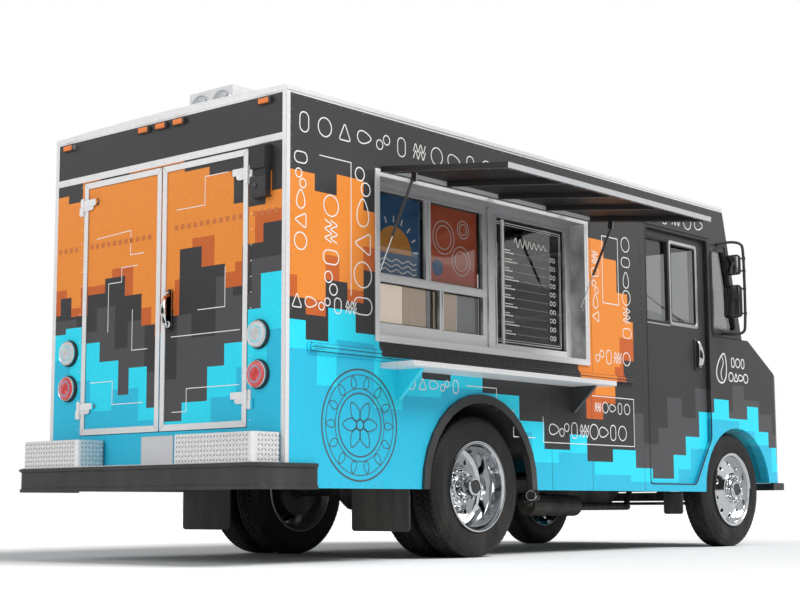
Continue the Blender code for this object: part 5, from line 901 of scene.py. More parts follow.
def tyre_shape(x, side, middle):
    """Tyre: its radius is the section's radius at s, less grooves that depend on s and on the angle.

    r(s, a) = section(s) - ribs(s) - cross(s, a), where cross cuts every fourth column of a rib and each rib
    starts two columns after the last one. The walls carry raised rings and a ring of short shoulder bars.
    """
    edge = TYRE_HALF
    wall = [(0.3005, edge - 0.022), (0.312, edge - 0.016), (0.322, edge - 0.010), (0.326, edge - 0.0075),
            (0.330, edge - 0.0085), (0.346, edge - 0.0045), (0.3475, edge - 0.0028), (0.3495, edge - 0.0042),
            (0.375, edge - 0.0012), (0.398, edge - 0.0004), (0.415, edge - 0.0006), (0.4165, edge + 0.0008),
            (0.4185, edge - 0.0012), (0.440, edge - 0.0045), (0.457, edge - 0.0095), (0.4585, edge - 0.0085),
            (0.462, edge - 0.0125), (0.474, edge - 0.0175), (0.486, edge - 0.0245), (0.4925, edge - 0.0315)]
    ribs = [0.078, 0.0565, 0.0555, 0.049, 0.048, 0.0185, 0.0175, 0.011, 0.010]
    tread = [(TYRE_RADIUS, ribs[0])]
    for index, out in enumerate(ribs[1:], 1):
        tread.append((TYRE_RADIUS - (0.0095 if index in (2, 3, 6, 7) else 0.0), out))
    half = wall + tread
    section = np.array(half + [(radius, -out) for radius, out in reversed(half)])
    around = PITCHES * 4
    angle = np.linspace(0, 2 * np.pi, around, endpoint=False)
    column = np.arange(around)
    radius = np.repeat(section[:, :1], around, 1)
    rib = np.digitize(section[:, 1], [-0.079, -0.052, -0.018, 0.018, 0.052, 0.079])
    on_tread = np.abs(section[:, 1]) <= 0.0781
    top = section[:, 0] > TYRE_RADIUS - 0.001
    cut = ((column[None] + 2 * rib[:, None]) % 4 == 3) & (on_tread & top)[:, None]
    radius = radius - 0.0065 * cut
    shoulder = (section[:, 0] > 0.470) & (section[:, 0] < 0.4945)
    out = np.repeat(section[:, 1:2], around, 1)
    out = out - np.sign(out) * 0.0030 * (shoulder[:, None] & (column[None] % 4 >= 2))
    points = np.stack([radius * np.cos(angle), side * (middle + out), radius * np.sin(angle)], -1)
    return loft(points + at(x, 0, HUB_HEIGHT), closed_rows=True)


def disc_with_holes(table, x, side, hole_at, hole_radial, hole_across, count=10):
    """Wheel disc: height over radius from its table, with oval hand holes.

    Each sector is a grid from the rectangle round a hole (t = 1) to the hole's ellipse (t = 0), and the edge of
    the hole rolls back into the disc.
    """
    radii, heights = np.array(table).T
    half = hole_at * np.pi / count
    low, high = radii[0], radii[-1]
    edge = np.concatenate([
        pairs(np.full(8, high), np.linspace(-half, half, 8, endpoint=False)),
        pairs(np.linspace(high, low, 12, endpoint=False), np.full(12, half)),
        pairs(np.full(8, low), np.linspace(half, -half, 8, endpoint=False)),
        pairs(np.linspace(low, high, 12, endpoint=False), np.full(12, -half))])
    middle = np.array([hole_at, 0.0])
    turn = np.arctan2((edge - middle)[:, 1] / hole_across, (edge - middle)[:, 0] / hole_radial)
    oval = middle + pairs(hole_radial * np.cos(turn), hole_across * np.sin(turn))
    shares = np.array([1, 0.72, 0.46, 0.26, 0.13, 0.05, 0.0])
    grid = oval[None] + shares[:, None, None] * (edge - oval)[None]
    height = np.interp(grid[..., 0], radii, heights)
    height[-2] -= 0.0006
    height[-1] -= 0.0035
    wall, back = grid[-1:], grid[::-1]
    flat = np.concatenate([grid, wall, back])
    tall = np.concatenate([height, height[-1:] - 0.006, np.interp(back[..., 0], radii, heights) - 0.0105])
    shapes = []
    for sector in range(count):
        angle = flat[..., 1] / hole_at + 2 * np.pi * (sector + 0.5) / count
        points = np.stack([flat[..., 0] * np.cos(angle), side * tall, flat[..., 0] * np.sin(angle)], -1)
        shapes.append(loft(points + at(x, 0, HUB_HEIGHT), caps=False))
    return shapes


def wheel_nuts(x, side, pitch_radius, seat, count=10):
    """Chamfered hexagon nuts with a collar and a stud end, on a circle."""
    out = (0, side, 0)
    collar = turned([(0, -0.002), (0.0155, -0.002), (0.0155, 0.0035), (0.0135, 0.005), (0, 0.005)], (0, 0, 0), out,
                    16)
    nut = turned([(0, 0.004), (0.0128, 0.004), (0.0128, 0.019), (0.0100, 0.0225), (0, 0.0225)], (0, 0, 0), out, 6)
    tip = turned([(0, 0.021), (0.0070, 0.021), (0.0070, 0.029), (0.0052, 0.031), (0, 0.031)], (0, 0, 0), out, 10)
    angle = 2 * np.pi * np.arange(count) / count
    spots = np.stack([pitch_radius * np.cos(angle), np.full(count, side * seat), pitch_radius * np.sin(angle)], 1)
    spots += at(x, 0, HUB_HEIGHT)
    return [repeated(collar, spots), repeated(nut, spots), repeated(tip, spots)]


def hub_cap(x, side, low, high, outer, inner):
    """Bright cap ring: closed profile round the axle's end."""
    return turned([(0.0, low), (outer, low), (outer, low + 0.006), (outer - 0.005, low + 0.010),
                   (inner + 0.010, high - 0.010), (inner + 0.004, high - 0.002), (inner - 0.002, high),
                   (inner - 0.008, high - 0.003), (inner - 0.010, high - 0.016), (0.0, high - 0.016)],
                  at(x, 0, HUB_HEIGHT), (0, side, 0), 64)


# Each wheel: axle, tyres, rim, nave, two rings on it, disc, place of its hand holes, nuts, inner lip and hub pieces.
RIM_LIP = [(0.3155, 0.910), (0.3185, 0.899), (0.3235, 0.895), (0.3265, 0.902), (0.3225, 0.912)]
WHEELS = {
    "front": dict(
        x=FRONT_AXLE_X, tyres=(("", WHEEL_Y),), rim=FRONT_RIM, disc=FRONT_DISC, holes=0.228, nuts=(0.1125, 1.142),
        nave=[(0.0, 1.124), (0.148, 1.124), (0.149, 1.137), (0.145, 1.141), (0.132, 1.142), (0.098, 1.142),
              (0.0, 1.142)],
        rings=([(0.0935, 1.140), (0.099, 1.140), (0.099, 1.147), (0.0935, 1.149)],
               [(0.126, 1.140), (0.131, 1.140), (0.131, 1.145), (0.126, 1.146)]),
        lip=0.0, cap=(1.140, 1.186, 0.080, 0.062),
        cover=[(0, 1.160), (0.053, 1.160), (0.053, 1.174), (0.047, 1.180), (0, 1.182)],
        drum=[(0.046, 0.905), (0.200, 0.905), (0.205, 1.072), (0.120, 1.078), (0.046, 1.078)]),
    "rear": dict(
        x=REAR_AXLE_X, tyres=(("outer_", WHEEL_Y), ("inner_", INNER_WHEEL_Y)), rim=REAR_RIM, disc=REAR_DISC,
        holes=0.214, nuts=(0.105, 0.977),
        nave=[(0.0, 0.955), (0.138, 0.955), (0.141, 0.968), (0.138, 0.975), (0.128, 0.977), (0.090, 0.977),
              (0.0, 0.977)],
        rings=([(0.0835, 0.975), (0.088, 0.975), (0.088, 0.983), (0.0835, 0.985)],
               [(0.122, 0.975), (0.127, 0.975), (0.127, 0.980), (0.122, 0.981)]),
        lip=-0.284, cap=(0.975, 1.118, 0.078, 0.058),
        cover=[(0, 1.090), (0.049, 1.090), (0.049, 1.106), (0.044, 1.112), (0, 1.114)],
        drum=[(0, 0.640), (0.200, 0.640), (0.205, 0.812), (0.190, 0.905), (0, 0.905)]),
}


def dress_wheel(end, side, label):
    """Tyres, rim, disc, nuts, lips and hub of one wheel; a profile is turned about the axle."""
    wheel = WHEELS[end]
    x, body = wheel["x"], "wheel_%s_%s" % (end, label)
    about = lambda profile, around: turned(profile, at(x, 0, HUB_HEIGHT), (0, side, 0), around)
    for which, middle in wheel["tyres"]:
        make("%s_tyre_%s%s" % (end, which, label), [tyre_shape(x, side, middle)], tyre_rubber, body,
             replaces="tyre_%s_%s%s" % (end, which, label))
    rings = [ring_round(ring, x, side) for ring in wheel["rings"]]
    make("%s_rim_%s" % (end, label), [ring_round(wheel["rim"], x, side), about(wheel["nave"], 72)] + rings
         + disc_with_holes(wheel["disc"], x, side, wheel["holes"], 0.0185, 0.0165)
         + wheel_nuts(x, side, *wheel["nuts"]), chrome, body, replaces="rim_%s_%s" % (end, label))
    if end == "rear":
        make("rear_rim_inner_" + label, [ring_round(INNER_RIM, x, side)], alloy, body)
    # A bright ring over the rim's inner flange, as painted highlight.
    lip = np.array(RIM_LIP) + (0, wheel["lip"])
    make("%s_rim_lip_%s" % (end, label), [ring_round(lip, x, side)], rim_edge_painted_highlight, body)
    make("%s_hub_cap_%s" % (end, label), [hub_cap(x, side, *wheel["cap"])], chrome, body)
    make("%s_hub_cover_%s" % (end, label), [about(wheel["cover"], 48)], black_paint, body)
    make("%s_drum_%s" % (end, label), [about(wheel["drum"], 48)], chassis_paint, body)


def ring_round(loop, x, side, around=120):
    """A closed (radius, |y|) loop carried once round a wheel's axle."""
    angle = np.linspace(0, 2 * np.pi, around, endpoint=False)
    loop = np.asarray(loop, float)
    points = np.stack([loop[:, :1] * np.cos(angle), np.repeat(side * loop[:, 1:2], around, 1),
                       loop[:, :1] * np.sin(angle)], -1)
    return loft(points + at(x, 0, HUB_HEIGHT), closed_rows=True)


for side, label in SIDES:
    for end in WHEELS:
        dress_wheel(end, side, label)


# ---------------------------------------------------------------- serving hatch, awning, shelf and rails
UNIT_FACE = Face(at(0, -1.050, 0), (1, 0, 0), (0, 0, 1))
PANES = [("upper_rear", 0.926, 1.930, 1.513, 2.500), ("upper_front", 1.563, 1.930, 2.160, 2.500),
         ("lower_rear", 0.926, 1.591, 1.660, 1.875), ("lower_front", 1.702, 1.591, 2.160, 1.875),
         ("tall", 2.330, 1.547, 3.220, 2.500)]
BOARD_DEPTH = -0.044
AWNING_DROP = np.radians(6.8)
AWNING_FACE = Face(at(0, -1.215, 2.585), (1, 0, 0), (0, -np.cos(AWNING_DROP), -np.sin(AWNING_DROP)))
AWNING_UNDER = 0.013


def disc(face, u, v, radius, low, high, around=48):
    """A flat round plate on a face."""
    angle = np.linspace(0, 2 * np.pi, around, endpoint=False)
    return plate(face, pairs(u + radius * np.cos(angle), v + radius * np.sin(angle)), low, high, 0.0003)


def stroke(face, points, width, low=0.0003, high=0.0009, closed=False):
    """A flat ribbon of one width along a line of points on a face."""
    points = np.asarray(outline_of(points), float)
    if closed:
        return window_frame(face, offset(points, -width / 2), offset(points, width / 2), low, high, 0.0001)
    ahead = np.gradient(points, axis=0)
    if len(points) > 2:
        before, after = points[1:-1] - points[:-2], points[2:] - points[1:-1]
        before /= np.linalg.norm(before, axis=1, keepdims=True)
        after /= np.linalg.norm(after, axis=1, keepdims=True)
        ahead[1:-1] = before + after
    ahead /= np.linalg.norm(ahead, axis=1, keepdims=True)
    across = pairs(-ahead[:, 1], ahead[:, 0])
    reach = np.full((len(points), 1), width / 2)
    if len(points) > 2:
        reach[1:-1, 0] /= np.maximum(np.abs((across[1:-1] * pairs(-before[:, 1], before[:, 0])).sum(1)), 0.5)
    left, right = points + across * reach, points - across * reach
    sections = np.stack([face(left, low), face(left, high), face(right, high), face(right, low)], 1)
    return loft(sections)


def hatch_frames():
    """Raised glazing bead round each pane, the outer trim of the hatch, the panes' seals and the tall pane's rail."""
    grown = lambda pane, by, radius: (pane[1] - by, pane[2] - by, pane[3] + by, pane[4] + by, radius)
    beads = [window_frame(UNIT_FACE, grown(pane, 0.012, 0.008), grown(pane, -0.002, 0.004), -0.002, 0.006)
             for pane in PANES]
    beads.append(plate(UNIT_FACE, (2.218, 1.492, 2.262, 2.550, 0.003), -0.002, 0.012, 0.003))
    beads.append(plate(UNIT_FACE, (0.880, 1.878, 2.200, 1.926, 0.003), -0.002, 0.010, 0.003))
    beads.append(window_frame(Face(at(0, -1.185, 0), (1, 0, 0), (0, 0, 1)), (0.829, 1.440, 3.347, 2.602, 0.010),
                              (0.850, 1.461, 3.326, 2.581, 0.006), -0.002, 0.004))
    make("hatch_beads", beads, hatch_skin)
    make("hatch_seals", [window_frame(UNIT_FACE, grown(pane, -0.001, 0.004), grown(pane, -0.010, 0.004), -0.0285,
                                      -0.020) for pane in PANES], rubber_seal_and_shade_line)
    make("tall_pane_rail", [plate(UNIT_FACE, (2.420, 1.556, 2.448, 2.492, 0.003), -0.027, -0.012),
                            stroke(UNIT_FACE, (2.352, 1.574, 3.196, 2.474, 0.006), 0.006, -0.028, -0.0265, True),
                            stroke(UNIT_FACE, (2.368, 1.590, 3.180, 2.458, 0.006), 0.004, -0.028, -0.0265, True)],
         light_trim)


def hatch_boards():
    """Coloured boards with a half sun and with rings behind the upper panes, screens behind the lower ones; the cream
    and sand screens glow a little as painted light.
    """
    board = lambda u_low, u_high: [plate(UNIT_FACE, (u_low, 1.934, u_high, 2.496, 0.004), BOARD_DEPTH,
                                         BOARD_DEPTH + 0.002, 0.0005)]
    make("board_blue", board(0.930, 1.498), board_blue, smooth=False)
    make("board_orange", board(1.566, 2.148), board_orange, smooth=False)
    low = BOARD_DEPTH + 0.0022
    high = low + 0.0006
    u, v = 1.214, 2.090
    turn = np.linspace(0, np.pi, 40)
    dome = pairs(u + 0.190 * np.cos(turn), v + 0.190 * np.sin(turn))
    rays = [stroke(UNIT_FACE, [(u + reach * np.cos(a), v + reach * np.sin(a)) for reach in (0.215, 0.262)], 0.012,
                   low, high) for a in np.linspace(0.12, np.pi - 0.12, 9)]
    waves = [stroke(UNIT_FACE, pairs(np.linspace(0.975, 1.455, 49),
                                     2.040 - 0.036 * row + 0.010 * np.sin(np.linspace(0, 8 * np.pi, 49))),
                    0.008, low, high) for row in range(3)]
    make("board_sun", [plate(UNIT_FACE, dome, low, high, 0.0002)], board_mustard, smooth=False)
    make("board_lines", rays + waves, board_white, smooth=False)
    rings = [stroke(UNIT_FACE, circle(*ring, 48), 0.007, low, high, True)
             for ring in ((1.760, 2.270, 0.120), (1.760, 2.270, 0.086), (1.960, 2.120, 0.105), (1.960, 2.120, 0.070),
                          (1.985, 2.355, 0.065), (1.985, 2.355, 0.040))]
    make("board_rings", rings, board_white, smooth=False)
    make("board_spot", [disc(UNIT_FACE, 1.690, 2.045, 0.060, low, high)], board_blue, smooth=False)
    screens = ((0.928, 1.070, screen_grey), (1.074, 1.305, screen_cream_painted_glow), (1.309, 1.372, screen_sand_painted_glow),
               (1.376, 1.560, screen_sand_painted_glow), (1.564, 1.602, screen_grey), (1.640, 1.905, screen_sand_painted_glow),
               (1.909, 2.158, screen_grey))
    for index, (u_low, u_high, paint) in enumerate(screens):
        depth = BOARD_DEPTH - 0.002 * (index % 2)
        make("hatch_screen_%d" % (index + 1), [plate(UNIT_FACE, (u_low, 1.592, u_high, 1.874, 0.002), depth,
                                                     depth + 0.003, 0.0008)], paint, smooth=False)


def awning_details():
    """Border and ribs under the awning, with rivets along its sides and outer edge."""
    low, high = AWNING_UNDER - 0.001, AWNING_UNDER + 0.002
    ribs = [window_frame(AWNING_FACE, (0.836, 0.016, 3.340, 1.074, 0.004), (0.868, 0.048, 3.308, 1.042, 0.004), low,
                         high)]
    pitch = 0.5905
    for i in range(1, 4):
        middle = 0.907 + pitch * i
        ribs.append(plate(AWNING_FACE, (middle - 0.014, 0.046, middle + 0.014, 1.044, 0.002), low, high - 0.0005))
    make("awning_ribs", ribs, awning_alloy, "awning")
    lines = [line_of(AWNING_FACE(start, high), AWNING_FACE(end, high), spacing) for start, end, spacing in (
        ((0.852, 0.06), (0.852, 1.03), 0.12), ((3.324, 0.06), (3.324, 1.03), 0.12),
        ((0.90, 1.058), (3.28, 1.058), 0.14))]
    heads = repeated(stud(AWNING_FACE.out, 0.0045, 0.0020), np.concatenate(lines))
    make("awning_rivets", [heads], alloy, "awning", smooth=False)


def shelf_details():
    """Rolled outer edge of the shelf and rivets under it."""
    edge = Face(at(0, -1.465, 0), (1, 0, 0), (0, 0, 1))
    lip = plate(edge, (0.889, 1.2655, 3.285, 1.3005, 0.010), -0.003, 0.003, 0.003)
    heads = repeated(stud((0, 0, -1), 0.005, 0.0022), line_of(at(0.95, -1.440, 1.265), at(3.24, -1.440, 1.265), 0.15))
    make("shelf_edge", [lip, heads], light_trim)


def rail_rivets():
    """Rivets of the rub rails, seams and skirts, with the rails' ridges, dark strips along their grooves as painted
    shade, seams and gutters.
    """
    up = np.linspace(0.52, 2.92, 36)
    clear_of_rail = up[np.abs(up - 1.358) > 0.06]
    skirt = np.arange(0.06, 4.95, 0.085)
    for face, label in FLANKS:
        sign = 1 if face is RIGHT else -1
        row = lambda x, z, w=0.0: face(pairs(sign * np.atleast_1d(x), z), w)
        rows = [row(np.arange(0.225, 3.975, 0.075), z, 0.0075) for z in (1.326, 1.390)]
        rows += [row(x, clear_of_rail) for x in ((3.374, 4.127) if face is RIGHT else (2.829, 3.374, 4.127))]
        rows += [row(skirt[np.abs(skirt - 1.958) > 0.66], 0.498), row(np.arange(0.06, 5.50, 0.11), 2.950),
                 row(0.048, np.arange(0.56, 2.94, 0.085))]
        make("body_rivets_" + label, [repeated(stud(face.out, 0.0042, 0.0020), np.concatenate(rows))], rivet_paint,
             smooth=False)
        make("rail_ridges_" + label, [swept(row(np.linspace(0.235, 3.945, 12), z, 0.0205), 0.0052, 8)
                                      for z in (1.347, 1.369)], wrap, smooth=True)
        # Dark strips along the rail's grooves: painted shade in its creases.
        groove = lambda z, width, low, high: stroke(face, [(sign * 0.215, z), (sign * 3.965, z)], width, low, high)
        make("rail_groove_shade_" + label, [groove(1.3335, 0.004, 0.0072, 0.0086), groove(1.3825, 0.004, 0.0072, 0.0086),
                                       groove(1.358, 0.005, 0.0210, 0.0222)], rubber_seal_and_shade_line, smooth=False)
        seams = [stroke(face, [(sign * x, low), (sign * x, high)], 0.0035, -0.0002, 0.0005)
                 for x, low, high in ((2.829, 0.480, 1.310), (3.374, 0.480, 1.310), (3.392, 1.405, 2.960),
                                      (4.127, 0.480, 2.960))]
        make("body_seams_" + label, seams, rubber_seal_and_shade_line, smooth=False)
        low_u, high_u = sorted((-0.002 * sign, 5.520 * sign))
        make("roof_gutter_" + label, [plate(face, (low_u, 2.976, high_u, 3.009, 0.006), -0.001, 0.006, 0.003)],
             light_trim)


hatch_frames()
hatch_boards()
awning_details()
shelf_details()
rail_rivets()


# ---------------------------------------------------------------- cab doors, windows and mirrors
def polygon_round(corners, radius, steps=6):
    """A closed outline with its corners rounded: each is a quadratic curve between points a radius away."""
    corners = np.asarray(corners, float)
    points = []
    for before, here, after in zip(np.roll(corners, 1, 0), corners, np.roll(corners, -1, 0)):
        first = here + (before - here) / np.linalg.norm(before - here) * radius
        last = here + (after - here) / np.linalg.norm(after - here) * radius
        for t in np.linspace(0, 1, steps):
            points.append((1 - t) ** 2 * first + 2 * t * (1 - t) * here + t ** 2 * last)
    return np.array(points)


CAB_PANE = (4.664, 1.908, 5.076, 2.580, 0.018)
CAB_DOOR_DEPTH = 0.035
HANDLE_X = 5.092


def cab_side(face, label):
    """Window frames, seals, handle, drip rail and door edges of one cab side."""
    sign = 1 if face is RIGHT else -1
    body = "cab_door_" + label
    door = Face(face.origin - face.out * CAB_DOOR_DEPTH, face.across, face.up)

    def here(outline):
        """The outline as it lies on this side: mirrored on the left."""
        outline = np.asarray(outline_of(outline), float)
        return outline if sign > 0 else (outline * (-1, 1))[::-1]

    make("cab_pane_frame_" + label, [window_frame(door, here((4.640, 1.878, 5.106, 2.608, 0.030)), here(CAB_PANE),
                                                  -0.006, 0.0040)], alloy, body)
    seals = [window_frame(door, here((4.226, 1.876, 4.650, 2.612, 0.030)), here((4.252, 1.900, 4.614, 2.588, 0.018)),
                          -0.006, 0.0034),
             window_frame(door, here(CAB_PANE), here((4.676, 1.920, 5.064, 2.568, 0.012)), -0.008, 0.0030),
             plate(door, here((4.612, 1.884, 4.652, 2.604, 0.006)), -0.006, 0.0038)]
    make("cab_pane_seal_" + label, seals, rubber_seal_and_shade_line, body)
    make("cab_pane_sill_" + label, [plate(door, here((4.245, 1.866, 4.640, 1.878, 0.003)), -0.004, 0.0038, 0.0015)],
         alloy, body)
    quarter = here(polygon_round([(5.280, 1.842), (5.724, 1.888), (5.560, 2.690), (5.280, 2.604)], 0.060))
    make("quarter_seal_" + label, [window_frame(face, quarter, offset(quarter, 0.030), -0.004, 0.009, 0.004)],
         rubber_seal_and_shade_line)
    edge = here(polygon_round([(4.216, 0.535), (4.950, 0.535), (5.234, 0.932), (5.234, 2.668), (4.216, 2.668)],
                              0.040))
    make("doorway_seal_" + label, [swept(face(edge, -0.002), 0.006, 8, closed=True)], rubber_seal_and_shade_line, smooth=True)
    make("door_drip_rail_" + label, [plate(face, here((4.180, 2.690, 5.270, 2.706, 0.004)), -0.001, 0.012, 0.004)],
         wrap)
    back_plate = here(polygon_round([(5.020, 1.515), (5.160, 1.545), (5.150, 1.760), (5.030, 1.800)], 0.030))
    make("cab_handle_plate_" + label, [plate(door, back_plate, 0.001, 0.012, 0.004)], black_paint, body)
    angle = np.linspace(0, 2 * np.pi, 20, endpoint=False)
    rings = []
    for t in np.linspace(0, 1, 24):
        half = 0.016 + 0.027 * np.sin(np.pi * min(1.0, 0.15 + t * 0.95)) ** 0.9 * (1 - 0.35 * t)
        flat = pairs(sign * (HANDLE_X - 0.020 * t) + half * np.cos(angle), 1.548 + 0.225 * t)
        rings.append(door(flat, 0.014 + 0.030 * np.sin(np.pi * t) ** 0.5 + 0.008 * np.sin(angle)))
    boss = turned([(0, 0), (0.022, 0), (0.022, 0.020), (0.015, 0.028), (0, 0.028)],
                  door((sign * (HANDLE_X + 0.002), 1.560), 0.006), face.out, 24)
    make("cab_handle_" + label, [loft(rings), boss], chrome, body)
    make("belt_ledge_" + label, [stroke(face, here([(5.30, 1.842), (5.80, 1.842)]), 0.010, -0.0005, 0.010)], wrap)


for face, label in FLANKS:
    cab_side(face, label)


# ---------------------------------------------------------------- front of the cab
FRONT = Face(at(6.500, 0, 0), (0, 1, 0), (0, 0, 1))
SCREEN = Face(at(5.819, 0, 1.837), (0, 1, 0), (-0.2505, 0, 0.9681))
MIRROR_FACE = Face(at(5.465, 0, 0), (0, -1, 0), (0, 0, 1))
LAMP_Y, LAMP_Z = 0.790, 1.060
HEADLAMP_RING = [(0.090, 0.016), (0.093, 0.030), (0.100, 0.037), (0.110, 0.035), (0.1185, 0.026), (0.1190, 0.000),
                 (0.090, 0.000), (0.090, 0.016)]
HEADLAMP_LENS = [(0, 0.0400), (0.030, 0.0392), (0.060, 0.0360), (0.080, 0.0305), (0.0895, 0.0230), (0.0895, 0.018),
                 (0, 0.018)]
SCREEN_TOP = (2.708 - 1.837) * 1.0330
GRILLE_LOW, GRILLE_TALL, GRILLE_BARS = 0.780, 0.480, 7


def front_half(side, label):
    """Headlamp, signal, screen seal and wiper of one side of the front."""
    base = side * LAMP_Y
    lamp = FRONT((base, LAMP_Z), 0.0)
    make("headlamp_ring_" + label, [turned(HEADLAMP_RING, lamp, (1, 0, 0), 64)], chrome)
    flutes = [swept(FRONT(pairs(base + u, LAMP_Z + np.sqrt(0.0074 - u * u) * np.linspace(-1, 1, 9)),
                          0.0345 - 1.2 * u * u), 0.0022, 6) for u in np.linspace(-0.07, 0.07, 11)]
    make("headlamp_lens_" + label, [turned(HEADLAMP_LENS, lamp, (1, 0, 0), 64)] + flutes, lamp_lens["clear"])
    ribs = [plate(FRONT, (u - 0.086, 0.812, u - 0.072, 0.868, 0.004), 0.026, 0.0315)
            for u in base + 0.0175 * np.arange(10)]
    make("front_signal_" + label,
         [plate(FRONT, (base - 0.094, 0.806, base + 0.094, 0.874, 0.014), 0.018, 0.029, 0.006)] + ribs, amber_lens)
    low_u, high_u = sorted((side * 0.022, side * 1.090))
    hole = rounded(low_u, 0.055, high_u, SCREEN_TOP, 0.050, 8)
    make("screen_seal_" + label,
         [window_frame(SCREEN, offset(hole, -0.016), offset(hole, 0.010), -0.010, 0.007, 0.004)], rubber_seal_and_shade_line)
    pivot = SCREEN((side * 0.820, 0.020), 0.010)
    arm = [pivot, SCREEN((side * 0.790, 0.060), 0.026), SCREEN((side * 0.450, 0.330), 0.020)]
    blade = SCREEN(pairs(side * np.linspace(0.640, 0.260, 12), np.linspace(0.160, 0.500, 12)), 0.006)
    cap = turned([(0, 0), (0.018, 0), (0.016, 0.014), (0.008, 0.018), (0, 0.018)], pivot - SCREEN.out * 0.012,
                 SCREEN.out, 24)
    make("wiper_" + label, [swept(arm, 0.006, 8), swept(blade, 0.005, 8), cap], black_paint)


def front_face():
    """Both halves of the front, grille bars and surround, cab markers and the seam under the screen."""
    for side, label in SIDES:
        front_half(side, label)
    surround = window_frame(FRONT, (-0.505, 0.755, 0.505, 1.285, 0.035), (-0.476, 0.784, 0.476, 1.256, 0.014), -0.002,
                            0.014, 0.005)
    make("grille_surround", [surround], chrome)
    bars = [plate(FRONT, (-0.479, z - 0.0145, 0.479, z + 0.0145, 0.005), -0.012, -0.002, 0.003)
            for z in GRILLE_LOW + GRILLE_TALL * (np.arange(GRILLE_BARS) + 0.5) / GRILLE_BARS]
    make("grille_bars", bars, black_paint)
    for index, y in enumerate((-0.95, -0.18, 0.0, 0.18, 0.95)):
        marker_lamp("cab_marker_%d" % (index + 1), at(5.5793, y, 2.860), (0, 1, 0))
    make("cowl_seam", [stroke(SCREEN, [(-1.150, -0.004), (1.150, -0.004)], 0.006, -0.001, 0.001)], rubber_seal_and_shade_line,
         smooth=False)


def superplate(face, u, v, half_u, half_v, levels, corner=0.35):
    """A rounded housing: rounded rectangles of scale s at heights w, for each (w, s) of levels."""
    rings = []
    for w, scale in levels:
        shape = rounded(u - half_u * scale, v - half_v * scale, u + half_u * scale, v + half_v * scale,
                        corner * min(half_u, half_v) * scale)
        rings.append(face(shape, w))
    return loft(rings)


TUBE_X, TUBE_Y = 5.520, 1.3805
# Housing levels: height over the mirror's face and share of its outline.
HOUSING = [(-0.0590, 0.50), (-0.0565, 0.72), (-0.050, 0.88), (-0.038, 0.97), (-0.020, 1.0), (-0.003, 1.0),
           (0.0, 0.97)]


def mirrors():
    """A bent tube loop on two brackets, with two housings, the lower one ribbed, between the tube and the cab.

    Quadratic curves join the middles of the lines between the tube's corners.
    """
    share = np.linspace(0, 1, 6)[:, None]
    for side, label in SIDES:
        wall, foot, bend = HALF + 0.004, HALF + 0.034, 1.366
        corners = [at(x, side * y, z) for x, y, z in (
            (5.400, wall, 2.655), (5.400, foot, 2.662), (5.455, 1.300, 2.676), (5.500, bend, 2.660),
            (TUBE_X, TUBE_Y, 2.610), (TUBE_X, TUBE_Y, 1.910), (5.500, bend, 1.862), (5.470, 1.300, 1.848),
            (5.460, foot, 1.862), (5.460, wall, 1.865))]
        path = [corners[0]]
        for before, here, after in zip(corners[:-2], corners[1:-1], corners[2:]):
            first, last = (before + here) / 2, (here + after) / 2
            path.extend((1 - share) ** 2 * first + 2 * share * (1 - share) * here + share ** 2 * last)
        path = np.array(path + [corners[-1]])
        apart = np.linalg.norm(np.diff(path, axis=0), axis=1) > 1e-5
        path = path[np.concatenate([[True], apart])]
        feet = [superplate(Face(at(x, side * HALF, z), (-1, 0, 0), (0, 0, 1)), 0, 0, 0.026, 0.030,
                           [(0.001, 1), (0.010, 1), (0.014, 0.8)]) for x, z in ((5.400, 2.655), (5.460, 1.865))]
        make("mirror_loop_" + label, [swept(path, 0.0125, 14)] + feet, black_paint, replaces="mirror_" + label)
        heads, ribs, panes = [], [], []
        for middle, half, z_low, z_high, count in ((1.290, 0.072, 2.380, 2.560, 0), (1.283, 0.084, 2.000, 2.290, 9)):
            u, v, tall = -side * middle, (z_low + z_high) / 2, (z_high - z_low) / 2
            heads.append(superplate(MIRROR_FACE, u, v, half, tall, HOUSING))
            for i in range(count):
                rib = u - half + 0.010 + (2 * half - 0.020) * (i + 0.5) / count
                ribs.append(plate(MIRROR_FACE, (rib - 0.0045, z_low + 0.022, rib + 0.0045, z_high - 0.022, 0.003),
                                  -0.001, 0.006))
            panes.append(superplate(MIRROR_FACE, u, v, half - 0.010, tall - 0.010,
                                    [(-0.001, 1), (0.0012, 1), (0.0018, 0.985)]))
            for z in (z_low + 0.035, z_high - 0.035):
                tube = at(TUBE_X, side * TUBE_Y, z)
                ribs.append(swept([at(5.495, side * (middle + half - 0.012), z), tube], 0.007, 8))
                ribs.append(swept([tube - (0, 0, 0.014), tube + (0, 0, 0.014)], 0.0145, 12))
        make("mirror_housings_" + label, heads + ribs, black_paint)
        make("mirror_panes_" + label, panes, mirror_silver)


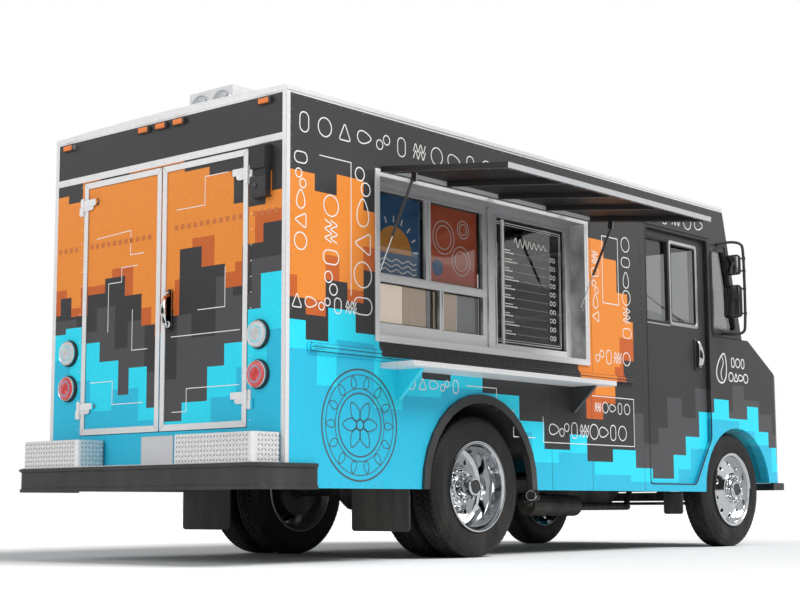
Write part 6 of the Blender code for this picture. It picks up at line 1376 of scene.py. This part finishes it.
# ---------------------------------------------------------------- roof unit
def roof_fans():
    """Fan shrouds, guards and turned blades at the back of the roof unit, ribs on its top, louvers on its flanks."""
    back = Face(at(0.427, 0, 0), (0, -1, 0), (0, 0, 1))
    top = Face(at(0, 0, 3.270), (1, 0, 0), (0, 1, 0))
    z = 3.150
    ring = [(0.086, -0.002), (0.088, 0.0), (0.094, 0.006), (0.1005, 0.006), (0.1035, 0.0), (0.1035, -0.002),
            (0.086, -0.002)]
    span, lift = 0.34 * np.array([-1, 1, 1, -1]), np.array([-0.030, -0.016, -0.0175, -0.0315])
    dark, bright = [], []
    for side in (-1, 1):
        u = side * 0.108
        bright.append(turned(ring, back((u, z), 0.0), (-1, 0, 0), 48))
        dark.append(disc(back, u, z, 0.0875, -0.049, -0.046))
        for blade in range(7):
            rings = []
            for radius in np.linspace(0.030, 0.082, 7):
                turn = 2 * np.pi * blade / 7 + 0.9 * (radius - 0.030) / 0.052 + span
                rings.append(back(pairs(u + radius * np.cos(turn), z + radius * np.sin(turn)), lift))
            dark.append(loft(rings))
        bright += [swept(back(circle(u, z, radius, 40), 0.0015), 0.0014, 6, closed=True)
                   for radius in (0.022, 0.040, 0.058, 0.076)]
        for turn in np.pi / 4 + np.pi / 2 * np.arange(4):
            arm = [(u + r * np.cos(turn), z + r * np.sin(turn)) for r in (0.012, 0.097)]
            bright.append(swept(back(arm, 0.0015), 0.0022, 6))
    make("roof_fan_blades", dark, black_paint)
    make("roof_fan_guards", bright, alloy)
    ribs = [plate(top, (0.462, -0.190 + 0.0475 * i, 0.930, -0.166 + 0.0475 * i, 0.006), -0.002, 0.0, 0.0008)
            for i in range(8)]
    for side in (-1, 1):
        flank = Face(at(0, side * 0.222, 0), (-side, 0, 0), (0, 0, 1))
        for x in 0.500 + 0.046 * np.arange(9):
            low, high = sorted((-side * x, -side * (x + 0.024)))
            ribs.append(plate(flank, (low, 3.085, high, 3.215, 0.005), -0.001, 0.004, 0.002))
    make("roof_unit_louvers", ribs, light_trim)


# ---------------------------------------------------------------- line decoration
def motif(face, kind, u, v, size, turn, weight, low, high):
    """One outline turned about its middle: ring, leaf, two waves, pod, twin rings or rounded triangle."""
    angle = np.linspace(0, 2 * np.pi, 28, endpoint=False)
    closed = True
    if kind == 0:
        lines = [pairs(np.cos(angle), np.sin(angle)) * 0.46]
    elif kind == 1:
        lines = [pairs(0.50 * np.cos(angle), 0.30 * np.sin(angle) * (1 - 0.35 * np.cos(angle)))]
    elif kind == 2:
        t = np.linspace(-1, 1, 25)
        lines, closed = [pairs(0.5 * t, 0.20 * np.sin(2.5 * np.pi * t) + rise) for rise in (-0.18, 0.18)], False
    elif kind == 3:
        lines = [rounded(-0.30, -0.48, 0.30, 0.48, 0.28)]
    elif kind == 4:
        lines = [pairs(0.24 * np.cos(angle) + shift, 0.24 * np.sin(angle) + shift * 0.6) for shift in (-0.26, 0.26)]
    else:
        lines = [polygon_round([(-0.42, -0.40), (0.42, -0.40), (0.0, 0.46)], 0.16)]
    spin = np.array([[np.cos(turn), np.sin(turn)], [-np.sin(turn), np.cos(turn)]])
    return [stroke(face, line @ spin * size + (u, v), weight, low, high, closed) for line in lines]


# Order in which the outlines of a row or column follow each other, by the kinds of motif.
MOTIFS = [3, 0, 5, 1, 4, 3, 2, 0, 1]
# Rows along a side: first x, end, step, height, size, first motif, line width.
ROWS = [(0.16, 5.2, 0.190, 2.792, 0.135, 0, 0.0085), (0.10, 0.62, 0.125, 1.640, 0.105, 2, 0.0075),
        (3.50, 3.96, 0.130, 1.530, 0.115, 4, 0.0075), (1.20, 1.75, 0.120, 1.185, 0.095, 1, 0.0070),
        (2.86, 3.90, 0.135, 0.930, 0.125, 3, 0.0080), (3.46, 3.92, 0.105, 1.125, 0.090, 6, 0.0070)]
# Columns up a side: x, lowest z, end, size, first motif, line width.
COLUMNS = [(0.130, 2.02, 2.56, 0.120, 1, 0.0085), (0.410, 1.78, 2.38, 0.150, 4, 0.0085),
           (0.715, 1.66, 2.50, 0.185, 0, 0.0085), (3.455, 1.84, 2.40, 0.105, 2, 0.0075),
           (3.905, 1.74, 2.50, 0.130, 5, 0.0075)]
SIDE_FRAMES = [[(0.30, 2.60), (0.60, 2.60), (0.60, 1.72)],
               [(1.80, 1.20), (2.15, 1.20), (2.15, 1.05), (2.35, 1.05), (2.35, 0.86), (2.62, 0.86)],
               [(3.38, 1.21), (3.98, 1.21), (3.98, 0.83), (2.72, 0.83), (2.72, 1.02)]]
RING_X, RING_Z = 0.687, 0.883
NOSE_X, NOSE_Z = 5.444, 1.561
# Outlines on the nose: kind, x, z.
NOSE_MOTIFS = [(3, 5.640, 1.620), (0, 5.730, 1.620), (3, 5.820, 1.620), (0, 5.600, 1.490), (5, 5.690, 1.490),
               (1, 5.780, 1.490), (0, 5.870, 1.490)]
LINE_LIFT = (0.0003, 0.0010)


def side_lines(face, label):
    """Rows, columns, stepped lines and a ring of outlines, laid out close to the photographed decoration."""
    sign = 1 if face is RIGHT else -1
    draw = lambda kind, u, v, size, turn, weight: motif(face, kind, u, v, size, turn, weight, *LINE_LIFT)
    white, dark = [], []
    for first, end, step, z, size, start, weight in ROWS:
        for i, x in enumerate(np.arange(first, end, step)):
            white += draw(MOTIFS[(i + start) % 9], sign * x, z, size, 0.0, weight)
    for x, z_low, z_high, size, start, weight in COLUMNS:
        for i, z in enumerate(np.arange(z_low, z_high, size * 1.12)):
            white += draw(MOTIFS[(i + start) % 9], sign * x, z, size, np.pi / 2, weight)
    white += [stroke(face, np.array(line) * (sign, 1), 0.0065, *LINE_LIFT) for line in SIDE_FRAMES]
    box = (3.560, 1.960, 3.790, 2.500, 0.004) if sign > 0 else (-3.790, 1.960, -3.560, 2.500, 0.004)
    white.append(stroke(face, box, 0.0075, *LINE_LIFT, True))
    for radius, weight in ((0.360, 0.012), (0.325, 0.006), (0.235, 0.006), (0.205, 0.010)):
        dark.append(stroke(face, circle(sign * RING_X, RING_Z, radius, 72), weight, *LINE_LIFT, True))
    for count, radius, size, weight in ((14, 0.280, 0.078, 0.0060), (6, 0.100, 0.130, 0.0075)):
        for turn in 2 * np.pi * np.arange(count) / count:
            dark += draw(1, sign * RING_X + radius * np.cos(turn), RING_Z + radius * np.sin(turn), size, turn, weight)
    dark += draw(0, sign * RING_X, RING_Z, 0.070, 0, 0.0075)
    vein = pairs(sign * (NOSE_X + 0.022 * np.sin(np.linspace(-np.pi, np.pi, 24))),
                 NOSE_Z + np.linspace(-0.105, 0.105, 24))
    nose = draw(1, sign * NOSE_X, NOSE_Z, 0.270, np.radians(72) * sign, 0.014)
    nose.append(stroke(face, vein, 0.011, *LINE_LIFT))
    for kind, x, z in NOSE_MOTIFS:
        nose += draw(kind, sign * x, z, 0.085, 0, 0.011)
    make("side_lines_" + label, white, line_white, smooth=False)
    make("side_ring_" + label, dark, line_charcoal, smooth=False)
    make("nose_lines_" + label, nose, line_white, smooth=False)


# Stepped lines on the rear doors: distance from the middle and height of each corner.
REAR_LINES_LEFT = [[(0.700, 2.230), (0.330, 2.250), (0.330, 2.080), (0.190, 2.080)],
                   [(0.560, 1.560), (0.560, 1.900), (0.420, 1.900), (0.420, 2.000), (0.250, 2.000)],
                   [(0.740, 1.220), (0.500, 1.220), (0.500, 1.060), (0.180, 1.060)],
                   [(0.300, 1.700), (0.300, 1.420), (0.140, 1.420)]]
REAR_LINES_RIGHT = [[(0.140, 2.330), (0.420, 2.330), (0.420, 2.520), (0.640, 2.520)],
                    [(0.760, 1.480), (0.100, 1.480)],
                    [(0.760, 1.130), (0.260, 1.130), (0.260, 0.980), (0.120, 0.980)],
                    [(0.620, 1.900), (0.620, 1.640), (0.360, 1.640)]]


def rear_lines():
    """Thin stepped lines on both rear doors and rows of small squares across doors and frame."""
    low, high = -0.0056, -0.0048
    for label, sign, lines in (("left", -1, REAR_LINES_LEFT), ("right", 1, REAR_LINES_RIGHT)):
        make("rear_lines_" + label, [stroke(REAR, np.array(line) * (sign, 1), 0.0055, low, high) for line in lines],
             line_white, "rear_door_" + label, smooth=False)
    square = lambda u, z, low, high: plate(REAR, (u - 0.017, z - 0.017, u + 0.017, z + 0.017, 0.002), low, high,
                                           0.0002)
    make("rear_squares", [square(u, 2.180, 0.0003, 0.0008) for u in np.arange(-1.105, -0.860, 0.062)]
         + [square(u, 2.210, 0.0003, 0.0008) for u in np.arange(0.900, 1.150, 0.062)], line_orange, smooth=False)
    for label, first, end, z in (("left", -0.755, -0.130, 2.180), ("right", 0.140, 0.770, 2.210)):
        make("rear_squares_" + label, [square(u, z, low, high) for u in np.arange(first, end, 0.062)], line_orange,
             "rear_door_" + label, smooth=False)


def menu_lines():
    """Rows of dashes and small squares painted on the tall pane, under a wavy heading."""
    low, high = -0.0303, -0.0298
    shapes = []
    t = np.linspace(0, 1, 60)
    shapes.append(stroke(UNIT_FACE, pairs(2.600 + 0.420 * t, 2.340 + 0.035 * np.sin(14 * np.pi * t) * (1 - 0.5 * t)),
                         0.009, low, high))
    for i, z in enumerate(np.arange(1.640, 2.270, 0.068)):
        length = (0.13, 0.18, 0.10, 0.16, 0.12)[i % 5]
        shapes.append(stroke(UNIT_FACE, [(2.475, z), (2.475 + length, z)], 0.010, low, high))
        shapes.append(stroke(UNIT_FACE, [(2.475, z + 0.020), (2.475 + length * 0.6, z + 0.020)], 0.008, low, high))
        shapes += [plate(UNIT_FACE, (u, z - 0.003, u + 0.006, z + 0.003, 0.001), low, high, 0.0001)
                   for u in np.arange(2.475 + length + 0.03, 3.02, 0.026)]
        for u in (3.070, 3.112):
            shapes += motif(UNIT_FACE, 0, u, z + 0.006, 0.034, 0, 0.006, low, high)
    make("menu_lines", shapes, board_white, smooth=False)


# ---------------------------------------------------------------- inside
def cushion(centre, across, up, half_u, half_v, depth, channels, crown):
    """A pad: a closed shell over a profile (k, h) swept round a superellipse.

    Its outline is |u/a|^5 + |v/b|^5 = 1 with sides pulled in by 3 per cent between corners. The top falls from the
    middle by crown * k^2, the underside is flat, and each sewn channel sinks the top by a narrow bell curve.
    """
    face = Face(centre, across, up)
    angle = np.linspace(0, 2 * np.pi, 96, endpoint=False)
    power = 2 / 5
    outline = pairs(half_u * np.sign(np.cos(angle)) * np.abs(np.cos(angle)) ** power,
                    half_v * np.sign(np.sin(angle)) * np.abs(np.sin(angle)) ** power)
    outline *= (1 - 0.03 * np.cos(2 * angle)[:, None] ** 2)
    rising, falling = np.linspace(0.02, 0.90, 22), np.linspace(0.90, 0.02, 12)[1:]
    quarter = np.linspace(0, np.pi / 2, 8)
    brim = depth - crown * 0.81
    scales = np.concatenate([rising, 1 - 0.10 * np.cos(quarter)[1:], 1 - 0.10 * np.sin(quarter)[1:], falling])
    heights = np.concatenate([depth - crown * rising ** 2, brim - brim * 0.5 * np.sin(quarter)[1:],
                              brim * 0.5 * np.cos(quarter)[1:], np.zeros(11)])
    bell = lambda away, width: np.exp(-(away / width) ** 2)
    rings = []
    for scale, height in zip(scales, heights):
        flat = outline * scale
        sunk = 0.0
        if height > depth * 0.5:
            sunk = sum(0.011 * bell(flat[:, 1] - middle, 0.009) for middle in channels)
            sunk = sunk + 0.004 * bell(np.abs(flat[:, 0]) - half_u * 0.80, 0.007)
        rings.append(face(flat, height - sunk))
    return loft(rings)


def driver_place():
    """Padded seat and back on a bellows pedestal, steering wheel rim with finger waves, dials."""
    middle = 0.420
    seat = make("seat_cushion", [cushion(at(4.676, middle, 1.186), (1, 0, 0), (0, 1, 0), 0.222, 0.246, 0.112,
                                         (-0.085, 0.085), 0.022)], seat_cloth, smooth=True)
    back = make("seat_back_pad", [cushion(at(4.338, middle, 1.556), (0, 1, 0), (0, 0, 1), 0.236, 0.320, 0.108,
                                          (-0.16, 0.0, 0.16), 0.026)], seat_cloth, smooth=True)
    bed = Face(at(0, 0, 0), (1, 0, 0), (0, 1, 0))
    rings = []
    for i, z in enumerate(np.linspace(0.842, 1.140, 25)):
        swell = 0.012 * np.cos(np.pi * i)
        rings.append(bed(rounded(4.492 - swell, middle - 0.138 - swell, 4.808 + swell, middle + 0.138 + swell, 0.04),
                         z))
    tray = plate(bed, (4.400, middle - 0.235, 4.890, middle + 0.235, 0.05), 1.142, 1.184, 0.008)
    shell = plate(Face(at(4.334, 0, 0), (0, 1, 0), (0, 0, 1)), (middle - 0.225, 1.205, middle + 0.225, 1.860, 0.06),
                  -0.002, 0.0035, 0.002)
    make("seat_pedestal", [loft(rings), tray, shell], dash_plastic, replaces="driver_seat")
    hub, foot = at(5.230, middle, 1.520), at(5.480, middle, 1.330)
    axis = (hub - foot) / np.linalg.norm(hub - foot)
    side = np.array([0.0, 1.0, 0.0])
    rise = np.cross(axis, side)
    angle = np.linspace(0, 2 * np.pi, 96, endpoint=False)
    reach = 0.2150 + 0.0009 * np.cos(24 * angle)
    rim = swept(hub + reach[:, None] * (np.cos(angle)[:, None] * side + np.sin(angle)[:, None] * rise), 0.0158, 14,
                closed=True)
    boss = turned([(0, 0.0), (0.046, 0.0), (0.050, 0.010), (0.044, 0.026), (0.020, 0.032), (0, 0.032)],
                  hub - axis * 0.004, axis, 32)
    make("steering_rim", [rim, boss], dash_plastic)
    panel = Face(at(5.428, 0, 0), (0, -1, 0), (0, 0, 1))
    dials = [turned([(0.030, 0.0), (0.034, 0.008), (0.040, 0.008), (0.042, 0.0), (0.030, 0.0)],
                    panel([-y, 1.470], 0.0), (-1, 0, 0), 32) for y in (0.300, 0.400, 0.500, 0.600)]
    make("dash_dials", dials, alloy)


def bar_handle(face, u_low, u_high, z, depth=0.016, lift=0.040, inset=0.02):
    """A round bar between two short posts on a face."""
    bar = [swept(face([(u_low, z), (u_high, z)], lift), 0.006, 10)]
    return bar + [swept([face((u, z), depth), face((u, z), lift)], 0.005, 8) for u in (u_low + inset, u_high - inset)]


def kitchen_fronts():
    """Doors, drawers and bar handles on the cabinets and the counter."""
    base = Face(at(0, 0.560, 0), (1, 0, 0), (0, 0, 1))
    wall = Face(at(0, 0.800, 0), (1, 0, 0), (0, 0, 1))
    inner = Face(at(0, -0.560, 0), (-1, 0, 0), (0, 0, 1))
    doors, bars = [], []
    front = lambda face, low, high, z_low, z_high, out=0.018: doors.append(
        plate(face, (low + 0.008, z_low, high - 0.008, z_high, 0.010), 0.0005, out, 0.004))
    edges = np.linspace(0.330, 3.350, 8)
    for low, high in zip(edges[:-1], edges[1:]):
        front(base, low, high, 1.150 if high < 2.62 else 0.900, 1.520)
        front(base, low, high, 1.535, 1.700)
        for z in (1.480, 1.660):
            bar = [(low + 0.10, z), (low + 0.11, z), (high - 0.11, z), (high - 0.10, z)]
            bars.append(swept(base(bar, 0.040), 0.006, 10))
            bars += bar_handle(base, low + 0.10, high - 0.10, z)[1:]
    edges = np.linspace(0.520, 3.330, 7)
    for low, high in zip(edges[:-1], edges[1:]):
        front(wall, low, high, 1.970, 2.480)
        bars += bar_handle(wall, low + 0.10, high - 0.10, 2.010)
    edges = np.linspace(-3.270, -2.640, 3)
    for low, high in zip(edges[:-1], edges[1:]):
        front(inner, low, high, 0.880, 1.260, 0.016)
        bars += bar_handle(inner, low + 0.06, high - 0.06, 1.220, 0.014, 0.036)
    make("kitchen_doors", doors, kitchen_steel)
    make("kitchen_handles", bars, alloy)


front_face()
mirrors()
roof_fans()
for face, label in FLANKS:
    side_lines(face, label)
rear_lines()
menu_lines()
driver_place()
kitchen_fronts()


# ---------------------------------------------------------------- underside and small fittings
def flap(face, low_u, high_u, z_low, z_high, radius, fold):
    """A hanging sheet with round corners and a stiffening fold: (inset, lowest z, highest z) across its top."""
    corners = [(low_u, z_low), (high_u, z_low), (high_u, z_high), (low_u, z_high)]
    inset, fold_low, fold_high = fold
    return [plate(face, polygon_round(corners, radius), -0.005, 0.005),
            plate(face, (low_u + inset, fold_low, high_u - inset, fold_high, 0.004), 0.004, 0.009)]


def flaps():
    """Mud flaps behind the four wheels; the rear pair hangs on a bar, with bolts."""
    rear = Face(at(1.225, 0, 0), (0, -1, 0), (0, 0, 1))
    front = Face(at(4.720, 0, 0), (0, -1, 0), (0, 0, 1))
    sheets, bolts = [plate(rear, (-1.118, 0.572, 1.118, 0.599, 0.006), -0.014, 0.014, 0.003)], []
    for side in (-1, 1):
        low_u, high_u = sorted((side * 0.612, side * 1.136))
        sheets += flap(rear, low_u, high_u, 0.192, 0.588, 0.030, (0.02, 0.535, 0.560))
        bolts.append(repeated(stud(rear.out, 0.009, 0.006),
                              rear(pairs(np.linspace(low_u + 0.05, high_u - 0.05, 5), 0.547), 0.009)))
    make("rear_flaps", sheets + bolts, flap_rubber, replaces="mud_flaps_rear")
    for side, label in SIDES:
        low_u, high_u = sorted((-side * 0.987, -side * 1.169))
        make("front_flap_" + label, flap(front, low_u, high_u, 0.287, 0.474, 0.022, (0.012, 0.440, 0.458)),
             flap_rubber, replaces="mud_flap_front_" + label)


def small_fittings():
    """Bright exhaust tip, and dark lines along the rear bumper: painted shade along the edges of its raised band."""
    heading = np.array([-0.240, -0.130, 0.006])
    heading /= np.linalg.norm(heading)
    sleeve = [(0.0335, 0.0), (0.0360, 0.0), (0.0378, 0.004), (0.0378, 0.082), (0.0366, 0.085), (0.0346, 0.085),
              (0.0335, 0.082), (0.0335, 0.0)]
    make("exhaust_tip", [turned(sleeve, at(2.720, -1.060, 0.436) - heading * 0.050, heading, 40)], chrome)
    turn = np.linspace(0, np.pi / 2, 8)
    corner = [(-0.181 - 0.070 * np.sin(a), -1.126 - 0.070 * np.cos(a)) for a in turn]
    path = [(0.004, -1.196)] + corner + [(x, -y) for x, y in reversed(corner)] + [(0.004, 1.196)]
    # Painted shade: dark lines stand in for the shadow along the edges of the bumper's raised band.
    lines = [swept([at(x, y, z) for x, y in path], 0.0028, 6) for z in (0.6025, 0.4915)]
    make("bumper_shade_lines", lines, rubber_seal_and_shade_line, smooth=False)


flaps()
small_fittings()


# ---------------------------------------------------------------- camera
CAMERA_AT = at(-6.7743, -7.9344, 0.3593)
CAMERA_YAW = 0.7101
CAMERA_PITCH = 0.1277
CAMERA_ROLL = -0.0041
CAMERA_LENS = 69.92


def place_camera():
    """Camera of the photograph: forward from yaw and pitch, then turned by the roll about that line."""
    forward = np.array([np.cos(CAMERA_YAW) * np.cos(CAMERA_PITCH), np.sin(CAMERA_YAW) * np.cos(CAMERA_PITCH),
                        np.sin(CAMERA_PITCH)])
    right = np.cross(forward, (0, 0, 1))
    right /= np.linalg.norm(right)
    up = np.cross(right, forward)
    turn_cos, turn_sin = np.cos(CAMERA_ROLL), np.sin(CAMERA_ROLL)
    right, up = turn_cos * right + turn_sin * up, -turn_sin * right + turn_cos * up
    camera = bpy.data.objects.new("photo_camera", bpy.data.cameras.new("photo_camera"))
    bpy.context.collection.objects.link(camera)
    camera.data.lens = CAMERA_LENS
    camera.data.sensor_width = 36.0
    camera.data.clip_end = 200.0
    facing = Matrix((right, up, -forward)).transposed().to_4x4()
    facing.translation = Vector(CAMERA_AT)
    camera.matrix_world = facing
    bpy.context.scene.camera = camera


place_camera()


# ---------------------------------------------------------------- studio
FLOOR_REACH = 60.0
FLOOR_GREY = 0.84
FADE_START, FADE_END = 3.4, 7.5
NEAR_LIFT, FAR_LIFT = 0.0, 0.5
AMBIENT = 0.34
KEY_TOWARD, KEY_STRENGTH, KEY_SPREAD = (-0.22, 0.62, -0.78), 3.05, 30.0
REAR_LAMP_SIZE, REAR_LAMP_POWER = 6.0, 330.0
CARD_GREY = 0.03


def sheet_of(name, corners):
    """A flat sheet with its own matt material; gives the object and the material's tree."""
    mesh = bpy.data.meshes.new(name)
    mesh.from_pydata([tuple(corner) for corner in corners], [], [(0, 1, 2, 3)])
    made = bpy.data.objects.new(name, mesh)
    bpy.context.collection.objects.link(made)
    material = bpy.data.materials.new(name)
    material.use_nodes = True
    material.node_tree.nodes["Principled BSDF"].inputs["Roughness"].default_value = 0.9
    mesh.materials.append(material)
    return made, material.node_tree


def make_floor():
    """Pale floor that fades into the white backdrop: diffuse near the truck, white for the camera farther out."""
    reach = FLOOR_REACH
    floor, tree = sheet_of("studio_floor", [(-reach, -reach, 0), (reach, -reach, 0), (reach, reach, 0),
                                            (-reach, reach, 0)])
    shader = tree.nodes["Principled BSDF"]
    shader.inputs["Base Color"].default_value = (FLOOR_GREY, FLOOR_GREY, FLOOR_GREY, 1)
    shader.inputs["Specular IOR Level"].default_value = 0.1
    shader.inputs["Emission Color"].default_value = (1, 1, 1, 1)
    path, place = node(tree, "LightPath"), node(tree, "TexCoord")
    away = node(tree, "VectorMath", operation="LENGTH")
    tree.links.new(scaled(tree, place.outputs["Object"], 0.8, 1.0, 1.0), away.inputs[0])
    fade = ramp(tree, away.outputs["Value"], FADE_START, FADE_END, NEAR_LIFT, FAR_LIFT)
    tree.links.new(calc(tree, "MULTIPLY", path.outputs["Is Camera Ray"], fade), shader.inputs["Emission Strength"])


def make_backdrop():
    """White all round for the camera, bright faces and panes, grey for the light that falls on the truck."""
    world = bpy.data.worlds.new("studio")
    bpy.context.scene.world = world
    world.use_nodes = True
    tree = world.node_tree
    back = tree.nodes["Background"]
    path = node(tree, "LightPath")
    seen = calc(tree, "MAXIMUM", path.outputs["Is Camera Ray"],
                calc(tree, "MAXIMUM", path.outputs["Is Glossy Ray"], path.outputs["Is Transmission Ray"]))
    tree.links.new(mix(tree, seen, (AMBIENT, AMBIENT, AMBIENT, 1), (1, 1, 1, 1)), back.inputs["Color"])
    back.inputs["Strength"].default_value = 1.0


def lamp_of(name, kind, strength, place, toward, **settings):
    """A lamp at a place that shines along a line."""
    lamp = bpy.data.lights.new(name, kind)
    lamp.energy = strength
    for key, value in settings.items():
        setattr(lamp, key, value)
    holder = bpy.data.objects.new(name, lamp)
    bpy.context.collection.objects.link(holder)
    holder.location = Vector(place)
    holder.rotation_euler = Vector(toward).to_track_quat("-Z", "Y").to_euler()


def dark_card(name, corners):
    """A dark sheet beside the camera that only polished and painted faces reflect."""
    card, tree = sheet_of(name, corners)
    tree.nodes["Principled BSDF"].inputs["Base Color"].default_value = (CARD_GREY, CARD_GREY, CARD_GREY, 1)
    for ray in ("camera", "diffuse", "transmission", "shadow"):
        setattr(card, "visible_" + ray, False)


make_floor()
make_backdrop()
dark_card("side_card", [at(2.0, -11.0, 0.4), at(34.0, -15.0, 0.4), at(34.0, -15.0, 5.0), at(2.0, -11.0, 5.0)])
dark_card("rear_card", [at(-11.0, 2.0, 0.6), at(-14.0, 26.0, 0.6), at(-14.0, 26.0, 6.0), at(-11.0, 2.0, 6.0)])
# The key light is even and as wide as a large diffuser, so that the whole floor is lit alike.
lamp_of("key_light", "SUN", KEY_STRENGTH, at(6.0, -10.0, 12.0), KEY_TOWARD, angle=np.radians(KEY_SPREAD))
lamp_of("rear_lamp", "AREA", REAR_LAMP_POWER, at(-8.0, 1.0, 6.0), at(0.0, 0.0, 1.6) - at(-8.0, 1.0, 6.0),
        size=REAR_LAMP_SIZE)
bpy.context.scene.view_settings.view_transform = "Standard"
